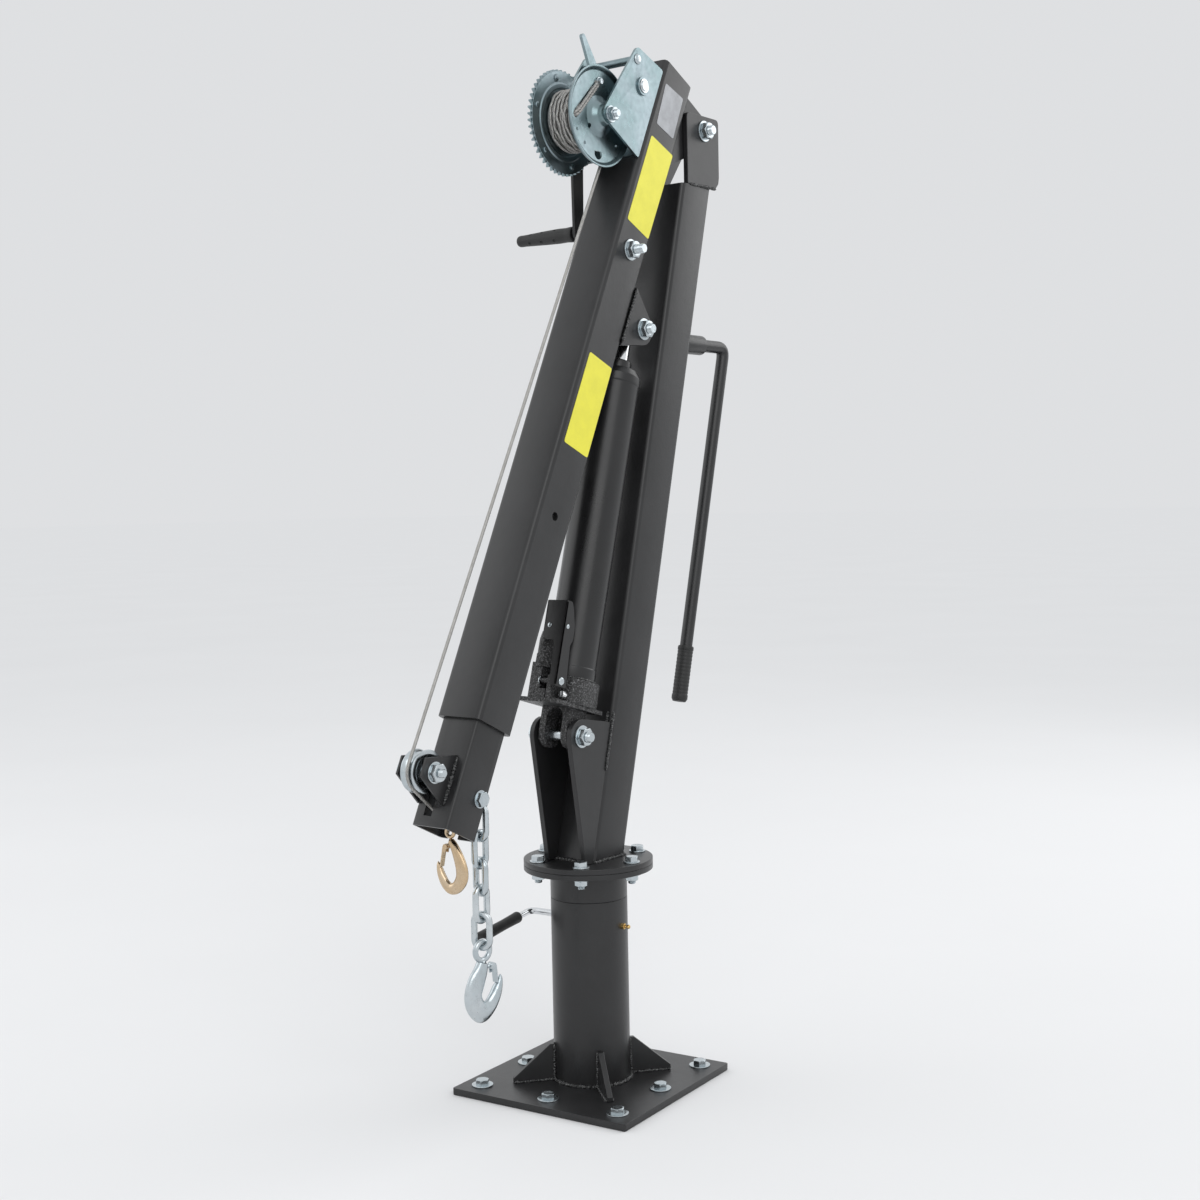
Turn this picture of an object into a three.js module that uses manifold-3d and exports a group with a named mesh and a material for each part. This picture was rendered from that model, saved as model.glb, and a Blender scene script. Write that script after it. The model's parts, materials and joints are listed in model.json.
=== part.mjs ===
// A deck-mounted swing crane: a bolted base with a short column, a mast that turns in it, a folding
// boom with a telescopic extension, a hand pumped hydraulic ram, a hand winch with its rope and hook,
// and a short lifting chain. Millimetres, +Z up, the boom towards -Y, the origin under the base plate.
import * as THREE from 'three';
import * as BufferGeometryUtils from 'three/addons/utils/BufferGeometryUtils.js';
import Module from 'manifold-3d';

const wasm = await Module();
wasm.setup();

// Clearances and counts that all pieces share
const SEAT_GAP = 0.3;
const RUNNING_GAP = 0.35;
const CUT_OVERRUN = 4;
const WELD_SNAP = 0.001;
const ROUND_SIDES = 28;
const HANDLE_GRIP_SIDES = 20;
const SMALL_SIDES = 16;
const BOLT_SIDES = 12;
const HEX_SIDES = 6;
const CORNER_STEPS = 3;

// Base
const BASE_SIDE = 300;
const BASE_THICKNESS = 10;
const BASE_TURN_DEG = 4.4;
const BASE_CORNER_RADIUS = 4;
const BASE_HOLE_REACH = 118;
const BASE_HOLE_RADIUS = 7;
const COLUMN_RADIUS = 57.15;
const COLUMN_WALL = 6;
const COLUMN_TOP = 284;
const GUSSET_LENGTH = 63;
const GUSSET_HEIGHT = 54;
const GUSSET_THICKNESS = 8;
const GUSSET_NOSE = 7;
const NIPPLE_HEIGHT = 244;
const NIPPLE_RADIUS = 4;
const NIPPLE_LENGTH = 14;
const NIPPLE_NECK_SHARE = 0.7;
const NIPPLE_HEAD_SHARE = 0.75;

// Lock screw of the swivel
const LOCK_DEPTH = 35;
const LOCK_RADIUS = 5;
const LOCK_REACH = 50;
const LOCK_BEND_RADIUS = 10;
const LOCK_HANDLE_LENGTH = 141;
const LOCK_DROP_DEG = 6;
const LOCK_GRIP_RADIUS = 8.8;
const LOCK_GRIP_LENGTH = 108;

// Swivel and flanges
const SPIGOT_LENGTH = 190;
const SPIGOT_BORE_RADIUS = 38;
const FLANGE_RADIUS = 96.3;
const FLANGE_THICKNESS = 8;
const FLANGE_TOP = 342.2;
const FLANGE_BOLT_CIRCLE_RADIUS = 80;
const FLANGE_BOLT_COUNT = 6;
const FLANGE_HOLE_RADIUS = 6.6;

// Mast
const TUBE_SIDE = 76.2;
const TUBE_CORNER_RADIUS = 8;
const MAST_WALL = 5;
const MAST_LEAN_DEG = 14.5;
const MAST_FOOT_Y = 1.7;
const MAST_TOP = 1360;
const PLATE_THICKNESS = 8;
const RAM_FOOT_PIN_Y = -60;
const RAM_FOOT_PIN_Z = 532;
const RAM_PLATE_NOSE_RADIUS = 25;
const RAM_PLATE_FOOT_DEPTH = 17;
const PIN_RADIUS = 8;

// Head and boom pivot
const PIVOT_Y = 285;
const PIVOT_Z = 1446;
const CHEEK_FRONT_REACH = 46;
const CHEEK_REAR_REACH = 43;
const CHEEK_TOP_REACH = 24;
const CHEEK_CORNER_RADIUS = 8;
const CHEEK_HEEL_RADIUS = 20;
const LEFT_CHEEK_HEEL_RISE = 62;
const LEFT_CHEEK_HEEL_RUN = 48;

// Slewing handle behind the mast
const HANDLE_Z = 1117;
const HANDLE_SOCKET_RADIUS = 15.5;
const HANDLE_RADIUS = 10;
const HANDLE_SOCKET_END_Y = 322;
const HANDLE_CORNER_Y = 393;
const HANDLE_DROP = 588;
const HANDLE_INSERT = 60;
const HANDLE_GRIP_RADIUS = 12.8;
const HANDLE_GRIP_LENGTH = 90;
const HANDLE_GRIP_CAP = 8;

// Ram
const RAM_LEG_SPREAD = 25.6;
const RAM_LEG_THICKNESS = 11;
const RAM_LEG_DEPTH = 20;
const RAM_LEG_RADIUS = 20;
const RAM_BOSS_RADIUS = 13;
const RAM_PLATE_LOW = 38;
const RAM_PLATE_HIGH = 44;
const RAM_PLATE_SPREAD = 36;
const RAM_PLATE_FRONT = 66;
const RAM_PLATE_REAR = 44;
const RAM_CASTING_HIGH = 80;
const RAM_CASTING_SPREAD = 40;
const RAM_CASTING_CORNER_RADIUS = 46.4;
const RAM_CASTING_SIDES = 8;
const RAM_CYLINDER_RADIUS = 38;
const RAM_EYE_ROOM = 73.85;
const RAM_CAP_HEIGHT = 10;
const RAM_CAP_RADIUS = 33;
const RAM_GLAND_RADIUS = 21;
const RAM_GLAND_HEIGHT = 15;
const RAM_GLAND_DEPTH = 17;
const RAM_BORE_RADIUS = 30;
const RAM_ROD_RADIUS = 15;
const RAM_EYE_RADIUS = 16;
const PUMP_X = -9;
const PUMP_Y = -52;
const PUMP_BLOCK_SPREAD = 15;
const PUMP_BLOCK_HIGH = 96;
const PUMP_BARREL_RADIUS = 11.5;
const PUMP_BARREL_HIGH = 142;
const PUMP_CROWN_SHARE = 0.8;
const LEVER_X = 13;
const LEVER_Y = -57;
const LEVER_PIVOT = 70;
const LEVER_TOP = 186;
const LEVER_FRONT_WIDTH = 30;
const LEVER_DEPTH = 26;
const LEVER_SHEET = 3;
const LEVER_PIN_RADIUS = 4;
const VALVE_X = 27;
const VALVE_HEIGHT = 53;
const VALVE_RADIUS = 5;
const VALVE_LENGTH = 16;

// Boom, in its own frame: y out of its front is negative, z down the boom is negative
const BOOM_REST_DEG = 26.2;
const BOOM_REAR = 53.5;
const BOOM_WALL = 6;
const BOOM_HEAD_REACH = 41;
const BOOM_LENGTH = 1065.5;
const LUG_SPREAD = 29.6;
const LUG_NOSE_RADIUS = 28;
const LUG_FOOT_TOP = 30;
const LUG_FOOT_LOW = 100;
const LUG_BUSH_RADIUS = 14;
const RAM_HEAD_DOWN = 363.1;
const RAM_HEAD_OUT = 14.2;
const HEAD_PLATE_NOSE_RADIUS = 24;
const HEAD_PLATE_RISE = 49.1;
const HEAD_PLATE_DROP = 48.9;
const LOCK_BOLT_DOWN = 273;
const LOCK_HOLE_PITCH = 436;
const M12_RADIUS = 6;

// Winch, on the boom's front
const WINCH_RIGHT = 38.1;
const WINCH_LEFT = -61;
const WINCH_SHEET = 4;
const WINCH_TOP_DOWN = -18.5;
const WINCH_LOW_DOWN = 137.6;
const WINCH_HIGH_CORNER_OUT = 70;
const WINCH_HIGH_CORNER_DOWN = 7;
const WINCH_LOW_CORNER_OUT = 103;
const WINCH_LOW_CORNER_RISE = 7;
const WINCH_CORNER_RADIUS = 10;
const GEAR_MODULE = 3;
const GEAR_TEETH = 50;
const PINION_TEETH = 15;
const TOOTH_PRESSURE_DEG = 20;
const TOOTH_BACKLASH_SHARE = 0.16;
const TOOTH_ADDENDUM_SHARE = 0.9;
const TOOTH_DEDENDUM_SHARE = 1.2;
const GEAR_THICKNESS = 6;
const PINION_OVERHANG = 2;
const DRUM_DOWN = 119.5;
const DRUM_OUT = 84.3;
const PINION_BEARING_DEG = 30.1;
const DRUM_HUB_RADIUS = 14;
const DRUM_CORE_RADIUS = 37.2;
const DRUM_FLANGE_RADIUS = 74;
const DRUM_FLANGE_X = 14;
const DRUM_FLANGE_SHEET = 3;
const DRUM_FLANGE_LIP = 7;
const DRUM_SIDE_RUN = 1.4;
const ROPE_RADIUS = 2.4;
const ROPE_SIDES = 6;
const FREE_ROPE_SIDES = 8;
const ROPE_FREE_STEPS = 8;
const ROPE_WRAP_STEPS = 6;
const ROPE_START_ROOM = 22;
const WINDING_LOOPS = 10.75;
const WINDING_STEPS_PER_LOOP = 20;
const WINDING_PITCH = 5.3;
const CRANKSHAFT_RADIUS = 8;
const CRANKSHAFT_NUT_RADIUS = 12;
const CRANKSHAFT_BUSH_RADIUS = 14;
const CRANKSHAFT_BUSH_HEIGHT = 3;
const RATCHET_RADIUS = 21;
const RATCHET_ROOT_RADIUS = 17.5;
const RATCHET_TEETH = 14;
const RATCHET_THICKNESS = 5;
const TIE_ROD_DOWN = 6;
const TIE_ROD_OUT = 62;
const TIE_ROD_RADIUS = 6;
const PAWL_HUB_RADIUS = 10;
const PAWL_TIP_RADIUS = 4.5;
const PAWL_ARM_HALF = 9.8;
const PAWL_NOSE_TURN_DEG = 50;
const PAWL_TIP_RISE = 27;
const PAWL_TIP_OUT = 41;
const CRANK_X = -86;
const CRANK_THICKNESS = 5;
const CRANK_LENGTH = 204;
const CRANK_HUB_RADIUS = 15;
const CRANK_END_RADIUS = 11;
const CRANK_PIN_RADIUS = 4;
const CRANK_GRIP_LENGTH = 112;
const CRANK_GRIP_RADIUS = 12;
const CRANK_GRIP_END_RADIUS = 9;
const CRANK_GRIP_STANDOFF = 4;

// Extension tube and its tip
const EXTENSION_WALL = 4;
const EXTENSION_CORNER_RADIUS = 5;
const BOOM_END_DOWN = BOOM_LENGTH - BOOM_HEAD_REACH;
const EXTENSION_STAND_OUT = 152.5;
const EXTENSION_END_DOWN = BOOM_END_DOWN + EXTENSION_STAND_OUT;
const EXTENSION_END_LEAD = 5;
const EXTENSION_TAIL = 18;
const PULLEY_X = -8.3;
const PULLEY_RISE = 65;
const PULLEY_DOWN = EXTENSION_END_DOWN - PULLEY_RISE;
const PULLEY_OUT = 34.6;
const PULLEY_RADIUS = 29.5;
const PULLEY_GROOVE_RADIUS = 25;
const PULLEY_WIDTH = 22.5;
const PULLEY_CHEEK_SPREAD = 19.4;
const PULLEY_CHEEK_THICKNESS = 4;
const PULLEY_CHEEK_HALF_BASE = 36;
const PULLEY_CHEEK_HALF_TIP = 13;
const PULLEY_CHEEK_TIP_OUT = 57;
const ROPE_SLOT_HALF_WIDTH = 7;
const ROPE_SLOT_LENGTH = 32;
const ROPE_SLOT_RISE = 14;
const ROPE_SLOT_LOW = EXTENSION_END_DOWN - ROPE_SLOT_RISE;
const ROPE_SLOT_TOP = ROPE_SLOT_LOW - ROPE_SLOT_LENGTH;
const HOOK_SLOT_LENGTH = 87;
const HOOK_SLOT_TOP = EXTENSION_END_DOWN - HOOK_SLOT_LENGTH;
const HOOK_SLOT_HALF_WIDTH = 10.4;
const HOOK_EYE_RISE = 14;
const HOOK_EYE_DOWN = EXTENSION_END_DOWN - HOOK_EYE_RISE;
const HOOK_EYE_OUT = 14;
const CHAIN_BOLT_RISE = 56;
const CHAIN_BOLT_DOWN = EXTENSION_END_DOWN - CHAIN_BOLT_RISE;
const CHAIN_BOLT_OUT = 15.5;
const CHAIN_BOLT_RADIUS = 5.5;
const CHAIN_BOLT_HEAD_RADIUS = 12.5;
const CHAIN_BOLT_HEAD_HEIGHT = 8;
const CHAIN_SLOT_OVER = 24;
const CHAIN_SLOT_UNDER = 19;
const CHAIN_SLOT_TOP = CHAIN_BOLT_DOWN - CHAIN_SLOT_OVER;
const CHAIN_SLOT_LOW = CHAIN_BOLT_DOWN + CHAIN_SLOT_UNDER;

// Chain and hooks: each link and hook hangs in a plane turned by its yaw from +X
const CHAIN_X = 9.8;
const CHAIN_WIRE_RADIUS = 4.5;
const CHAIN_LINK_WIDTH = 32;
const CHAIN_LINK_INNER = 38;
const CHAIN_YAWS_DEG = [90, 0, 90, -16, 90, 16];
const CHAIN_HOOK_YAW_DEG = 84;
const ROPE_HOOK_YAW_DEG = 180;
const LINK_STEPS = 14;
const LINK_SIDES = 8;
const HOOK_STEPS = 20;
const HOOK_SIDES = 8;
const RING_STEPS = 14;

// Down the middle of each hook from its eye: across, down and half breadth, as shares of its reach
const CHAIN_HOOK_SHARES = [[0, 0.14, 0.08], [-0.05, 0.28, 0.12], [-0.13, 0.42, 0.15], [-0.19, 0.58, 0.15],
  [-0.16, 0.73, 0.15], [-0.04, 0.85, 0.145], [0.1, 0.8, 0.115], [0.2, 0.69, 0.095], [0.26, 0.58, 0.075],
  [0.31, 0.48, 0.045], [0.325, 0.39, 0.018]];
const ROPE_HOOK_SHARES = [[0, 0.12, 0.05], [-0.09, 0.24, 0.07], [-0.18, 0.42, 0.1], [-0.235, 0.6, 0.115],
  [-0.22, 0.74, 0.115], [-0.12, 0.87, 0.1], [0.01, 0.91, 0.09], [0.12, 0.84, 0.08], [0.195, 0.72, 0.066],
  [0.24, 0.6, 0.048], [0.268, 0.5, 0.018]];
const CHAIN_HOOK = {
  reach: 100, eyeRadius: 13, eyeWire: 4, thickness: 15, shares: CHAIN_HOOK_SHARES,
  hinge: { across: 17, down: 24, radius: 5, width: 5 }, latchEnd: { across: 19.8, down: 49 }, latchSheet: 2,
};
const ROPE_HOOK = {
  reach: 86, eyeRadius: 7, eyeWire: 2.7, thickness: 11, shares: ROPE_HOOK_SHARES,
  hinge: { across: 7, down: 21, radius: 4, width: 4 }, latchEnd: { across: 13.2, down: 50 }, latchSheet: 1.6,
};

// Bolts: shank radius to head size
const BOLT_HEAD_HEIGHT_SHARE = 1.25;
const BOLT_HEAD_WIDTH_SHARE = 1.72;
const BOLT_WASHER_SHARE = 2.1;
const BOLT_WASHER_HEIGHT_SHARE = 0.35;
const BOLT_TAIL_SHARE = 0.9;

const rad = THREE.MathUtils.degToRad;
const vec = (x, y, z) => new THREE.Vector3(x, y, z);

// Sizes that follow from the ones above
const HALF_TUBE = TUBE_SIDE / 2;
const PLATE_INNER = HALF_TUBE - PLATE_THICKNESS;
const BOOM_MID = BOOM_REAR + HALF_TUBE;
const BOOM_FRONT = BOOM_REAR + TUBE_SIDE;
const BOOM_BORE = TUBE_SIDE - 2 * BOOM_WALL;
const EXTENSION_SIDE = BOOM_BORE - 2 * RUNNING_GAP;
const HALF_EXTENSION = EXTENSION_SIDE / 2;
const EXTENSION_FRONT = BOOM_MID + HALF_EXTENSION;
const EXTENSION_REAR = BOOM_MID - HALF_EXTENSION;
const EXTENSION_START = LOCK_BOLT_DOWN - EXTENSION_TAIL;
const GEAR_PITCH_RADIUS = GEAR_MODULE * GEAR_TEETH / 2;
const PINION_PITCH_RADIUS = GEAR_MODULE * PINION_TEETH / 2;
const GEAR_CENTRES = GEAR_PITCH_RADIUS + PINION_PITCH_RADIUS;
const WINCH_FLOOR = BOOM_FRONT + SEAT_GAP;
const DRUM_CENTRE_OUT = BOOM_FRONT + DRUM_OUT;
const GEAR_RIGHT_X = WINCH_LEFT + WINCH_SHEET + DRUM_SIDE_RUN + GEAR_THICKNESS;
const RATCHET_LEFT = GEAR_RIGHT_X + PINION_OVERHANG;
const WINCH_RIGHT_INNER = WINCH_RIGHT - WINCH_SHEET;
const WINCH_LEFT_INNER = WINCH_LEFT + WINCH_SHEET;
const ROPE_TRACK_RADIUS = DRUM_CORE_RADIUS + ROPE_RADIUS + SEAT_GAP;
const FLANGE_LOWER_TOP = FLANGE_TOP - FLANGE_THICKNESS - SEAT_GAP;
const COLUMN_BORE_RADIUS = COLUMN_RADIUS - COLUMN_WALL;
const LOCK_HEIGHT = COLUMN_TOP - LOCK_DEPTH;
const boomRest = rad(BOOM_REST_DEG);
const RAM_HEAD_Y = PIVOT_Y - RAM_HEAD_DOWN * Math.sin(boomRest) - RAM_HEAD_OUT * Math.cos(boomRest);
const RAM_HEAD_Z = PIVOT_Z - RAM_HEAD_DOWN * Math.cos(boomRest) + RAM_HEAD_OUT * Math.sin(boomRest);
const RAM_CLOSED_LENGTH = Math.hypot(RAM_HEAD_Y - RAM_FOOT_PIN_Y, RAM_HEAD_Z - RAM_FOOT_PIN_Z);
const RAM_CYLINDER_HIGH = RAM_CLOSED_LENGTH - RAM_EYE_ROOM;
const RAM_CAP_HIGH = RAM_CYLINDER_HIGH + RAM_CAP_HEIGHT;
const RAM_GLAND_HIGH = RAM_CAP_HIGH + RAM_GLAND_HEIGHT;
const RAM_GLAND_LOW = RAM_CYLINDER_HIGH - RAM_GLAND_DEPTH;
const HEAD_PLATE_TOP = RAM_HEAD_DOWN - HEAD_PLATE_RISE;
const HEAD_PLATE_LOW = RAM_HEAD_DOWN + HEAD_PLATE_DROP;
const ramLean = Math.atan2(RAM_HEAD_Y - RAM_FOOT_PIN_Y, RAM_HEAD_Z - RAM_FOOT_PIN_Z);

// Materials
const finish = (color, roughness, metalness) =>
  new THREE.MeshStandardMaterial({ color, roughness, metalness });
const greyPaint = finish(0x4b4f50, 0.55, 0.1);
const blackPaint = finish(0x222426, 0.5, 0.1);
const castBlack = finish(0x2b2d2e, 0.85, 0.1);
const zinc = finish(0xb9bfc4, 0.35, 0.9);
const yellowZinc = finish(0xc9a866, 0.4, 0.85);
const brightSteel = finish(0xd0d3d6, 0.25, 1.0);
const blackRubber = finish(0x161717, 0.8, 0.0);
const ropeWire = finish(0xa9abab, 0.5, 0.8);
const brass = finish(0xb58d4a, 0.35, 0.9);

// Turning a geometry into a closed solid and back
function solidOf(geometry) {
  const bare = geometry.clone();
  bare.deleteAttribute('normal');
  bare.deleteAttribute('uv');
  const merged = BufferGeometryUtils.mergeVertices(bare, WELD_SNAP);
  const vertProperties = new Float32Array(merged.attributes.position.array);
  const triVerts = new Uint32Array(merged.index.array);
  const solid = new wasm.Manifold(new wasm.Mesh({ numProp: 3, vertProperties, triVerts }));
  if (solid.volume() > 0) {
    return solid;
  }
  for (let corner = 0; corner < triVerts.length; corner += 3) {
    const second = triVerts[corner + 1];
    triVerts[corner + 1] = triVerts[corner + 2];
    triVerts[corner + 2] = second;
  }
  return new wasm.Manifold(new wasm.Mesh({ numProp: 3, vertProperties, triVerts }));
}

function geometryOf(solid) {
  const mesh = solid.getMesh();
  const geometry = new THREE.BufferGeometry();
  geometry.setAttribute('position', new THREE.BufferAttribute(new Float32Array(mesh.vertProperties), 3));
  geometry.setIndex(new THREE.BufferAttribute(new Uint32Array(mesh.triVerts), 1));
  geometry.computeVertexNormals();
  return geometry;
}

function piece(parent, name, solid, material) {
  const mesh = new THREE.Mesh(geometryOf(solid), material);
  mesh.name = name;
  parent.add(mesh);
  return mesh;
}

// A box between two corners
function block(low, high) {
  const size = high.clone().sub(low);
  const geometry = new THREE.BoxGeometry(size.x, size.y, size.z);
  const middle = low.clone().add(high).multiplyScalar(0.5);
  return solidOf(geometry.translate(middle.x, middle.y, middle.z));
}

// A round or many sided bar from one point to another
function bar(from, to, radius, sides = SMALL_SIDES) {
  const run = to.clone().sub(from);
  const geometry = new THREE.CylinderGeometry(radius, radius, run.length(), sides);
  const turn = new THREE.Quaternion().setFromUnitVectors(vec(0, 1, 0), run.normalize());
  const middle = from.clone().add(to).multiplyScalar(0.5);
  return solidOf(geometry.applyMatrix4(new THREE.Matrix4().compose(middle, turn, vec(1, 1, 1))));
}

const barX = (x0, x1, y, z, radius, sides) => bar(vec(x0, y, z), vec(x1, y, z), radius, sides);

// A turned part: profile points are (radius, length along the direction)
function turned(profile, origin, direction, sides = ROUND_SIDES) {
  const points = profile.map(([radius, length]) => new THREE.Vector2(radius, length));
  const geometry = new THREE.LatheGeometry(points, sides);
  const turn = new THREE.Quaternion().setFromUnitVectors(vec(0, 1, 0), direction.clone().normalize());
  return solidOf(geometry.applyMatrix4(new THREE.Matrix4().compose(origin, turn, vec(1, 1, 1))));
}

// A ring shaped profile is closed by coming back to its first point
const ring = (points) => [...points, points[0]];

// An outline drawn in the Y-Z plane, made a plate between two places on X
function slab(shape, x0, x1, curveSegments = CORNER_STEPS) {
  const geometry = new THREE.ExtrudeGeometry(shape, { depth: x1 - x0, bevelEnabled: false, curveSegments });
  const basis = new THREE.Matrix4().makeBasis(vec(0, 1, 0), vec(0, 0, 1), vec(1, 0, 0));
  return solidOf(geometry.applyMatrix4(basis).translate(x0, 0, 0));
}

// The outline of a lug: a round nose, joined by straight flanks to the edge between two points
function lugShape(nose, radius, one, other) {
  const turning = one.clone().sub(nose).cross(other.clone().sub(nose));
  const [a, b] = turning < 0 ? [one, other] : [other, one];
  const tangent = (point, side) => {
    const away = point.clone().sub(nose);
    return Math.atan2(away.y, away.x) + side * Math.acos(radius / away.length());
  };
  const shape = new THREE.Shape();
  shape.moveTo(b.x, b.y);
  shape.lineTo(a.x, a.y);
  shape.absarc(nose.x, nose.y, radius, tangent(a, 1), tangent(b, -1), false);
  shape.closePath();
  return shape;
}

// A polygon whose corners are rounded, each with its own radius
function roundedShape(corners) {
  const shape = new THREE.Shape();
  const count = corners.length;
  corners.forEach(([point, radius], index) => {
    const before = corners[(index + count - 1) % count][0].clone().sub(point).normalize();
    const after = corners[(index + 1) % count][0].clone().sub(point).normalize();
    const half = before.angleTo(after) / 2;
    const setback = radius / Math.tan(half);
    const start = point.clone().addScaledVector(before, setback);
    const end = point.clone().addScaledVector(after, setback);
    if (index === 0) {
      shape.moveTo(start.x, start.y);
    } else {
      shape.lineTo(start.x, start.y);
    }
    shape.quadraticCurveTo(point.x, point.y, end.x, end.y);
  });
  shape.closePath();
  return shape;
}

// A square outline with rounded corners, centred on the origin
function squareShape(side, radius) {
  const half = side / 2;
  const corners = [[-half, -half], [half, -half], [half, half], [-half, half]];
  return roundedShape(corners.map(([x, y]) => [new THREE.Vector2(x, y), radius]));
}

// A square tube along Z, between two heights, centred on the given y
function squareTube(side, wall, radius, y, low, high) {
  const shape = squareShape(side, radius);
  if (wall > 0) {
    const inner = squareShape(side - 2 * wall, Math.max(radius - wall, wall / 4));
    shape.holes.push(new THREE.Path(inner.getPoints()));
  }
  const settings = { depth: high - low, bevelEnabled: false, curveSegments: CORNER_STEPS };
  return solidOf(new THREE.ExtrudeGeometry(shape, settings).translate(0, y, low));
}

// A round bar carried along a curve
function sweep(curve, radius, steps, sides) {
  const section = new THREE.Shape();
  section.absarc(0, 0, radius, 0, 2 * Math.PI, false);
  const settings = { extrudePath: curve, steps, bevelEnabled: false, curveSegments: sides / 2 };
  return solidOf(new THREE.ExtrudeGeometry(section, settings));
}

// A path of straight runs whose corners are rounded
function bentPath(points, radius) {
  const path = new THREE.CurvePath();
  let start = points[0];
  for (let index = 1; index < points.length - 1; index += 1) {
    const corner = points[index];
    const before = corner.clone().addScaledVector(points[index - 1].clone().sub(corner).normalize(), radius);
    const after = corner.clone().addScaledVector(points[index + 1].clone().sub(corner).normalize(), radius);
    path.add(new THREE.LineCurve3(start, before));
    path.add(new THREE.QuadraticBezierCurve3(before, corner, after));
    start = after;
  }
  path.add(new THREE.LineCurve3(start, points[points.length - 1]));
  return path;
}

// A bolt along X: hexagon head and washer at the left, nut, washer and thread end at the right
function boltSolid(left, right, y, z, radius) {
  const washer = radius * BOLT_WASHER_HEIGHT_SHARE;
  const head = radius * BOLT_HEAD_HEIGHT_SHARE;
  const tail = radius * BOLT_TAIL_SHARE;
  const washerRadius = radius * BOLT_WASHER_SHARE;
  const headRadius = radius * BOLT_HEAD_WIDTH_SHARE;
  return barX(left - washer - head, right + washer + head + tail, y, z, radius, BOLT_SIDES)
    .add(barX(left - washer, left, y, z, washerRadius, BOLT_SIDES))
    .add(barX(left - washer - head, left - washer, y, z, headRadius, HEX_SIDES))
    .add(barX(right, right + washer, y, z, washerRadius, BOLT_SIDES))
    .add(barX(right + washer, right + washer + head, y, z, headRadius, HEX_SIDES));
}

// One end of a bolt on the outside of a plate: side is 1 for the nut at the right, -1 for the head
function boltEnd(side, inner, outer, y, z, radius) {
  const washer = radius * BOLT_WASHER_HEIGHT_SHARE;
  const head = radius * BOLT_HEAD_HEIGHT_SHARE;
  const tail = side > 0 ? radius * BOLT_TAIL_SHARE : 0;
  const at = (reach) => side * reach;
  const headRadius = radius * BOLT_HEAD_WIDTH_SHARE;
  return barX(at(inner), at(outer + washer + head + tail), y, z, radius, BOLT_SIDES)
    .add(barX(at(outer), at(outer + washer), y, z, radius * BOLT_WASHER_SHARE, BOLT_SIDES))
    .add(barX(at(outer + washer), at(outer + washer + head), y, z, headRadius, HEX_SIDES));
}

// The outline of a toothed wheel, with one tooth centred on the bearing
function toothedShape(teeth, bearing) {
  const pitchRadius = GEAR_MODULE * teeth / 2;
  const tip = pitchRadius + GEAR_MODULE * TOOTH_ADDENDUM_SHARE;
  const root = pitchRadius - GEAR_MODULE * TOOTH_DEDENDUM_SHARE;
  const flank = Math.tan(rad(TOOTH_PRESSURE_DEG)) / pitchRadius;
  const half = Math.PI / (2 * teeth) * (1 - TOOTH_BACKLASH_SHARE);
  const halfRoot = half + flank * (pitchRadius - root);
  const halfTip = half - flank * (tip - pitchRadius);
  const shape = new THREE.Shape();
  for (let tooth = 0; tooth < teeth; tooth += 1) {
    const middle = bearing + tooth * 2 * Math.PI / teeth;
    const corners = [[root, -halfRoot], [tip, -halfTip], [tip, halfTip], [root, halfRoot]];
    corners.forEach(([radius, offset], index) => {
      const x = radius * Math.cos(middle + offset);
      const y = radius * Math.sin(middle + offset);
      if (tooth === 0 && index === 0) {
        shape.moveTo(x, y);
      } else {
        shape.lineTo(x, y);
      }
    });
  }
  shape.closePath();
  return shape;
}

// A ratchet wheel: each tooth rises slowly and falls steeply
function ratchetShape(teeth, outer, inner) {
  const shape = new THREE.Shape();
  shape.moveTo(outer, 0);
  for (let tooth = 0; tooth < teeth; tooth += 1) {
    const from = tooth * 2 * Math.PI / teeth;
    const to = (tooth + 1) * 2 * Math.PI / teeth;
    shape.lineTo(inner * Math.cos(from), inner * Math.sin(from));
    shape.lineTo(outer * Math.cos(to), outer * Math.sin(to));
  }
  shape.closePath();
  return shape;
}

// A point in the boom's frame from its distances down the boom and out of its rear line
const inBoom = (down, out) => new THREE.Vector2(-out, -down);

// Groups
const crane = new THREE.Group();
const base = new THREE.Group();
base.rotation.z = rad(BASE_TURN_DEG);
crane.add(base);
const turret = new THREE.Group();
crane.add(turret);
const ram = new THREE.Group();
ram.position.set(0, RAM_FOOT_PIN_Y, RAM_FOOT_PIN_Z);
ram.rotation.x = -ramLean;
turret.add(ram);
const boom = new THREE.Group();
boom.position.set(0, PIVOT_Y, PIVOT_Z);
boom.rotation.x = -boomRest;
turret.add(boom);
const extension = new THREE.Group();
boom.add(extension);

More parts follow.
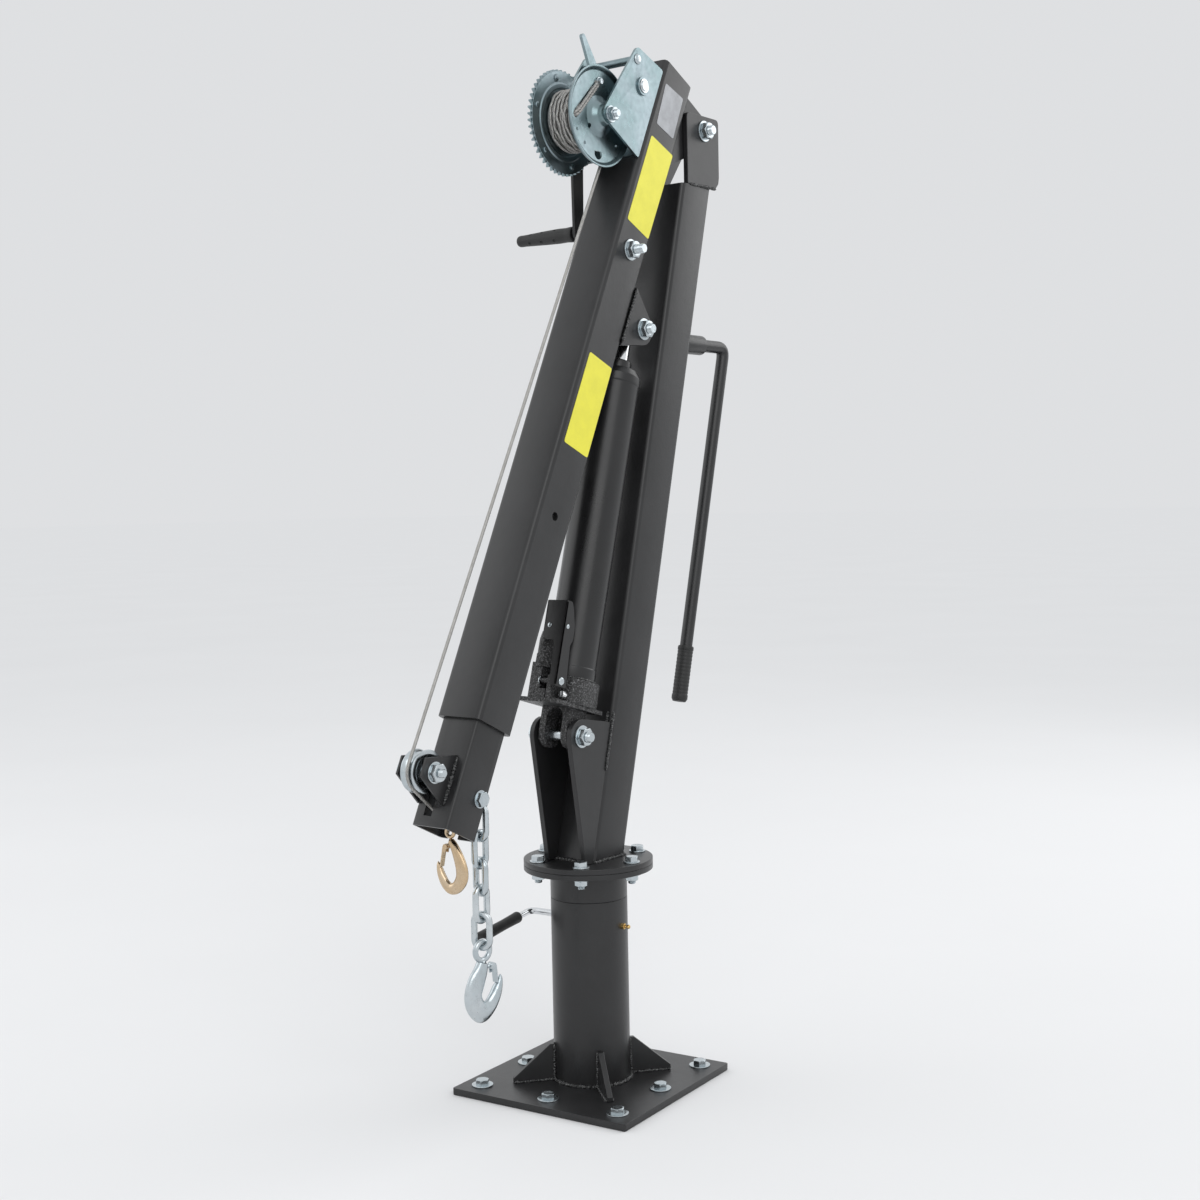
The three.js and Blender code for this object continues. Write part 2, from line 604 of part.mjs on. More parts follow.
// Base plate, column and gussets
function buildBase() {
  let plate = squareTube(BASE_SIDE, 0, BASE_CORNER_RADIUS, 0, 0, BASE_THICKNESS);
  for (const across of [-1, 0, 1]) {
    for (const along of [-1, 0, 1]) {
      if (across !== 0 || along !== 0) {
        const foot = vec(across * BASE_HOLE_REACH, along * BASE_HOLE_REACH, -CUT_OVERRUN);
        const top = foot.clone().setZ(BASE_THICKNESS + CUT_OVERRUN);
        plate = plate.subtract(bar(foot, top, BASE_HOLE_RADIUS, BOLT_SIDES));
      }
    }
  }
  piece(base, 'base_plate', plate, greyPaint);
  const low = BASE_THICKNESS + SEAT_GAP;
  const wall = [[COLUMN_RADIUS, low], [COLUMN_RADIUS, COLUMN_TOP],
    [COLUMN_BORE_RADIUS, COLUMN_TOP], [COLUMN_BORE_RADIUS, low]];
  const screwHole = bar(vec(-COLUMN_RADIUS - CUT_OVERRUN, 0, LOCK_HEIGHT), vec(0, 0, LOCK_HEIGHT),
    LOCK_RADIUS + SEAT_GAP);
  const nippleHole = bar(vec(0, 0, NIPPLE_HEIGHT), vec(COLUMN_RADIUS + CUT_OVERRUN, 0, NIPPLE_HEIGHT),
    NIPPLE_RADIUS / 2 + SEAT_GAP);
  const column = turned(ring(wall), vec(0, 0, 0), vec(0, 0, 1)).subtract(screwHole).subtract(nippleHole);
  piece(base, 'column_tube', column, greyPaint);
  const gusset = new THREE.Shape();
  const start = COLUMN_RADIUS + SEAT_GAP;
  gusset.moveTo(start, low);
  gusset.lineTo(start + GUSSET_LENGTH, low);
  gusset.lineTo(start + GUSSET_LENGTH, low + GUSSET_NOSE);
  gusset.lineTo(start + GUSSET_NOSE, low + GUSSET_HEIGHT);
  gusset.lineTo(start, low + GUSSET_HEIGHT);
  gusset.closePath();
  for (let corner = 0; corner < 4; corner += 1) {
    const solid = slab(gusset, -GUSSET_THICKNESS / 2, GUSSET_THICKNESS / 2);
    const mesh = piece(base, `gusset_${corner + 1}`, solid, greyPaint);
    mesh.rotation.z = Math.PI / 4 + corner * Math.PI / 2;
  }
  const nipple = [[0, -COLUMN_WALL], [NIPPLE_RADIUS / 2, -COLUMN_WALL], [NIPPLE_RADIUS / 2, SEAT_GAP],
    [NIPPLE_RADIUS, SEAT_GAP], [NIPPLE_RADIUS, NIPPLE_LENGTH / 2],
    [NIPPLE_RADIUS / 2, NIPPLE_LENGTH * NIPPLE_NECK_SHARE],
    [NIPPLE_RADIUS * NIPPLE_HEAD_SHARE, NIPPLE_LENGTH], [0, NIPPLE_LENGTH]];
  const nippleSeat = vec(COLUMN_RADIUS, 0, NIPPLE_HEIGHT);
  piece(base, 'grease_nipple', turned(nipple, nippleSeat, vec(1, 0, 0), SMALL_SIDES), brass);
}

// Lock screw: a bent rod whose tip presses on the swivel spigot
function buildLockScrew() {
  const spigotRadius = COLUMN_BORE_RADIUS - RUNNING_GAP;
  const corner = vec(-COLUMN_RADIUS - LOCK_REACH, 0, LOCK_HEIGHT);
  const drop = rad(LOCK_DROP_DEG);
  const direction = vec(0, -Math.cos(drop), -Math.sin(drop));
  const inside = LOCK_HANDLE_LENGTH - LOCK_GRIP_RADIUS;
  const end = corner.clone().addScaledVector(direction, inside);
  const path = bentPath([vec(-spigotRadius - SEAT_GAP, 0, LOCK_HEIGHT), corner, end], LOCK_BEND_RADIUS);
  piece(base, 'lock_screw', sweep(path, LOCK_RADIUS, SMALL_SIDES, SMALL_SIDES / 2), brightSteel);
  const bore = LOCK_RADIUS + SEAT_GAP;
  const gripStart = corner.clone().addScaledVector(direction, LOCK_HANDLE_LENGTH - LOCK_GRIP_LENGTH);
  const depth = inside - (LOCK_HANDLE_LENGTH - LOCK_GRIP_LENGTH) + SEAT_GAP;
  const edge = LOCK_GRIP_RADIUS / 4;
  const profile = [[0, LOCK_GRIP_LENGTH], [LOCK_GRIP_RADIUS - edge, LOCK_GRIP_LENGTH],
    [LOCK_GRIP_RADIUS, LOCK_GRIP_LENGTH - edge], [LOCK_GRIP_RADIUS, edge], [LOCK_GRIP_RADIUS - edge, 0],
    [bore, 0], [bore, depth], [0, depth]];
  piece(base, 'lock_grip', turned(profile, gripStart, direction, SMALL_SIDES), blackRubber);
}

// Swivel collar and mast flange, bolted face to face
function buildSwivel() {
  const spigotRadius = COLUMN_BORE_RADIUS - RUNNING_GAP;
  const collarLow = COLUMN_TOP + SEAT_GAP;
  const flangeLow = FLANGE_LOWER_TOP - FLANGE_THICKNESS;
  const spigotLow = COLUMN_TOP - SPIGOT_LENGTH;
  const profile = [[SPIGOT_BORE_RADIUS, spigotLow], [spigotRadius, spigotLow],
    [spigotRadius, collarLow], [COLUMN_RADIUS, collarLow], [COLUMN_RADIUS, flangeLow],
    [FLANGE_RADIUS, flangeLow], [FLANGE_RADIUS, FLANGE_LOWER_TOP], [SPIGOT_BORE_RADIUS, FLANGE_LOWER_TOP]];
  let collar = turned(ring(profile), vec(0, 0, 0), vec(0, 0, 1));
  const upperLow = vec(0, 0, FLANGE_TOP - FLANGE_THICKNESS);
  let flange = bar(upperLow, vec(0, 0, FLANGE_TOP), FLANGE_RADIUS, ROUND_SIDES);
  for (let index = 0; index < FLANGE_BOLT_COUNT; index += 1) {
    const angle = (index + 0.5) * 2 * Math.PI / FLANGE_BOLT_COUNT + Math.PI / 2;
    const x = FLANGE_BOLT_CIRCLE_RADIUS * Math.cos(angle);
    const y = FLANGE_BOLT_CIRCLE_RADIUS * Math.sin(angle);
    const hole = bar(vec(x, y, flangeLow - CUT_OVERRUN), vec(x, y, FLANGE_TOP + CUT_OVERRUN),
      FLANGE_HOLE_RADIUS, BOLT_SIDES);
    collar = collar.subtract(hole);
    flange = flange.subtract(hole);
  }
  piece(turret, 'swivel_collar', collar, greyPaint);
  piece(turret, 'mast_flange', flange, greyPaint);
}

// The leaning mast, cut level at its foot and its top
const mastSlope = Math.tan(rad(MAST_LEAN_DEG));
const mastHalfDepth = HALF_TUBE / Math.cos(rad(MAST_LEAN_DEG));
const mastFrontY = (z) => MAST_FOOT_Y + (z - FLANGE_TOP) * mastSlope - mastHalfDepth;

function mastBody(side, wall) {
  const length = (MAST_TOP - FLANGE_TOP) / Math.cos(rad(MAST_LEAN_DEG)) + TUBE_SIDE;
  const solid = squareTube(side, wall, TUBE_CORNER_RADIUS, 0, -TUBE_SIDE, length);
  return solid.rotate([-MAST_LEAN_DEG, 0, 0]).translate([0, MAST_FOOT_Y, FLANGE_TOP]);
}

function buildMast() {
  const low = vec(-TUBE_SIDE, -TUBE_SIDE, FLANGE_TOP + SEAT_GAP);
  const high = vec(TUBE_SIDE, PIVOT_Y + TUBE_SIDE, MAST_TOP);
  piece(turret, 'mast_tube', mastBody(TUBE_SIDE, MAST_WALL).intersect(block(low, high)), greyPaint);
  const footZ = FLANGE_TOP + SEAT_GAP;
  const topZ = RAM_FOOT_PIN_Z + RAM_PLATE_NOSE_RADIUS / 2;
  const nose = new THREE.Vector2(RAM_FOOT_PIN_Y, RAM_FOOT_PIN_Z);
  const rearTop = new THREE.Vector2(mastFrontY(topZ) - SEAT_GAP, topZ);
  const rearFoot = new THREE.Vector2(mastFrontY(footZ) - SEAT_GAP, footZ);
  const frontFoot = new THREE.Vector2(rearFoot.x - RAM_PLATE_FOOT_DEPTH, footZ);
  const front = lugShape(nose, RAM_PLATE_NOSE_RADIUS, rearTop, frontFoot);
  const heel = new THREE.Shape([frontFoot, rearFoot, rearTop]);
  const hole = barX(-TUBE_SIDE, TUBE_SIDE, RAM_FOOT_PIN_Y, RAM_FOOT_PIN_Z, PIN_RADIUS + SEAT_GAP);
  for (const [name, x0, x1] of [['right', PLATE_INNER, HALF_TUBE], ['left', -HALF_TUBE, -PLATE_INNER]]) {
    const plate = slab(front, x0, x1).add(slab(heel, x0, x1)).subtract(hole);
    piece(turret, `mast_ram_plate_${name}`, plate, greyPaint);
  }
  const reach = HALF_TUBE + SEAT_GAP;
  const bolt = boltSolid(-reach, reach, RAM_FOOT_PIN_Y, RAM_FOOT_PIN_Z, PIN_RADIUS);
  piece(turret, 'lower_ram_bolt', bolt, zinc);
}

// Two cheeks stand on the mast and hold the boom's pivot bolt
function buildHead() {
  const point = (y, z) => new THREE.Vector2(y, z);
  const front = PIVOT_Y - CHEEK_FRONT_REACH;
  const rear = PIVOT_Y + CHEEK_REAR_REACH;
  const low = MAST_TOP + SEAT_GAP;
  const high = PIVOT_Z + CHEEK_TOP_REACH;
  const right = roundedShape([[point(front, low), CHEEK_CORNER_RADIUS / 4],
    [point(rear, low), CHEEK_HEEL_RADIUS],
    [point(rear, high), CHEEK_CORNER_RADIUS], [point(front, high), CHEEK_CORNER_RADIUS]]);
  const left = roundedShape([[point(front, low), CHEEK_CORNER_RADIUS / 4],
    [point(rear - LEFT_CHEEK_HEEL_RUN, low), CHEEK_CORNER_RADIUS],
    [point(rear, low + LEFT_CHEEK_HEEL_RISE), CHEEK_CORNER_RADIUS],
    [point(rear, high), CHEEK_CORNER_RADIUS], [point(front, high), CHEEK_CORNER_RADIUS]]);
  const hole = barX(-TUBE_SIDE, TUBE_SIDE, PIVOT_Y, PIVOT_Z, PIN_RADIUS + SEAT_GAP);
  piece(turret, 'head_cheek_right', slab(right, PLATE_INNER, HALF_TUBE).subtract(hole), greyPaint);
  piece(turret, 'head_cheek_left', slab(left, -HALF_TUBE, -PLATE_INNER).subtract(hole), greyPaint);
  const bolt = boltSolid(-HALF_TUBE - SEAT_GAP, HALF_TUBE + SEAT_GAP, PIVOT_Y, PIVOT_Z, PIN_RADIUS);
  piece(turret, 'boom_pivot_bolt', bolt, zinc);
}

// A socket behind the mast holds the bent handle that swings the crane round
function buildHandle() {
  const start = vec(0, mastFrontY(HANDLE_Z) + mastHalfDepth, HANDLE_Z);
  const socketEnd = vec(0, HANDLE_SOCKET_END_Y, HANDLE_Z);
  const bore = HANDLE_RADIUS + RUNNING_GAP;
  const socket = bar(start, socketEnd, HANDLE_SOCKET_RADIUS)
    .subtract(bar(start, socketEnd.clone().setY(HANDLE_SOCKET_END_Y + CUT_OVERRUN), bore))
    .subtract(mastBody(TUBE_SIDE + 2 * SEAT_GAP, 0));
  piece(turret, 'handle_socket', socket, greyPaint);
  const corner = vec(0, HANDLE_CORNER_Y, HANDLE_Z);
  const lean = rad(MAST_LEAN_DEG);
  const down = vec(0, -Math.sin(lean), -Math.cos(lean));
  const gripSolidEnd = HANDLE_GRIP_CAP + SEAT_GAP;
  const end = corner.clone().addScaledVector(down, HANDLE_DROP - gripSolidEnd);
  const arm = bar(vec(0, HANDLE_SOCKET_END_Y - HANDLE_INSERT, HANDLE_Z), corner, HANDLE_RADIUS);
  const rod = bar(corner, end, HANDLE_RADIUS);
  const elbow = new THREE.SphereGeometry(HANDLE_RADIUS, SMALL_SIDES, SMALL_SIDES / 2);
  const handle = arm.add(rod).add(solidOf(elbow.translate(corner.x, corner.y, corner.z)));
  piece(turret, 'slewing_handle', handle, greyPaint);
  const edge = HANDLE_GRIP_RADIUS / 4;
  const mouthEdge = (HANDLE_GRIP_RADIUS - bore) / 2;
  const depth = HANDLE_GRIP_LENGTH - HANDLE_GRIP_CAP;
  const profile = [[0, HANDLE_GRIP_LENGTH], [HANDLE_GRIP_RADIUS - edge, HANDLE_GRIP_LENGTH],
    [HANDLE_GRIP_RADIUS, HANDLE_GRIP_LENGTH - edge], [HANDLE_GRIP_RADIUS, mouthEdge],
    [HANDLE_GRIP_RADIUS - mouthEdge, 0], [bore, 0], [bore, depth], [0, depth]];
  const gripStart = corner.clone().addScaledVector(down, HANDLE_DROP - HANDLE_GRIP_LENGTH);
  piece(turret, 'handle_grip', turned(profile, gripStart, down, HANDLE_GRIP_SIDES), blackRubber);
}

// The ram stands on the lower bolt; its length runs along local Z
function buildRam() {
  const hole = barX(-TUBE_SIDE, TUBE_SIDE, 0, 0, PIN_RADIUS + SEAT_GAP);
  const legShape = new THREE.Shape();
  legShape.moveTo(-RAM_LEG_DEPTH, RAM_PLATE_HIGH);
  legShape.lineTo(-RAM_LEG_DEPTH, 0);
  legShape.absarc(0, 0, RAM_LEG_RADIUS, Math.PI, 2 * Math.PI, false);
  legShape.lineTo(RAM_LEG_DEPTH, RAM_PLATE_HIGH);
  legShape.closePath();
  const innerLeg = RAM_LEG_SPREAD - RAM_LEG_THICKNESS;
  let foot = block(vec(-RAM_PLATE_SPREAD, -RAM_PLATE_FRONT, RAM_PLATE_LOW),
    vec(RAM_PLATE_SPREAD, RAM_PLATE_REAR, RAM_PLATE_HIGH));
  for (const side of [-1, 1]) {
    const [near, far] = side > 0 ? [innerLeg, RAM_LEG_SPREAD] : [-RAM_LEG_SPREAD, -innerLeg];
    foot = foot.add(slab(legShape, near, far));
    foot = foot.add(barX(side * innerLeg, side * (PLATE_INNER - SEAT_GAP), 0, 0, RAM_BOSS_RADIUS));
  }
  const archHeight = RAM_PLATE_LOW - innerLeg;
  const arch = bar(vec(0, -RAM_LEG_DEPTH, archHeight), vec(0, RAM_LEG_DEPTH, archHeight), innerLeg);
  const crown = block(vec(-innerLeg, -RAM_LEG_DEPTH, archHeight),
    vec(innerLeg, RAM_LEG_DEPTH, RAM_PLATE_HIGH));
  foot = foot.add(crown.subtract(arch));
  const casting = block(vec(-RAM_CASTING_SPREAD, -RAM_CASTING_SPREAD, RAM_PLATE_HIGH),
    vec(RAM_CASTING_SPREAD, RAM_CASTING_SPREAD, RAM_CASTING_HIGH))
    .intersect(bar(vec(0, 0, RAM_PLATE_HIGH), vec(0, 0, RAM_CASTING_HIGH), RAM_CASTING_CORNER_RADIUS,
      RAM_CASTING_SIDES));
  const pumpBlock = block(vec(PUMP_X - PUMP_BLOCK_SPREAD, PUMP_Y - PUMP_BLOCK_SPREAD / 2, RAM_PLATE_HIGH),
    vec(PUMP_X + PUMP_BLOCK_SPREAD, 0, PUMP_BLOCK_HIGH));
  const leverLug = block(vec(LEVER_X - LEVER_PIN_RADIUS, LEVER_Y - LEVER_PIN_RADIUS, RAM_PLATE_HIGH),
    vec(LEVER_X + LEVER_PIN_RADIUS, 0, LEVER_PIVOT + 2 * LEVER_PIN_RADIUS));
  const cylinderRoom = bar(vec(0, 0, RAM_CASTING_HIGH), vec(0, 0, PUMP_BLOCK_HIGH + CUT_OVERRUN),
    RAM_CYLINDER_RADIUS + SEAT_GAP, ROUND_SIDES);
  const leverHalf = LEVER_FRONT_WIDTH / 2;
  const leverPin = barX(LEVER_X - leverHalf - LEVER_SHEET, LEVER_X + leverHalf + LEVER_SHEET,
    LEVER_Y, LEVER_PIVOT, LEVER_PIN_RADIUS, SMALL_SIDES / 2);
  const valveHole = bar(vec(VALVE_X, -RAM_CASTING_SPREAD - CUT_OVERRUN, VALVE_HEIGHT),
    vec(VALVE_X, -RAM_CASTING_SPREAD + VALVE_LENGTH / 2, VALVE_HEIGHT), VALVE_RADIUS / 2 + SEAT_GAP);
  const clearLow = LEVER_PIVOT - 3 * LEVER_PIN_RADIUS;
  const clear = block(vec(LEVER_X - leverHalf - LEVER_SHEET, LEVER_Y - LEVER_DEPTH, clearLow),
    vec(LEVER_X - LEVER_PIN_RADIUS, -RAM_CASTING_SPREAD - SEAT_GAP, PUMP_BLOCK_HIGH + CUT_OVERRUN));
  foot = foot.add(casting).add(pumpBlock.subtract(clear)).add(leverLug).subtract(cylinderRoom)
    .add(leverPin).subtract(hole).subtract(valveHole);
  const barrelLow = PUMP_BLOCK_HIGH - COLUMN_WALL;
  const barrel = [[0, barrelLow], [PUMP_BARREL_RADIUS, barrelLow],
    [PUMP_BARREL_RADIUS, PUMP_BARREL_HIGH - PUMP_BARREL_RADIUS],
    [PUMP_BARREL_RADIUS * PUMP_CROWN_SHARE, PUMP_BARREL_HIGH],
    [0, PUMP_BARREL_HIGH]];
  foot = foot.add(turned(barrel, vec(PUMP_X, PUMP_Y, 0), vec(0, 0, 1), SMALL_SIDES));
  piece(ram, 'ram_base', foot, castBlack);
  const rodRoom = RAM_ROD_RADIUS + RUNNING_GAP;
  const floor = RAM_CASTING_HIGH + SEAT_GAP;
  const profile = [[0, floor], [RAM_CYLINDER_RADIUS, floor], [RAM_CYLINDER_RADIUS, RAM_CYLINDER_HIGH],
    [RAM_CAP_RADIUS, RAM_CAP_HIGH], [RAM_GLAND_RADIUS, RAM_CAP_HIGH], [RAM_GLAND_RADIUS, RAM_GLAND_HIGH],
    [rodRoom, RAM_GLAND_HIGH], [rodRoom, RAM_GLAND_LOW], [RAM_BORE_RADIUS, RAM_GLAND_LOW],
    [RAM_BORE_RADIUS, floor + COLUMN_WALL], [0, floor + COLUMN_WALL]];
  piece(ram, 'ram_cylinder', turned(profile, vec(0, 0, 0), vec(0, 0, 1)), blackPaint);
  const rodStart = floor + COLUMN_WALL + SEAT_GAP;
  const eye = barX(-PLATE_INNER + SEAT_GAP, PLATE_INNER - SEAT_GAP, 0, RAM_CLOSED_LENGTH, RAM_EYE_RADIUS);
  const rod = bar(vec(0, 0, rodStart), vec(0, 0, RAM_CLOSED_LENGTH), RAM_ROD_RADIUS, ROUND_SIDES);
  piece(ram, 'ram_rod', rod.add(eye), brightSteel);
  buildLever();
  const valve = [[0, -VALVE_LENGTH / 2], [VALVE_RADIUS / 2, -VALVE_LENGTH / 2], [VALVE_RADIUS / 2, SEAT_GAP],
    [VALVE_RADIUS, SEAT_GAP], [VALVE_RADIUS, VALVE_LENGTH / 2], [0, VALVE_LENGTH / 2]];
  const valveSeat = vec(VALVE_X, -RAM_CASTING_SPREAD, VALVE_HEIGHT);
  piece(ram, 'release_valve', turned(valve, valveSeat, vec(0, -1, 0), HEX_SIDES), brightSteel);
}

// The sheet metal socket of the pump lever: a channel that is open at the top and towards the cylinder
function buildLever() {
  const half = LEVER_FRONT_WIDTH / 2;
  const low = LEVER_PIVOT - 2 * LEVER_PIN_RADIUS;
  const front = LEVER_Y - LEVER_DEPTH / 2;
  const rear = LEVER_Y + LEVER_DEPTH / 2;
  const waist = PUMP_BARREL_HIGH;
  const outer = block(vec(LEVER_X - half - LEVER_SHEET, front, low),
    vec(LEVER_X + half + LEVER_SHEET, rear, LEVER_TOP));
  const room = block(vec(LEVER_X - half, front + LEVER_SHEET, low - CUT_OVERRUN),
    vec(LEVER_X + half, rear + CUT_OVERRUN, LEVER_TOP + CUT_OVERRUN));
  const roomLeft = LEVER_X - half - LEVER_SHEET - CUT_OVERRUN;
  const barrelRoom = block(vec(roomLeft, front - CUT_OVERRUN, low - CUT_OVERRUN),
    vec(PUMP_X + PUMP_BARREL_RADIUS + 2 * SEAT_GAP, rear + CUT_OVERRUN, waist + LEVER_SHEET));
  const pinHole = barX(LEVER_X - TUBE_SIDE, LEVER_X + TUBE_SIDE, LEVER_Y, LEVER_PIVOT,
    LEVER_PIN_RADIUS + SEAT_GAP);
  const socket = outer.subtract(room).subtract(barrelRoom).subtract(pinHole);
  piece(ram, 'pump_socket', socket, blackPaint);
}

// Boom tube with its pivot lugs and the plates over the ram's head
function buildBoom() {
  const low = BOOM_HEAD_REACH - BOOM_LENGTH;
  let tube = squareTube(TUBE_SIDE, BOOM_WALL, TUBE_CORNER_RADIUS, -BOOM_MID, low, BOOM_HEAD_REACH);
  for (const down of [LOCK_BOLT_DOWN, LOCK_BOLT_DOWN + LOCK_HOLE_PITCH]) {
    tube = tube.subtract(barX(-TUBE_SIDE, TUBE_SIDE, -BOOM_MID, -down, M12_RADIUS + SEAT_GAP));
  }
  piece(boom, 'boom_tube', tube, greyPaint);
  const rearFace = BOOM_REAR - SEAT_GAP;
  const lug = lugShape(inBoom(0, 0), LUG_NOSE_RADIUS, inBoom(-LUG_FOOT_TOP, rearFace),
    inBoom(LUG_FOOT_LOW, rearFace));
  const inner = LUG_SPREAD - PLATE_THICKNESS;
  const bush = barX(-LUG_SPREAD, LUG_SPREAD, 0, 0, LUG_BUSH_RADIUS);
  const lugs = slab(lug, -LUG_SPREAD, -inner).add(slab(lug, inner, LUG_SPREAD)).add(bush)
    .subtract(barX(-TUBE_SIDE, TUBE_SIDE, 0, 0, PIN_RADIUS + SEAT_GAP));
  piece(boom, 'boom_hinge_lugs', lugs, greyPaint);
  const head = lugShape(inBoom(RAM_HEAD_DOWN, RAM_HEAD_OUT), HEAD_PLATE_NOSE_RADIUS,
    inBoom(HEAD_PLATE_TOP, rearFace), inBoom(HEAD_PLATE_LOW, rearFace));
  const boltHole = barX(-TUBE_SIDE, TUBE_SIDE, -RAM_HEAD_OUT, -RAM_HEAD_DOWN, PIN_RADIUS + SEAT_GAP);
  piece(boom, 'boom_ram_plate_right', slab(head, PLATE_INNER, HALF_TUBE).subtract(boltHole), greyPaint);
  piece(boom, 'boom_ram_plate_left', slab(head, -HALF_TUBE, -PLATE_INNER).subtract(boltHole), greyPaint);
  for (const [name, side] of [['upper_ram_bolt_nut', 1], ['upper_ram_bolt_head', -1]]) {
    const end = boltEnd(side, PLATE_INNER + SEAT_GAP, HALF_TUBE + SEAT_GAP, -RAM_HEAD_OUT, -RAM_HEAD_DOWN,
      PIN_RADIUS);
    piece(boom, name, end, zinc);
  }
  const boltFace = HALF_TUBE + SEAT_GAP;
  const lockBolt = boltSolid(-boltFace, boltFace, -BOOM_MID, -LOCK_BOLT_DOWN, M12_RADIUS)
    .add(barX(HALF_TUBE, HALF_TUBE + 4 * M12_RADIUS, -BOOM_MID, -LOCK_BOLT_DOWN, M12_RADIUS,
      BOLT_SIDES));
  piece(boom, 'extension_lock_bolt', lockBolt, zinc);
}

// Winch: frame, drum with its wheel and rope, crankshaft with pinion and ratchet, pawl and crank
const pinionBearing = rad(PINION_BEARING_DEG);
const PINION_DOWN = DRUM_DOWN - GEAR_CENTRES * Math.cos(pinionBearing);
const PINION_OUT = DRUM_CENTRE_OUT - GEAR_CENTRES * Math.sin(pinionBearing);

function winchSide(x0, x1) {
  const corners = [[inBoom(WINCH_TOP_DOWN, WINCH_FLOOR), WINCH_SHEET],
    [inBoom(WINCH_TOP_DOWN + WINCH_HIGH_CORNER_DOWN, WINCH_FLOOR + WINCH_HIGH_CORNER_OUT),
      WINCH_CORNER_RADIUS],
    [inBoom(WINCH_LOW_DOWN - WINCH_LOW_CORNER_RISE, WINCH_FLOOR + WINCH_LOW_CORNER_OUT), WINCH_CORNER_RADIUS],
    [inBoom(WINCH_LOW_DOWN, WINCH_FLOOR), WINCH_SHEET]];
  return slab(roundedShape(corners), x0, x1);
}

function buildWinchFrame() {
  const shaftRoom = CRANKSHAFT_RADIUS + RUNNING_GAP;
  const floor = block(vec(WINCH_LEFT, -WINCH_FLOOR - WINCH_SHEET, -WINCH_LOW_DOWN + WINCH_SHEET),
    vec(WINCH_RIGHT, -WINCH_FLOOR, -WINCH_TOP_DOWN - WINCH_SHEET));
  const bushAt = (from, to) => barX(from, to, -PINION_OUT, -PINION_DOWN, CRANKSHAFT_BUSH_RADIUS);
  const frame = floor.add(winchSide(WINCH_LEFT, WINCH_LEFT_INNER))
    .add(winchSide(WINCH_RIGHT_INNER, WINCH_RIGHT))
    .add(bushAt(WINCH_RIGHT, WINCH_RIGHT + CRANKSHAFT_BUSH_HEIGHT))
    .add(bushAt(WINCH_LEFT - CRANKSHAFT_BUSH_HEIGHT, WINCH_LEFT))
    .add(barX(WINCH_LEFT - TIE_ROD_RADIUS / 2, WINCH_RIGHT + TIE_ROD_RADIUS / 2, -WINCH_FLOOR - TIE_ROD_OUT,
      -TIE_ROD_DOWN, TIE_ROD_RADIUS))
    .subtract(barX(WINCH_LEFT - TUBE_SIDE, TUBE_SIDE, -PINION_OUT, -PINION_DOWN, shaftRoom))
    .subtract(barX(WINCH_LEFT - TUBE_SIDE, TUBE_SIDE, -DRUM_CENTRE_OUT, -DRUM_DOWN, M12_RADIUS + SEAT_GAP));
  piece(boom, 'winch_frame', frame, zinc);
  const bolt = boltSolid(WINCH_LEFT - SEAT_GAP, WINCH_RIGHT + SEAT_GAP,
    -DRUM_CENTRE_OUT, -DRUM_DOWN, M12_RADIUS);
  piece(boom, 'drum_bolt', bolt, zinc);
}

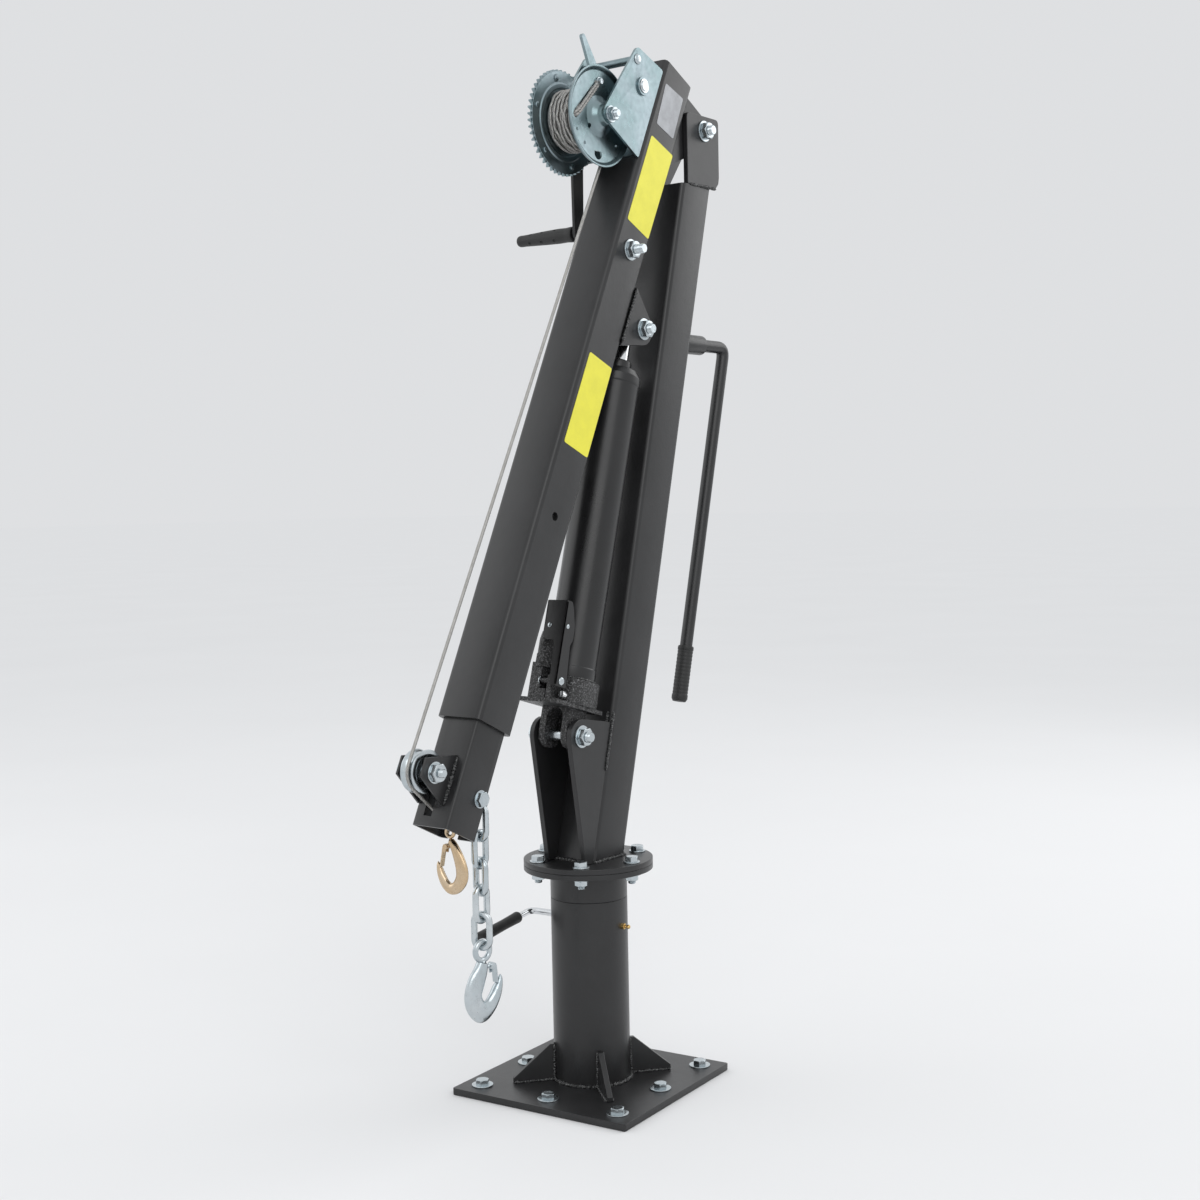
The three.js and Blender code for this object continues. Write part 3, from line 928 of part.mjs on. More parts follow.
// Drum with its wheel, and the crankshaft with pinion and ratchet wheel
function buildDrum() {
  const centre = vec(0, -DRUM_CENTRE_OUT, -DRUM_DOWN);
  const bore = M12_RADIUS + RUNNING_GAP;
  const left = WINCH_LEFT_INNER + SEAT_GAP;
  const right = WINCH_RIGHT_INNER - SEAT_GAP;
  const coreLeft = GEAR_RIGHT_X + SEAT_GAP;
  const face = DRUM_FLANGE_X;
  const rim = DRUM_FLANGE_RADIUS - DRUM_FLANGE_LIP / 2;
  const profile = [[bore, left], [DRUM_HUB_RADIUS, left], [DRUM_HUB_RADIUS, coreLeft],
    [DRUM_CORE_RADIUS, coreLeft], [DRUM_CORE_RADIUS, face], [rim, face],
    [DRUM_FLANGE_RADIUS, face + DRUM_FLANGE_LIP],
    [DRUM_FLANGE_RADIUS - DRUM_FLANGE_SHEET, face + DRUM_FLANGE_LIP],
    [rim - DRUM_FLANGE_SHEET, face + DRUM_FLANGE_SHEET], [DRUM_HUB_RADIUS, face + DRUM_FLANGE_SHEET],
    [DRUM_HUB_RADIUS, right], [bore, right]];
  piece(boom, 'drum', turned(ring(profile), centre, vec(1, 0, 0)), zinc);
  const towardPinion = Math.atan2(DRUM_DOWN - PINION_DOWN, DRUM_CENTRE_OUT - PINION_OUT);
  const gearShape = toothedShape(GEAR_TEETH, towardPinion);
  const gear = slab(gearShape, GEAR_RIGHT_X - GEAR_THICKNESS, GEAR_RIGHT_X)
    .subtract(barX(WINCH_LEFT, WINCH_RIGHT, 0, 0, DRUM_HUB_RADIUS + SEAT_GAP));
  piece(boom, 'drum_gear', gear.translate([0, -DRUM_CENTRE_OUT, -DRUM_DOWN]), zinc);
  const pinionShape = toothedShape(PINION_TEETH, towardPinion + Math.PI + Math.PI / PINION_TEETH);
  const pinionLeft = WINCH_LEFT_INNER + SEAT_GAP;
  const crankOuter = CRANK_X - CRANK_THICKNESS - SEAT_GAP;
  const ratchet = ratchetShape(RATCHET_TEETH, RATCHET_RADIUS, RATCHET_ROOT_RADIUS);
  const shaft = slab(pinionShape, pinionLeft, RATCHET_LEFT)
    .add(slab(ratchet, RATCHET_LEFT, RATCHET_LEFT + RATCHET_THICKNESS))
    .add(barX(crankOuter - CRANKSHAFT_RADIUS, WINCH_RIGHT + 2 * CRANKSHAFT_BUSH_HEIGHT,
      0, 0, CRANKSHAFT_RADIUS))
    .add(barX(crankOuter - CRANKSHAFT_RADIUS, crankOuter, 0, 0, CRANKSHAFT_NUT_RADIUS, HEX_SIDES));
  piece(boom, 'crankshaft', shaft.translate([0, -PINION_OUT, -PINION_DOWN]), zinc);
}

// Where the rope leaves the drum on the boom's side and meets the pulley on its outer side
const PULLEY_CENTRE_OUT = EXTENSION_FRONT + PULLEY_OUT;
const PULLEY_TRACK_RADIUS = PULLEY_GROOVE_RADIUS + ROPE_RADIUS + SEAT_GAP;
const ropeRun = PULLEY_DOWN - DRUM_DOWN;
const ropeRise = PULLEY_CENTRE_OUT - DRUM_CENTRE_OUT;
const ropeSlope = Math.atan2(ropeRise, ropeRun)
  + Math.asin((ROPE_TRACK_RADIUS + PULLEY_TRACK_RADIUS) / Math.hypot(ropeRun, ropeRise));
const WINDING_END_X = DRUM_FLANGE_X - ROPE_RADIUS - SEAT_GAP;

// The skin over a row of sections, closed on itself or capped at both ends
function skinGeometry(rings, closed) {
  const sides = rings[0].length;
  const positions = rings.flat().flatMap((point) => [point.x, point.y, point.z]);
  const indices = [];
  const rows = closed ? rings.length : rings.length - 1;
  for (let row = 0; row < rows; row += 1) {
    const nextRow = (row + 1) % rings.length;
    for (let side = 0; side < sides; side += 1) {
      const next = (side + 1) % sides;
      const near = row * sides;
      const far = nextRow * sides;
      indices.push(near + side, near + next, far + next);
      indices.push(near + side, far + next, far + side);
    }
  }
  const last = (rings.length - 1) * sides;
  for (let side = 1; !closed && side < sides - 1; side += 1) {
    indices.push(0, side + 1, side);
    indices.push(last, last + side, last + side + 1);
  }
  const geometry = new THREE.BufferGeometry();
  geometry.setAttribute('position', new THREE.Float32BufferAttribute(positions, 3));
  geometry.setIndex(indices);
  return geometry;
}

// The outer layer of rope: one tube wound round the drum's core, with a straight run at each end
function windingRings() {
  const steps = Math.round(WINDING_LOOPS * WINDING_STEPS_PER_LOOP);
  const radialAt = (angle) => vec(0, Math.cos(angle), Math.sin(angle));
  const angleAt = (turns) => (WINDING_LOOPS - turns) * 2 * Math.PI - ropeSlope;
  const axisAt = (turns) => vec(WINDING_END_X - (WINDING_LOOPS - turns) * WINDING_PITCH, -DRUM_CENTRE_OUT,
    -DRUM_DOWN);
  const pointAt = (turns) => axisAt(turns).addScaledVector(radialAt(angleAt(turns)), ROPE_TRACK_RADIUS);
  const tangentAt = (turns) => {
    const angle = angleAt(turns);
    return vec(0, Math.sin(angle), -Math.cos(angle)).multiplyScalar(2 * Math.PI * ROPE_TRACK_RADIUS)
      .add(vec(WINDING_PITCH, 0, 0)).normalize();
  };
  const section = (point, tangent, radial) => {
    const across = tangent.clone().cross(radial).normalize();
    const outward = across.clone().cross(tangent).normalize();
    return sectionPoints(point, across, ROPE_RADIUS, outward, ROPE_RADIUS, ROPE_SIDES);
  };
  const rings = [];
  const startTangent = tangentAt(0);
  const startPoint = pointAt(0).addScaledVector(startTangent, -2 * ROPE_RADIUS);
  rings.push(section(startPoint, startTangent, radialAt(angleAt(0))));
  for (let step = 0; step <= steps; step += 1) {
    const turns = WINDING_LOOPS * step / steps;
    rings.push(section(pointAt(turns), tangentAt(turns), radialAt(angleAt(turns))));
  }
  const end = pointAt(WINDING_LOOPS);
  const pulleyPoint = vec(PULLEY_X, -PULLEY_CENTRE_OUT, -PULLEY_DOWN)
    .addScaledVector(radialAt(Math.PI - ropeSlope), PULLEY_TRACK_RADIUS);
  const leaving = pulleyPoint.sub(end).normalize();
  rings.push(section(end.clone().addScaledVector(leaving, 2 * ROPE_RADIUS), leaving, radialAt(-ropeSlope)));
  return { rings, end, leaving };
}

// The least gap between neighbouring loops, measured on the points of the sections
function leastGap(rings) {
  let least = Infinity;
  const nearest = Math.round(WINDING_STEPS_PER_LOOP / 2);
  for (let row = 0; row < rings.length; row += 1) {
    const last = Math.min(rings.length, row + 2 * WINDING_STEPS_PER_LOOP);
    for (let other = row + nearest; other < last; other += 1) {
      for (const point of rings[row]) {
        for (const across of rings[other]) {
          least = Math.min(least, point.distanceTo(across));
        }
      }
    }
  }
  return least;
}

// The pawl rides on the tie rod, its nose on the ratchet wheel and its lever out of the frame
function buildPawl() {
  const x0 = RATCHET_LEFT;
  const x1 = RATCHET_LEFT + RATCHET_THICKNESS;
  const hub = inBoom(TIE_ROD_DOWN, WINCH_FLOOR + TIE_ROD_OUT);
  const wheel = inBoom(PINION_DOWN, PINION_OUT);
  const nose = hub.clone().sub(wheel).setLength(RATCHET_RADIUS + 3 * SEAT_GAP + PAWL_TIP_RADIUS)
    .rotateAround(new THREE.Vector2(0, 0), rad(PAWL_NOSE_TURN_DEG)).add(wheel);
  const tip = inBoom(TIE_ROD_DOWN - PAWL_TIP_RISE, WINCH_FLOOR + TIE_ROD_OUT + PAWL_TIP_OUT);
  const arm = (end) => {
    const side = end.clone().sub(hub).normalize();
    const across = new THREE.Vector2(-side.y, side.x).multiplyScalar(PAWL_ARM_HALF);
    const outline = lugShape(end, PAWL_TIP_RADIUS, hub.clone().sub(across), hub.clone().add(across));
    return slab(outline, x0, x1, CORNER_STEPS * 2);
  };
  const pawl = barX(x0, x1, hub.x, hub.y, PAWL_HUB_RADIUS).add(arm(nose)).add(arm(tip))
    .subtract(barX(x0 - CUT_OVERRUN, x1 + CUT_OVERRUN, hub.x, hub.y, TIE_ROD_RADIUS + SEAT_GAP));
  piece(boom, 'pawl', pawl, zinc);
}

// The crank hangs plumb from the crankshaft at rest, with a grip that turns on its pin
function buildCrank() {
  const crank = new THREE.Group();
  crank.position.set(0, -PINION_OUT, -PINION_DOWN);
  crank.rotation.x = boomRest;
  boom.add(crank);
  const left = CRANK_X - CRANK_THICKNESS;
  const end = new THREE.Vector2(0, -CRANK_LENGTH);
  const hubEdge = new THREE.Vector2(CRANK_HUB_RADIUS, 0);
  const shape = lugShape(end, CRANK_END_RADIUS, hubEdge.clone().negate(), hubEdge);
  const pinEnd = left - CRANK_GRIP_STANDOFF - CRANK_GRIP_LENGTH + CRANK_GRIP_RADIUS;
  const armSolid = slab(shape, left, CRANK_X).add(barX(left, CRANK_X, 0, 0, CRANK_HUB_RADIUS))
    .subtract(barX(left - CUT_OVERRUN, CRANK_X + CUT_OVERRUN, 0, 0, CRANKSHAFT_RADIUS + SEAT_GAP))
    .add(barX(left - CRANK_GRIP_STANDOFF, left, 0, -CRANK_LENGTH, 2 * CRANK_PIN_RADIUS))
    .add(barX(pinEnd, left, 0, -CRANK_LENGTH, CRANK_PIN_RADIUS));
  piece(crank, 'crank_arm', armSolid, blackPaint);
  const bore = CRANK_PIN_RADIUS + RUNNING_GAP;
  const edge = CRANK_GRIP_END_RADIUS / 3;
  const depth = CRANK_GRIP_LENGTH - CRANK_GRIP_RADIUS + 2 * SEAT_GAP;
  const profile = [[0, CRANK_GRIP_LENGTH], [CRANK_GRIP_END_RADIUS - edge, CRANK_GRIP_LENGTH],
    [CRANK_GRIP_END_RADIUS, CRANK_GRIP_LENGTH - edge], [CRANK_GRIP_RADIUS, CRANK_GRIP_LENGTH / 3],
    [CRANK_GRIP_RADIUS, edge], [CRANK_GRIP_RADIUS - edge, 0], [bore, 0],
    [bore, depth], [0, depth]];
  const gripStart = vec(left - CRANK_GRIP_STANDOFF - SEAT_GAP, 0, -CRANK_LENGTH);
  piece(crank, 'crank_grip', turned(profile, gripStart, vec(-1, 0, 0), SMALL_SIDES), blackRubber);
}

// Extension tube, tip pulley and the bolt of the chain
const CHAIN_BOLT_LINE = EXTENSION_REAR + CHAIN_BOLT_OUT;

function buildExtension() {
  const endStart = HOOK_SLOT_TOP - EXTENSION_END_LEAD;
  const tube = squareTube(EXTENSION_SIDE, EXTENSION_WALL, EXTENSION_CORNER_RADIUS, -BOOM_MID,
    SEAT_GAP - endStart, -EXTENSION_START);
  let end = squareTube(EXTENSION_SIDE, EXTENSION_WALL, EXTENSION_CORNER_RADIUS, -BOOM_MID,
    -EXTENSION_END_DOWN, -endStart);
  const boltRoom = M12_RADIUS + SEAT_GAP;
  const notch = block(vec(-TUBE_SIDE, -BOOM_MID - boltRoom, -LOCK_BOLT_DOWN),
    vec(TUBE_SIDE, -BOOM_MID + boltRoom, -EXTENSION_START + CUT_OVERRUN));
  const notchEnd = barX(-TUBE_SIDE, TUBE_SIDE, -BOOM_MID, -LOCK_BOLT_DOWN, boltRoom);
  const ropeSlot = block(vec(PULLEY_X - ROPE_SLOT_HALF_WIDTH, -EXTENSION_FRONT - CUT_OVERRUN, -ROPE_SLOT_LOW),
    vec(PULLEY_X + ROPE_SLOT_HALF_WIDTH, -EXTENSION_FRONT + 2 * EXTENSION_WALL, -ROPE_SLOT_TOP));
  const rearIn = -EXTENSION_REAR - 2 * EXTENSION_WALL;
  const rearOut = -EXTENSION_REAR + CUT_OVERRUN;
  const hookSlot = block(vec(PULLEY_X - HOOK_SLOT_HALF_WIDTH, rearIn, -EXTENSION_END_DOWN - CUT_OVERRUN),
    vec(PULLEY_X + HOOK_SLOT_HALF_WIDTH, rearOut, -HOOK_SLOT_TOP));
  const linkRoom = CHAIN_WIRE_RADIUS + 2 * SEAT_GAP;
  const chainSlot = block(vec(CHAIN_X - linkRoom, rearIn, -CHAIN_SLOT_LOW),
    vec(CHAIN_X + linkRoom, rearOut, -CHAIN_SLOT_TOP));
  const chainHole = barX(-TUBE_SIDE, TUBE_SIDE, -CHAIN_BOLT_LINE, -CHAIN_BOLT_DOWN,
    CHAIN_BOLT_RADIUS + SEAT_GAP);
  for (const cut of [ropeSlot, hookSlot, chainSlot, chainHole]) {
    end = end.subtract(cut);
  }
  piece(extension, 'extension_tube', tube.subtract(notch).subtract(notchEnd), greyPaint);
  piece(extension, 'extension_end', end, greyPaint);
  buildPulley();
  const outside = HALF_EXTENSION + SEAT_GAP;
  const head = outside + CHAIN_BOLT_HEAD_HEIGHT;
  const chainBolt = barX(-head - CHAIN_BOLT_RADIUS, head,
    -CHAIN_BOLT_LINE, -CHAIN_BOLT_DOWN, CHAIN_BOLT_RADIUS)
    .add(barX(outside, head, -CHAIN_BOLT_LINE, -CHAIN_BOLT_DOWN, CHAIN_BOLT_HEAD_RADIUS, HEX_SIDES))
    .add(barX(-head, -outside, -CHAIN_BOLT_LINE, -CHAIN_BOLT_DOWN, CHAIN_BOLT_HEAD_RADIUS, HEX_SIDES));
  piece(extension, 'chain_bolt', chainBolt, zinc);
}

// The rope's pulley on its bolt between two cheeks
function buildPulley() {
  const foot = EXTENSION_FRONT + SEAT_GAP;
  const tip = EXTENSION_FRONT + PULLEY_CHEEK_TIP_OUT;
  const cheek = new THREE.Shape([inBoom(PULLEY_DOWN - PULLEY_CHEEK_HALF_BASE, foot),
    inBoom(PULLEY_DOWN - PULLEY_CHEEK_HALF_TIP, tip), inBoom(PULLEY_DOWN + PULLEY_CHEEK_HALF_TIP, tip),
    inBoom(PULLEY_DOWN + PULLEY_CHEEK_HALF_BASE, foot)]);
  const boltHole = barX(-TUBE_SIDE, TUBE_SIDE, -PULLEY_CENTRE_OUT, -PULLEY_DOWN, M12_RADIUS + SEAT_GAP);
  const right = PULLEY_X + PULLEY_CHEEK_SPREAD;
  const left = PULLEY_X - PULLEY_CHEEK_SPREAD;
  const rightCheek = slab(cheek, right, right + PULLEY_CHEEK_THICKNESS).subtract(boltHole);
  const leftCheek = slab(cheek, left - PULLEY_CHEEK_THICKNESS, left).subtract(boltHole);
  piece(extension, 'pulley_cheek_right', rightCheek, greyPaint);
  piece(extension, 'pulley_cheek_left', leftCheek, greyPaint);
  const bolt = boltSolid(left - PULLEY_CHEEK_THICKNESS - SEAT_GAP, right + PULLEY_CHEEK_THICKNESS + SEAT_GAP,
    -PULLEY_CENTRE_OUT, -PULLEY_DOWN, M12_RADIUS);
  piece(extension, 'pulley_bolt', bolt, zinc);
  const half = PULLEY_WIDTH / 2;
  const hubHalf = PULLEY_CHEEK_SPREAD - SEAT_GAP;
  const hub = 2 * M12_RADIUS;
  const bore = M12_RADIUS + RUNNING_GAP;
  const rim = PULLEY_RADIUS;
  const groove = PULLEY_GROOVE_RADIUS;
  const flat = half - ROPE_RADIUS;
  const profile = [[bore, -hubHalf], [hub, -hubHalf], [hub, -half], [rim, -half], [rim, -flat],
    [groove, -ROPE_RADIUS],
    [groove, ROPE_RADIUS], [rim, flat], [rim, half], [hub, half], [hub, hubHalf], [bore, hubHalf]];
  const pulley = turned(ring(profile), vec(PULLEY_X, -PULLEY_CENTRE_OUT, -PULLEY_DOWN), vec(1, 0, 0));
  piece(extension, 'tip_pulley', pulley, zinc);
}

// A point of the boom's frame carried to the crane's frame, at rest
function restPoint(x, down, out) {
  return vec(x, -out, -down).applyEuler(boom.rotation).add(boom.position);
}

// A round section: points on an ellipse spanned by two directions
function sectionPoints(middle, first, firstHalf, second, secondHalf, sides) {
  return Array.from({ length: sides }, (unused, side) => {
    const angle = side * 2 * Math.PI / sides;
    return middle.clone().addScaledVector(first, firstHalf * Math.cos(angle))
      .addScaledVector(second, secondHalf * Math.sin(angle));
  });
}

// One chain link: a loop of wire in the plane of local X and Z
function linkSolid() {
  const bend = (CHAIN_LINK_WIDTH - 2 * CHAIN_WIRE_RADIUS) / 2;
  const halfRun = CHAIN_LINK_INNER / 2 + CHAIN_WIRE_RADIUS - bend;
  const perEnd = LINK_STEPS / 2;
  const rings = [];
  for (let step = 0; step < LINK_STEPS; step += 1) {
    const upper = step < perEnd;
    const along = (step % perEnd) / (perEnd - 1);
    const angle = along * Math.PI + (upper ? 0 : Math.PI);
    const outward = vec(Math.cos(angle), 0, Math.sin(angle));
    const middle = outward.clone().multiplyScalar(bend).add(vec(0, 0, upper ? halfRun : -halfRun));
    rings.push(sectionPoints(middle, outward, CHAIN_WIRE_RADIUS, vec(0, 1, 0),
      CHAIN_WIRE_RADIUS, LINK_SIDES));
  }
  return solidOf(skinGeometry(rings, true));
}

// Link 1 sticks out behind the tube on its bolt, and the others and the hook hang plumb from it
function buildChain() {
  const halfLoop = CHAIN_LINK_INNER / 2 + CHAIN_WIRE_RADIUS;
  const bend = (CHAIN_LINK_WIDTH - 2 * CHAIN_WIRE_RADIUS) / 2;
  const firstOut = CHAIN_BOLT_LINE + CHAIN_BOLT_RADIUS + SEAT_GAP + CHAIN_WIRE_RADIUS - halfLoop;
  const first = piece(extension, 'chain_link_1', linkSolid(), zinc);
  first.position.set(CHAIN_X, -firstOut, -CHAIN_BOLT_DOWN);
  first.rotation.set(-Math.PI / 2, 0, rad(CHAIN_YAWS_DEG[0]));
  const hang = restPoint(CHAIN_X, CHAIN_BOLT_DOWN, firstOut - halfLoop + bend);
  let wire = hang.z - bend + 2 * CHAIN_WIRE_RADIUS + SEAT_GAP;
  for (let index = 1; index < CHAIN_YAWS_DEG.length; index += 1) {
    const link = piece(turret, `chain_link_${index + 1}`, linkSolid(), zinc);
    link.position.set(hang.x, hang.y, wire - halfLoop);
    link.rotation.z = rad(CHAIN_YAWS_DEG[index]);
    wire += 2 * (CHAIN_WIRE_RADIUS - halfLoop) + SEAT_GAP;
  }
  const eyeHeight = wire - CHAIN_WIRE_RADIUS + CHAIN_HOOK.eyeWire - CHAIN_HOOK.eyeRadius;
  placeHook('chain_hook', CHAIN_HOOK, vec(hang.x, hang.y, eyeHeight), CHAIN_HOOK_YAW_DEG, zinc);
}

// A forged hook in the plane of local X and Z, opening to +X, its eye round the local origin
function hookSolid(hook) {
  const spine = hook.shares.map(([across, down, half]) => vec(across, down, half).multiplyScalar(hook.reach));
  const curve = new THREE.CatmullRomCurve3(spine);
  const rings = [];
  for (let step = 0; step <= HOOK_STEPS; step += 1) {
    const point = curve.getPoint(step / HOOK_STEPS);
    const tangent = curve.getTangent(step / HOOK_STEPS);
    const inward = vec(tangent.y, 0, tangent.x).normalize();
    const middle = vec(point.x, 0, -point.y);
    const deep = Math.min(point.z, hook.thickness / 2);
    rings.push(sectionPoints(middle, inward, point.z, vec(0, 1, 0), deep, HOOK_SIDES));
  }
  const eye = Array.from({ length: RING_STEPS }, (unused, step) => {
    const angle = step * 2 * Math.PI / RING_STEPS;
    const outward = vec(Math.cos(angle), 0, Math.sin(angle));
    const middle = outward.clone().multiplyScalar(hook.eyeRadius);
    return sectionPoints(middle, outward, hook.eyeWire, vec(0, 1, 0), hook.eyeWire, LINK_SIDES);
  });
  const { across, down, radius, width } = hook.hinge;
  const ear = bar(vec(across, -width / 2, -down), vec(across, width / 2, -down), radius, SMALL_SIDES / 2);
  const web = block(vec(0, -width / 2, -down - radius), vec(across, width / 2, -down + radius));
  const pinHole = bar(vec(across, -hook.reach, -down), vec(across, hook.reach, -down),
    radius / 2 + SEAT_GAP, HOOK_SIDES);
  return solidOf(skinGeometry(rings, false)).add(solidOf(skinGeometry(eye, true))).add(ear).add(web)
    .subtract(pinHole);
}

// The latch: two ears and a pin on the hook's own ear, and a tongue that ends inside the hook's tip
function latchSolid(hook) {
  const { across, down, radius, width } = hook.hinge;
  const inner = width / 2 + SEAT_GAP;
  const outer = inner + hook.latchSheet;
  const start = vec(across, 0, -down);
  const end = vec(hook.latchEnd.across, 0, -hook.latchEnd.down);
  const along = end.clone().sub(start).normalize();
  const sideways = vec(0, -1, 0);
  const out = sideways.clone().cross(along);
  const length = start.distanceTo(end);
  const boxAlong = (from, to, low, high, side0, side1) => {
    const geometry = new THREE.BoxGeometry(high - low, side1 - side0, to - from);
    geometry.translate((low + high) / 2, (side0 + side1) / 2, (from + to) / 2);
    const basis = new THREE.Matrix4().makeBasis(out, sideways, along).setPosition(start);
    return solidOf(geometry.applyMatrix4(basis));
  };
  const clear = radius + SEAT_GAP;
  let latch = boxAlong(clear, length, radius - hook.latchSheet, radius, -outer, outer)
    .add(bar(vec(across, -outer, -down), vec(across, outer, -down), radius / 2, HOOK_SIDES));
  for (const side of [-1, 1]) {
    const [low, high] = side > 0 ? [inner, outer] : [-outer, -inner];
    latch = latch.add(bar(vec(across, low, -down), vec(across, high, -down), radius, SMALL_SIDES / 2))
      .add(boxAlong(0, clear + radius, -radius / 2, radius, low, high));
  }
  return latch;
}

function placeHook(name, size, at, yaw, material) {
  const holder = new THREE.Group();
  holder.position.copy(at);
  holder.rotation.z = rad(yaw);
  turret.add(holder);
  piece(holder, name, hookSolid(size), material);
  piece(holder, `${name}_latch`, latchSolid(size), material);
}

// The free rope: off the drum, round the tip pulley and to the top of its hook's eye
function buildRope(winding) {
  const start = winding.end.clone().addScaledVector(winding.leaving, ROPE_START_ROOM);
  const centre = vec(PULLEY_X, -PULLEY_CENTRE_OUT, -PULLEY_DOWN);
  const eye = vec(PULLEY_X, -EXTENSION_REAR - HOOK_EYE_OUT, -HOOK_EYE_DOWN);
  const toEye = eye.clone().sub(centre);
  const onAngle = Math.PI - ropeSlope;
  const eyeAngle = Math.atan2(toEye.z, toEye.y);
  const offAngle = eyeAngle - Math.acos(PULLEY_TRACK_RADIUS / toEye.length()) + 2 * Math.PI;
  const onPulley = (angle) => vec(0, Math.cos(angle), Math.sin(angle)).multiplyScalar(PULLEY_TRACK_RADIUS)
    .add(centre);
  const points = [start];
  const freeRun = onPulley(onAngle).sub(start);
  for (let step = 1; step < ROPE_FREE_STEPS; step += 1) {
    points.push(start.clone().addScaledVector(freeRun, step / ROPE_FREE_STEPS));
  }
  for (let step = 0; step <= ROPE_WRAP_STEPS; step += 1) {
    points.push(onPulley(onAngle + (offAngle - onAngle) * step / ROPE_WRAP_STEPS));
  }
  const last = points[points.length - 1];
  const arriving = eye.clone().sub(last).normalize();
  points.push(eye.clone().addScaledVector(arriving, -ROPE_HOOK.eyeWire - 2 * SEAT_GAP));
  piece(boom, 'winch_rope', solidOf(skinGeometry(ropeRings(points), false)), ropeWire);
  const eyeAt = restPoint(PULLEY_X, HOOK_EYE_DOWN, EXTENSION_REAR + HOOK_EYE_OUT);
  eyeAt.z -= ROPE_HOOK.eyeRadius;
  placeHook('rope_hook', ROPE_HOOK, eyeAt, ROPE_HOOK_YAW_DEG, yellowZinc);
}

// Sections square to a line of points, the first and last square to their own run
function ropeRings(points) {
  return points.map((point, index) => {
    const before = points[Math.max(index - 1, 0)];
    const after = points[Math.min(index + 1, points.length - 1)];
    const tangent = after.clone().sub(before).normalize();
    const side = vec(1, 0, 0).addScaledVector(tangent, -tangent.x).normalize();
    const up = side.clone().cross(tangent);
    return sectionPoints(point, side, ROPE_RADIUS, up, ROPE_RADIUS, FREE_ROPE_SIDES);
  });
}

buildBase();
buildLockScrew();
buildSwivel();
buildMast();
buildHead();
buildHandle();
buildRam();
buildBoom();
buildWinchFrame();
buildDrum();
const winding = windingRings();
console.log(`rope winding: least gap to itself ${leastGap(winding.rings).toFixed(2)} mm`);
piece(boom, 'rope_winding', solidOf(skinGeometry(winding.rings, false)), ropeWire);
buildPawl();
buildCrank();
buildExtension();
buildChain();
buildRope(winding);

export default crane;
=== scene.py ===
"""Looks of a deck-mounted swing crane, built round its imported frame.

Lengths are millimetres, but for the stage's floor and lamps, which are in metres. Every mesh is
written in metres.
"""

import json
import logging
import math
from dataclasses import dataclass, field
from enum import Enum

import bmesh
import bpy
import numpy as np
from mathutils import Matrix, Vector


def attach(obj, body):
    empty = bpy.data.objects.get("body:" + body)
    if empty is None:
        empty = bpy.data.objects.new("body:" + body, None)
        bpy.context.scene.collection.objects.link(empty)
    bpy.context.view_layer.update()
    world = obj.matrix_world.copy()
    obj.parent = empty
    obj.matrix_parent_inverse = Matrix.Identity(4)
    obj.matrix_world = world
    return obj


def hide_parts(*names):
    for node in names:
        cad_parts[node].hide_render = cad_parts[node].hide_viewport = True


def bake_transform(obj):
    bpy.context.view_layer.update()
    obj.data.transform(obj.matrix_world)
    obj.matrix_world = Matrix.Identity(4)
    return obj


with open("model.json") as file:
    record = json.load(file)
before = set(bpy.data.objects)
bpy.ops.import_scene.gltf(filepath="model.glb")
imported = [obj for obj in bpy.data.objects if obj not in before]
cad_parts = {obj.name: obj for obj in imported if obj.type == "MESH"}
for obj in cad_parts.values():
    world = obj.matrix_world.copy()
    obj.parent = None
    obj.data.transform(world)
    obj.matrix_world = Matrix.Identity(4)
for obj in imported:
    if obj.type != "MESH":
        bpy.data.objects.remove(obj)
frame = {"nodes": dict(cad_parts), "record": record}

MM = 0.001
LOG = logging.getLogger("crane")
X_AXIS = np.array((1.0, 0.0, 0.0))
Y_AXIS = np.array((0.0, 1.0, 0.0))
Z_AXIS = np.array((0.0, 0.0, 1.0))
SMOOTH_DEG = 38.0
BASE_TURN_DEG = 4.4
MAST_FOOT = (0.0, 1.7, 342.2)
MAST_LEAN_DEG = 14.5
RAM_PIN = (0.0, -60.0, 532.0)
RAM_LEAN_DEG = 16.132
BOOM_PIVOT = (0.0, 285.0, 1446.0)
BOOM_LEAN_DEG = 26.2
Rows = np.ndarray


class Finish(Enum):
    """The finishes of the crane; a value is the record's material slot, or a scene-only name."""

    GREY_PAINT = "grey_paint"
    BLACK_PAINT = "black_paint"
    CAST_BLACK = "cast_black"
    ZINC = "zinc"
    YELLOW_ZINC = "yellow_zinc"
    BRIGHT_STEEL = "bright_steel"
    BLACK_GRIP = "black_grip"
    ROPE_WIRE = "rope_wire"
    BRASS = "brass"
    YELLOW_PANEL = "yellow_panel"
    SILVER_PLATE = "silver_plate"
    WELD = "weld"
    BLUE_ZINC = "blue_zinc"


# Arrays and frames


def unit(vectors: Rows) -> Rows:
    """Vectors divided by their own length."""
    return vectors / np.maximum(np.linalg.norm(vectors, axis=-1, keepdims=True), 1e-9)


@dataclass(frozen=True)
class Placing:
    """A place in the crane's frame: an origin and three unit directions, the rows of a matrix."""

    origin: Rows
    turn: Rows

    def at(self, *place: float) -> Rows:
        """A local point in the crane's frame."""
        return self.origin + np.array(place, float) @ self.turn

    def carry(self, points: Rows) -> Rows:
        """Local points in the crane's frame."""
        return self.origin + points @ self.turn

    def way(self, *direction: float) -> Rows:
        """A local direction in the crane's frame."""
        return np.array(direction, float) @ self.turn


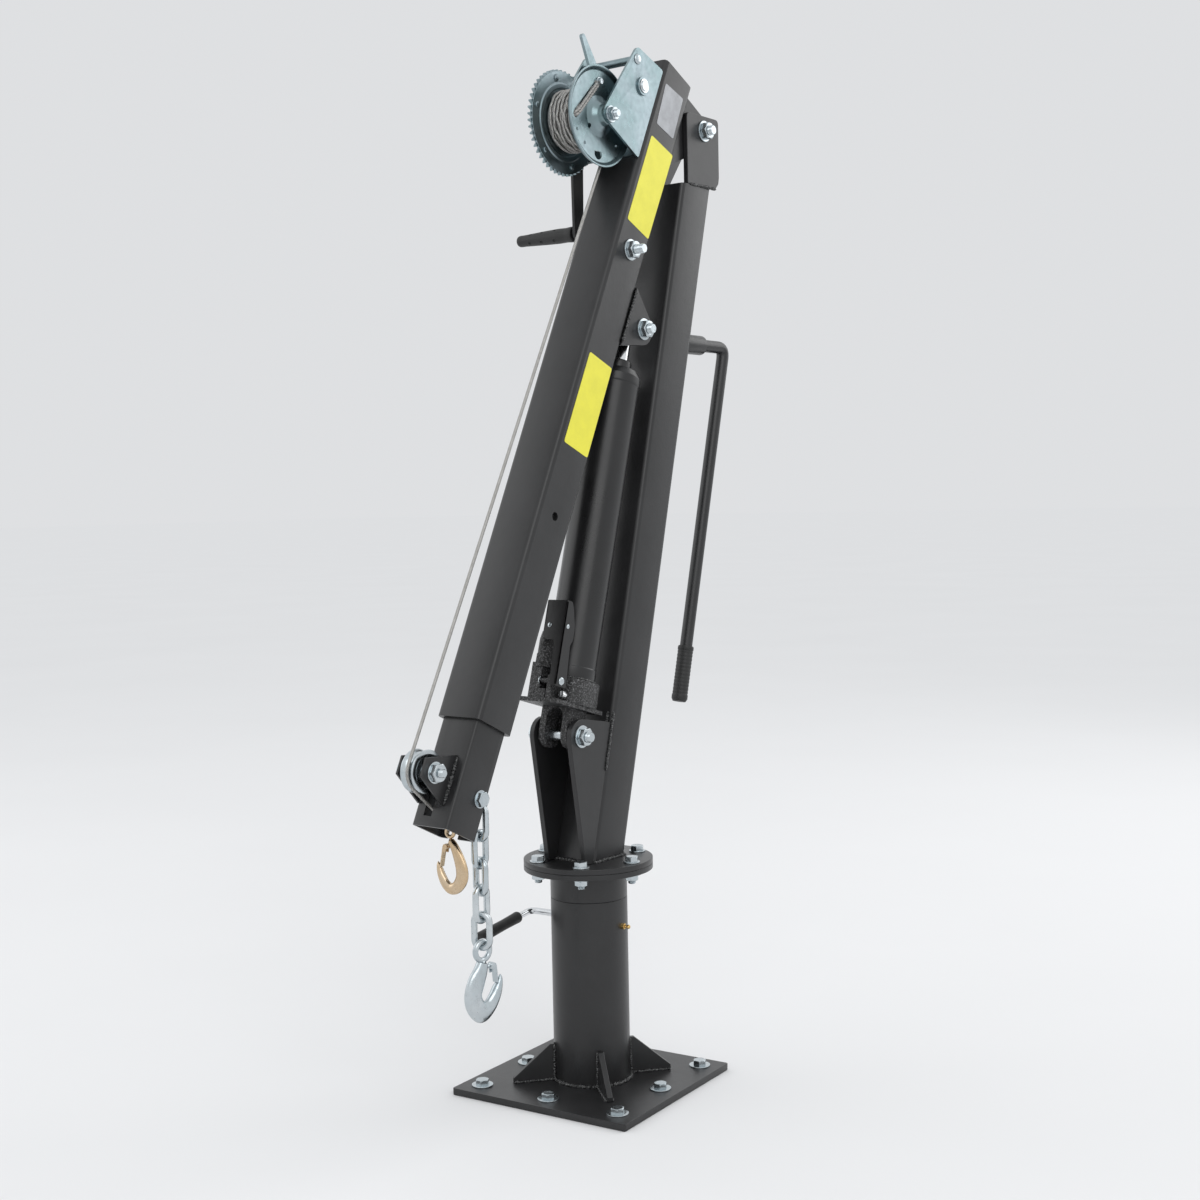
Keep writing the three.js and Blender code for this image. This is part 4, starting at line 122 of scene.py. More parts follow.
def leaning(origin: tuple, degrees: float) -> Placing:
    """A frame whose Z leans from upright towards +Y.

    Args:
        origin: its origin.
        degrees: how far it leans.

    Returns:
        The frame.
    """
    angle = math.radians(degrees)
    return Placing(np.array(origin, float), np.array((
        X_AXIS,
        (0.0, math.cos(angle), -math.sin(angle)),
        (0.0, math.sin(angle), math.cos(angle)),
    )))


def turned_about_z(degrees: float) -> Placing:
    """A frame at the origin turned about the vertical.

    Args:
        degrees: how far it is turned.

    Returns:
        The frame.
    """
    angle = math.radians(degrees)
    return Placing(np.zeros(3), np.array((
        (math.cos(angle), math.sin(angle), 0.0),
        (-math.sin(angle), math.cos(angle), 0.0),
        Z_AXIS,
    )))


def base_turn() -> Placing:
    """The frame of the base plate, turned a little about the vertical."""
    return turned_about_z(BASE_TURN_DEG)


def boom_place() -> Placing:
    """The frame of the folded boom: its origin is the pivot and its Z runs up the tube."""
    return leaning(BOOM_PIVOT, BOOM_LEAN_DEG)


def along(origin: Rows, direction: Rows) -> Placing:
    """A frame whose Z runs along a direction.

    Args:
        origin: its origin.
        direction: the direction, of any length.

    Returns:
        The frame; its X is square to a helper axis that the direction doesn't run along.
    """
    up = unit(np.array(direction, float))
    helper = X_AXIS if abs(up[0]) < 0.7 else Y_AXIS
    side = unit(np.cross(helper, up))
    return Placing(np.array(origin, float), np.array((side, np.cross(up, side), up)))


# Surfaces: arrays of rows of points, each row a ring round the form


@dataclass
class Skin:
    """A surface: rows of points, closed round each row, and closed from last row to first if looped."""

    rows: Rows
    loop: bool = False
    groove: Rows | None = None

    def placed(self, placing: Placing) -> "Skin":
        """The same surface in the crane's frame."""
        return Skin(placing.carry(self.rows), self.loop, self.groove)


def eased(line: Rows | tuple, radius: float, steps: int = 3, loop: bool = False) -> Rows:
    """Rounds the corners of a line of points.

    Each corner becomes the quadratic curve from a point `radius` before it to one `radius` after
    it, or less where a run is short.

    Args:
        line: the points, one per row.
        radius: the length that each corner takes of its two runs.
        steps: the steps of each curve.
        loop: whether the line closes on itself.

    Returns:
        The points of the rounded line.
    """
    points = np.asarray(line, float)
    before = np.roll(points, 1, axis=0) - points
    after = np.roll(points, -1, axis=0) - points
    reach_before = np.minimum(radius, 0.45 * np.linalg.norm(before, axis=1, keepdims=True))
    reach_after = np.minimum(radius, 0.45 * np.linalg.norm(after, axis=1, keepdims=True))
    start = points + unit(before) * reach_before
    end = points + unit(after) * reach_after
    share = np.linspace(0.0, 1.0, steps + 1)[:, None, None]
    curve = (1 - share) ** 2 * start + 2 * share * (1 - share) * points + share**2 * end
    smooth = curve.transpose(1, 0, 2).reshape(-1, points.shape[1])
    if loop:
        return smooth
    inner = smooth[steps + 1:-(steps + 1)]
    return np.concatenate((points[:1], inner, points[-1:]))


def spaced(path: Rows, step: float) -> Rows:
    """The same line with points at an even distance.

    Args:
        path: the points of the line.
        step: about how far apart the new points are.

    Returns:
        Points at even places of the line's length, each on the run between two old ones.
    """
    lengths = np.linalg.norm(np.diff(path, axis=0), axis=1)
    place = np.concatenate(((0.0,), np.cumsum(lengths)))
    wanted = np.linspace(0.0, place[-1], max(2, int(place[-1] / step)) + 1)
    return np.stack([np.interp(wanted, place, path[:, axis]) for axis in range(3)], axis=-1)


def lathe(profile: Rows | tuple, sides: int = 96, loop: bool = False) -> Skin:
    """Turns a profile round local Z: x = r cos a, y = r sin a, z = height.

    Args:
        profile: points of (radius, height).
        sides: the points of each ring.
        loop: whether the profile closes on itself, as a tube's does.

    Returns:
        The surface.
    """
    profile = np.asarray(profile, float)
    angle = np.linspace(0.0, 2 * math.pi, sides, endpoint=False)
    radius, height = profile[:, :1], profile[:, 1:]
    return Skin(np.stack((radius * np.cos(angle), radius * np.sin(angle), height + 0 * angle), axis=-1), loop)


def turned(profile: Rows | tuple, ease: float, steps: int = 3, sides: int = 96, loop: bool = False) -> Skin:
    """A turned form whose profile's corners are eased by a length in so many steps."""
    return lathe(eased(profile, ease, steps, loop), sides, loop)


def circle(radius: float, sides: int) -> Rows:
    """A round section: (r cos a, r sin a)."""
    angle = np.linspace(0.0, 2 * math.pi, sides, endpoint=False)
    return radius * np.stack((np.cos(angle), np.sin(angle)), axis=-1)


def level_circle(radius: float, sides: int, height: float) -> Rows:
    """A level ring of points: (r cos a, r sin a, height)."""
    return np.insert(circle(radius, sides), 2, height, axis=1)


def slab(outline: Rows, low: float, high: float, axis: int) -> Skin:
    """A flat plate: its outline at two depths along one axis."""
    return Skin(np.stack((np.insert(outline, axis, low, axis=1), np.insert(outline, axis, high, axis=1))))


def carried(path: Rows, section: Rows, aside: Rows, loop: bool = False) -> Skin:
    """Carries a section along a path.

    A point is path + side * u + up * v, where up is `aside` made square to the run and side is
    square to both.

    Args:
        path: the points of the path.
        section: one section (m, 2), or one for each point (n, m, 2).
        aside: a direction that the path never runs along, or one for each point.
        loop: whether the path closes on itself.

    Returns:
        The surface.
    """
    if loop:
        run = unit(np.roll(path, -1, axis=0) - np.roll(path, 1, axis=0))
    else:
        run = unit(np.gradient(path, axis=0))
    aside = np.broadcast_to(aside, path.shape)
    up = unit(aside - np.sum(aside * run, axis=1, keepdims=True) * run)
    side = np.cross(up, run)
    section = np.broadcast_to(section, (len(path), *section.shape[-2:]))
    rows = path[:, None] + side[:, None] * section[..., :1] + up[:, None] * section[..., 1:]
    return Skin(rows, loop)


def wander(place: Rows, seed: int, waves: int = 5, slowest: float = 0.02) -> Rows:
    """A smooth irregular line between about -1 and 1: a sum of sines with seeded phases.

    Args:
        place: the places along the line.
        seed: the seed of the phases.
        waves: how many sines are added, each 1.7 times as fast as the one before.
        slowest: the waves of the first sine in a unit of place.

    Returns:
        The line's value at each place.
    """
    draw = np.random.default_rng(seed + 1000)
    rates = slowest * 1.7 ** np.arange(waves)
    phases = draw.uniform(0.0, 2 * math.pi, waves)
    return np.sin(2 * math.pi * place[..., None] * rates + phases).mean(axis=-1) * 1.6


def hexagon(flat_radius: float, angle: Rows) -> Rows:
    """The distance from a hexagon's middle to its edge at each angle."""
    sixth = math.pi / 3
    return flat_radius / np.cos((angle + sixth / 2) % sixth - sixth / 2)


def hex_head(flat_radius: float, height: float, both: bool = False, sides: int = 72) -> Skin:
    """A hexagon head or nut on local Z from 0 to its height.

    Its radius is the lesser of the hexagon and a cone that turns the corners down.

    Args:
        flat_radius: half the distance across its flats.
        height: its height.
        both: whether the corners are turned down at the foot as well as at the top.
        sides: the points of each ring.

    Returns:
        The surface.
    """
    angle = np.linspace(0.0, 2 * math.pi, sides, endpoint=False)
    corner = flat_radius / math.cos(math.pi / 6)
    chamfer = (corner - flat_radius) * 0.62
    levels = np.concatenate((np.linspace(0, chamfer, 6), np.linspace(height - chamfer, height, 6)))[:, None]
    cone = flat_radius * 0.965 + (height - levels) * 1.75
    if both:
        cone = np.minimum(cone, flat_radius * 0.965 + levels * 1.75)
    radius = np.minimum(hexagon(flat_radius, angle)[None], cone)
    rings = np.stack((radius * np.cos(angle), radius * np.sin(angle), levels + 0 * angle), axis=-1)
    foot = np.zeros((1, sides, 3))
    dish = rings[-1:] * (0.72, 0.72, 1.0) - (0.0, 0.0, 0.25)
    top = foot + (0.0, 0.0, height - 0.25)
    return Skin(np.concatenate((foot, rings, dish, top)))


def thread(radius: float, length: float, pitch: float, sides: int = 32) -> Skin:
    """A threaded end on local Z: the radius falls by a saw tooth that climbs one pitch a turn.

    Args:
        radius: the radius over the crests.
        length: its length.
        pitch: the rise of one turn.
        sides: the points of each ring.

    Returns:
        The surface, its end turned down over the last 0.8 of a pitch.
    """
    angle = np.linspace(0.0, 2 * math.pi, sides, endpoint=False)
    level = np.linspace(0.0, length, int(length / pitch * 8) + 2)[:, None]
    wave = np.abs((level / pitch - angle / (2 * math.pi)) % 1.0 - 0.5) * 2
    limit = radius - np.maximum(0.0, level - (length - pitch * 0.8)) * 0.8
    girth = np.minimum(radius - wave * pitch * 0.42, limit)
    rings = np.stack((girth * np.cos(angle), girth * np.sin(angle), level + 0 * angle), axis=-1)
    foot = np.zeros((1, sides, 3))
    return Skin(np.concatenate((foot, rings, foot + (0.0, 0.0, length))))


def washer(outer: float, inner: float, thickness: float) -> Skin:
    """A flat washer on local Z, from 0 to its thickness, its edges eased."""
    profile = ((inner, 0.0), (outer, 0.0), (outer, thickness), (inner, thickness))
    return turned(profile, thickness * 0.3, 2, 64, loop=True)


def shank(radius: float, length: float, start: float = 0.0) -> Skin:
    """A bolt's plain shank on local Z, from its start over its length."""
    end = start + length
    return lathe(((0, start), (radius, start), (radius, end), (0, end)), 32)


def bead(path: Rows, radius: float, aside: Rows, seed: int, loop: bool = False) -> Skin:
    """A run of weld: a round section whose size swells with each ripple and wanders along the run.

    Args:
        path: the line of the joint.
        radius: the mean half width.
        aside: a direction that the line never runs along.
        seed: the seed of its irregular line.
        loop: whether the weld closes on itself.

    Returns:
        The surface of the weld.
    """
    line = spaced(np.concatenate((path, path[:1])) if loop else path, 0.9)
    if loop:
        line = line[:-1]
    place = np.arange(len(line)) * 0.9
    ripple = np.abs(np.sin(math.pi * place / 3.1 + wander(place, seed) * 1.2))
    girth = radius * (0.74 + 0.36 * ripple + 0.2 * wander(place, seed + 1, slowest=0.012))
    if not loop:
        ends = np.minimum(place, place[-1] - place) / (2.0 * radius)
        girth = girth * np.sqrt(np.clip(ends, 0.02, 1.0))
    angle = np.linspace(0.0, 2 * math.pi, 14, endpoint=False)
    lump = 1.0 + 0.1 * wander(place[:, None] + angle * 4.0, seed + 2, slowest=0.05)
    section = (girth[:, None] * lump)[..., None] * np.stack((np.cos(angle), np.sin(angle)), axis=-1)
    return carried(line, section, aside, loop)


def rope_section(place: Rows, radius: float, sides: int, strands: int = 6, lay: float = 27.0) -> Rows:
    """Sections of laid rope: a ring of round strands that turns once in each lay length.

    The radius at an angle t from the nearest strand of radius s, whose middle is at m, is
    m cos t + sqrt(s^2 - (m sin t)^2).

    Args:
        place: the places along the rope.
        radius: the rope's radius.
        sides: the points of each section.
        strands: how many strands it has.
        lay: the length in which a strand goes round once.

    Returns:
        One section for each place.
    """
    angle = np.linspace(0.0, 2 * math.pi, sides, endpoint=False)
    sector = 2 * math.pi / strands
    strand = radius * math.sin(sector / 2) / (1 + math.sin(sector / 2)) * 1.04
    middle = radius - strand
    turn = 2 * math.pi * place[:, None] / lay
    offset = (angle - turn + sector / 2) % sector - sector / 2
    reach = middle * np.cos(offset) + np.sqrt(np.maximum(strand**2 - (middle * np.sin(offset)) ** 2, 0.0))
    return reach[..., None] * np.stack((np.cos(angle), np.sin(angle)), axis=-1)


def laid_rope(line: Rows, step: float, radius: float, aside: Rows, sides: int = 24) -> Skin:
    """A laid rope along a line.

    Args:
        line: its points, at even distances.
        step: that distance.
        radius: the rope's radius.
        aside: a direction that the line never runs along.
        sides: the points of each section.

    Returns:
        The surface, with how deep each point lies in a groove between strands, from 0 to 1.
    """
    section = rope_section(np.arange(len(line)) * step, radius, sides)
    reach = np.linalg.norm(section, axis=-1)
    skin = carried(line, section, aside)
    skin.groove = (reach.max() - reach) / (reach.max() - reach.min())
    return skin


# Shader maths


class Wire:
    """A socket of a node tree, on which maths is written as plain Python expressions."""

    def __init__(self, tree: "Tree", socket: bpy.types.NodeSocket) -> None:
        """Keeps the socket and the tree it belongs to."""
        self.tree = tree
        self.socket = socket

    def _maths(self, operation: str, *values: "Wire | float", clamp: bool = False) -> "Wire":
        """Adds one Math node and returns its result."""
        return self.tree.node("ShaderNodeMath", {"operation": operation, "use_clamp": clamp},
                              dict(enumerate(values)))

    def __add__(self, other: "Wire | float") -> "Wire":
        """The sum."""
        return self._maths("ADD", self, other)

    def __radd__(self, other: float) -> "Wire":
        """The sum, reflected."""
        return self._maths("ADD", other, self)

    def __sub__(self, other: "Wire | float") -> "Wire":
        """The difference."""
        return self._maths("SUBTRACT", self, other)

    def __rsub__(self, other: float) -> "Wire":
        """The difference, reflected."""
        return self._maths("SUBTRACT", other, self)

    def __mul__(self, other: "Wire | float") -> "Wire":
        """The product."""
        return self._maths("MULTIPLY", self, other)

    def __rmul__(self, other: float) -> "Wire":
        """The product, reflected."""
        return self._maths("MULTIPLY", other, self)

    def __truediv__(self, other: "Wire | float") -> "Wire":
        """The quotient."""
        return self._maths("DIVIDE", self, other)

    def held(self) -> "Wire":
        """The value kept between 0 and 1."""
        return self._maths("ADD", self, 0.0, clamp=True)

    def step(self, low: float, high: float) -> "Wire":
        """A soft step: 0 below `low`, 1 above `high`."""
        return ((self - low) / (high - low)).held()


class Tree:
    """A node tree being written, with one method that adds any node."""

    def __init__(self, owner: bpy.types.Material | bpy.types.World) -> None:
        """Empties a tree.

        Args:
            owner: the material or world that the tree belongs to.
        """
        owner.use_nodes = True
        self.owner = owner
        self.tree = owner.node_tree
        self.tree.nodes.clear()

    def node(self, kind: str, settings: dict | None = None, inputs: dict | None = None,
             output: str | int = 0) -> Wire | None:
        """Adds a node.

        Args:
            kind: the node's type.
            settings: its own properties, set first; "stops" gives a ramp's (place, colour) pairs.
            inputs: socket name or index to a value or a wire.
            output: the socket that is returned.

        Returns:
            A wire from that socket, or none from a node that ends a tree.
        """
        made = self.tree.nodes.new(kind)
        for key, value in (settings or {}).items():
            if key == "stops":
                ramp = made.color_ramp
                for index, (place, colour) in enumerate(value):
                    stop = ramp.elements[index] if index < 2 else ramp.elements.new(place)
                    stop.position = place
                    stop.color = (*colour, 1.0)
            else:
                setattr(made, key, value)
        for key, value in (inputs or {}).items():
            if isinstance(value, Wire):
                self.tree.links.new(value.socket, made.inputs[key])
            else:
                made.inputs[key].default_value = value
        return Wire(self, made.outputs[output]) if made.outputs else None


class Sheet(Tree):
    """A material being written, with methods that name what is used often."""

    def __init__(self, name: str) -> None:
        """Starts an empty material and its object coordinates."""
        super().__init__(bpy.data.materials.new(name))
        self.place = self.node("ShaderNodeTexCoord", output="Object")

    def stretched(self, x: float, y: float, z: float) -> Wire:
        """Object coordinates scaled along each axis, for a pattern that is drawn out."""
        return self.node("ShaderNodeMapping", {}, {"Vector": self.place, "Scale": (x, y, z)})

    def noise(self, scale: float, detail: float = 3.0, rough: float = 0.55,
              place: Wire | None = None) -> Wire:
        """A noise between 0 and 1; scale is in waves a metre."""
        return self.node("ShaderNodeTexNoise", {}, {"Vector": place or self.place, "Scale": scale,
                                                    "Detail": detail, "Roughness": rough})

    def blend(self, mask: Wire, low: Wire | tuple, high: Wire | tuple) -> Wire:
        """A colour between two by a mask."""
        ends = [tone if isinstance(tone, Wire) else (*tone, 1.0) for tone in (low, high)]
        return self.node("ShaderNodeMix", {"data_type": "RGBA"}, {0: mask, 6: ends[0], 7: ends[1]}, output=2)

    def bump(self, height: Wire, strength: float, distance: float, normal: Wire | None = None) -> Wire:
        """Adds a bump.

        Args:
            height: its height, in shares of the distance.
            strength: how strongly it shows.
            distance: the height of 1, in metres.
            normal: the normal it starts from, if it isn't the surface's own.

        Returns:
            The new normal.
        """
        inputs = {"Height": height, "Strength": strength, "Distance": distance}
        if normal is not None:
            inputs["Normal"] = normal
        return self.node("ShaderNodeBump", {}, inputs)

    def finish(self, **sockets: "Wire | float | tuple") -> bpy.types.Material:
        """Ends the material with one principled shader.

        Args:
            **sockets: its sockets by name, with _ for a space, and their values or wires.

        Returns:
            The material.
        """
        named = {key.replace("_", " "): value for key, value in sockets.items()}
        shader = self.node("ShaderNodeBsdfPrincipled", {}, named)
        self.node("ShaderNodeOutputMaterial", {}, {"Surface": shader})
        return self.owner


@dataclass(frozen=True)
class Paint:
    """Sprayed paint over steel: fine orange peel, soft clouds, faint rubs and specks of dust."""

    name: str
    colour: tuple
    dust_and_glint: tuple
    gloss: float
    peel: float
    clouds: float = 0.35

    def build(self) -> bpy.types.Material:
        """Writes the material.

        Returns:
            The material.
        """
        sheet = Sheet(self.name)
        cloud = sheet.noise(9.0, 4.0, 0.6).step(0.35, 0.75)
        rub = sheet.noise(60.0, 5.0, 0.7, sheet.stretched(1.0, 1.0, 0.18)).step(0.62, 0.86)
        speck = sheet.noise(900.0, 2.0, 0.5).step(0.7, 0.78)
        dark = tuple(value * 0.72 for value in self.colour)
        tone = sheet.blend(cloud * self.clouds + rub * 0.2, self.colour, self.dust_and_glint)
        tone = sheet.blend(sheet.noise(28.0, 3.0).step(0.5, 0.9) * 0.5, tone, dark)
        tone = sheet.blend(speck * 0.35, tone, self.dust_and_glint)
        peel = sheet.noise(620.0, 2.0, 0.5)
        slow = sheet.noise(70.0, 2.0, 0.5)
        normal = sheet.bump(slow, 0.12, 0.0012)
        normal = sheet.bump(peel, self.peel, 0.0004, normal)
        rough = self.gloss + cloud * 0.07 + rub * 0.1 - slow * 0.05
        return sheet.finish(Base_Color=tone, Roughness=rough, Normal=normal, Specular_IOR_Level=0.5)


@dataclass(frozen=True)
class Casting:
    """A rough sand casting under gloss paint: deep pits and grains that catch the light, with pale specks
    painted on as painted highlights.
    """

    name: str
    colour: tuple
    dust_and_glint: tuple
    relief: float
    rough: float

    def build(self) -> bpy.types.Material:
        """Writes the material.

        Returns:
            The material.
        """
        sheet = Sheet(self.name)
        grain = sheet.noise(420.0, 4.0, 0.65)
        pit = sheet.node("ShaderNodeTexVoronoi", {"feature": "SMOOTH_F1"},
                         {"Vector": sheet.place, "Scale": 330.0})
        normal = sheet.bump(grain, 0.8 * self.relief, 0.0016)
        normal = sheet.bump(pit, 0.8 * self.relief, 0.0016, normal)
        # pale specks on the grains: painted highlights standing in for glints, blended towards the second
        # colour
        glint_specks = sheet.noise(430.0, 2.0, 0.6).step(0.53, 0.63)
        tone = sheet.blend(glint_specks * 0.8, self.colour, self.dust_and_glint)
        return sheet.finish(Base_Color=tone, Roughness=self.rough + grain * 0.2, Normal=normal)


@dataclass(frozen=True)
class Plating:
    """Plated steel: a metal whose tint and gloss drift in clouds, with fine drawn marks."""

    name: str
    colour: tuple
    tint: tuple
    rough: float
    drift: float = 14.0
    grain: float = 0.18

    def build(self) -> bpy.types.Material:
        """Writes the material.

        Returns:
            The material.
        """
        sheet = Sheet(self.name)
        cloud = sheet.noise(self.drift, 4.0, 0.62).step(0.34, 0.7)
        spangle = sheet.noise(self.drift * 9, 3.0, 0.6).step(0.4, 0.75)
        scratch = sheet.noise(240.0, 3.0, 0.6, sheet.stretched(1.0, 0.12, 0.12)).step(0.55, 0.8)
        dull = tuple(value * 0.62 for value in self.colour)
        tone = sheet.blend(cloud, self.colour, self.tint)
        tone = sheet.blend(spangle * 0.28, tone, dull)
        rough = self.rough + spangle * 0.1 + scratch * 0.08 - cloud * 0.04
        normal = sheet.bump(sheet.noise(500.0, 3.0, 0.6), self.grain, 0.0004)
        normal = sheet.bump(sheet.noise(46.0, 2.0, 0.5), 0.14, 0.0016, normal)
        return sheet.finish(Base_Color=tone, Metallic=1.0, Roughness=rough, Normal=normal)


@dataclass(frozen=True)
class Moulding:
    """Moulded black rubber: matt, with a fine leathery grain and a bloom that lightens it."""

    name: str
    colour: tuple
    bloom: tuple

    def build(self) -> bpy.types.Material:
        """Writes the material.

        Returns:
            The material.
        """
        sheet = Sheet(self.name)
        bloom = sheet.noise(35.0, 4.0, 0.6).step(0.45, 0.85)
        grain = sheet.noise(1400.0, 2.0, 0.5)
        tone = sheet.blend(bloom * 0.5, self.colour, self.bloom)
        normal = sheet.bump(grain, 0.25, 0.0003)
        return sheet.finish(Base_Color=tone, Roughness=0.5 + bloom * 0.12, Normal=normal)


@dataclass(frozen=True)
class RopeWire:
    """Galvanised wire rope: dull zinc with clouds of grime, painted shade darkening the grooves between
    strands, wires as fine lines.
    """

    name: str
    colour: tuple
    grime: tuple

    def build(self) -> bpy.types.Material:
        """Writes the material.

        Returns:
            The material.
        """
        sheet = Sheet(self.name)
        cloud = sheet.noise(150.0, 3.0, 0.6).step(0.3, 0.72)
        wires = sheet.noise(1500.0, 2.0, 0.6, sheet.stretched(1.0, 1.0, 0.35))
        groove = sheet.node("ShaderNodeAttribute", {"attribute_name": "groove"}, output="Fac")
        tone = sheet.blend(cloud * 0.55, self.colour, self.grime)
        # painted shade: the grooves between strands are darkened nearly to black by their depth
        dark = tuple(value * 0.16 for value in self.grime)
        tone = sheet.blend(groove.step(0.15, 0.8), tone, dark)
        normal = sheet.bump(wires, 0.5, 0.0004)
        return sheet.finish(Base_Color=tone, Metallic=0.85, Roughness=0.36 + wires * 0.2, Normal=normal)


@dataclass(frozen=True)
class Film:
    """A stuck-on film or foil: an even colour with faint mottling and a slightly uneven face."""

    name: str
    colour: tuple
    shade: tuple
    metallic: float
    rough: float

    def build(self) -> bpy.types.Material:
        """Writes the material.

        Returns:
            The material.
        """
        sheet = Sheet(self.name)
        mottle = sheet.noise(45.0, 4.0, 0.65).step(0.4, 0.8)
        line = sheet.noise(700.0, 2.0, 0.5, sheet.stretched(1.0, 0.05, 1.0))
        tone = sheet.blend(mottle * 0.6 + line * 0.15, self.colour, self.shade)
        normal = sheet.bump(sheet.noise(120.0, 2.0), 0.1, 0.0006)
        return sheet.finish(Base_Color=tone, Metallic=self.metallic, Roughness=self.rough + mottle * 0.08,
                            Normal=normal)


def all_finishes() -> dict[Finish, bpy.types.Material]:
    """Builds one material for each finish of the crane.

    Returns:
        The materials by finish.
    """
    recipes = {
        Finish.GREY_PAINT: Paint("satin_black_paint", (0.0125, 0.0125, 0.013), (0.034, 0.034, 0.036),
                                 0.34, 0.3),
        Finish.BLACK_PAINT: Paint("jack_black_paint", (0.008, 0.008, 0.0085), (0.024, 0.024, 0.025),
                                  0.3, 0.2),
        # black casting: its second colour is the painted highlight on the grains
        Finish.CAST_BLACK: Casting("black_casting", (0.01, 0.01, 0.01), (0.16, 0.16, 0.165), 1.0, 0.26),
        Finish.ZINC: Plating("zinc_plate", (0.6, 0.64, 0.66), (0.44, 0.5, 0.53), 0.22),
        Finish.BLUE_ZINC: Plating("blue_zinc_plate", (0.3, 0.36, 0.39), (0.19, 0.27, 0.28), 0.3),
        Finish.YELLOW_ZINC: Plating("yellow_zinc_plate", (0.58, 0.42, 0.25), (0.66, 0.53, 0.38), 0.27, 22.0),
        Finish.BRIGHT_STEEL: Plating("hard_chrome", (0.74, 0.75, 0.76), (0.66, 0.68, 0.7), 0.12, 8.0, 0.05),
        Finish.BLACK_GRIP: Moulding("black_rubber", (0.012, 0.012, 0.012), (0.03, 0.03, 0.03)),
        Finish.ROPE_WIRE: RopeWire("galvanised_wire", (0.56, 0.55, 0.53), (0.3, 0.29, 0.27)),
        Finish.BRASS: Plating("plain_brass", (0.72, 0.5, 0.2), (0.6, 0.42, 0.18), 0.3),
        Finish.YELLOW_PANEL: Film("yellow_film", (0.8, 0.75, 0.05), (0.66, 0.62, 0.05), 0.0, 0.4),
        Finish.SILVER_PLATE: Film("silver_foil", (0.36, 0.37, 0.39), (0.2, 0.205, 0.21), 0.6, 0.42),
        # weld: its second colour is the painted highlight on the bead's grains
        Finish.WELD: Casting("painted_weld", (0.013, 0.0135, 0.014), (0.14, 0.14, 0.14), 0.4, 0.14),
    }
    return {finish: recipe.build() for finish, recipe in recipes.items()}


# The workshop: makes pieces and gives them their finish, body and place in the frame


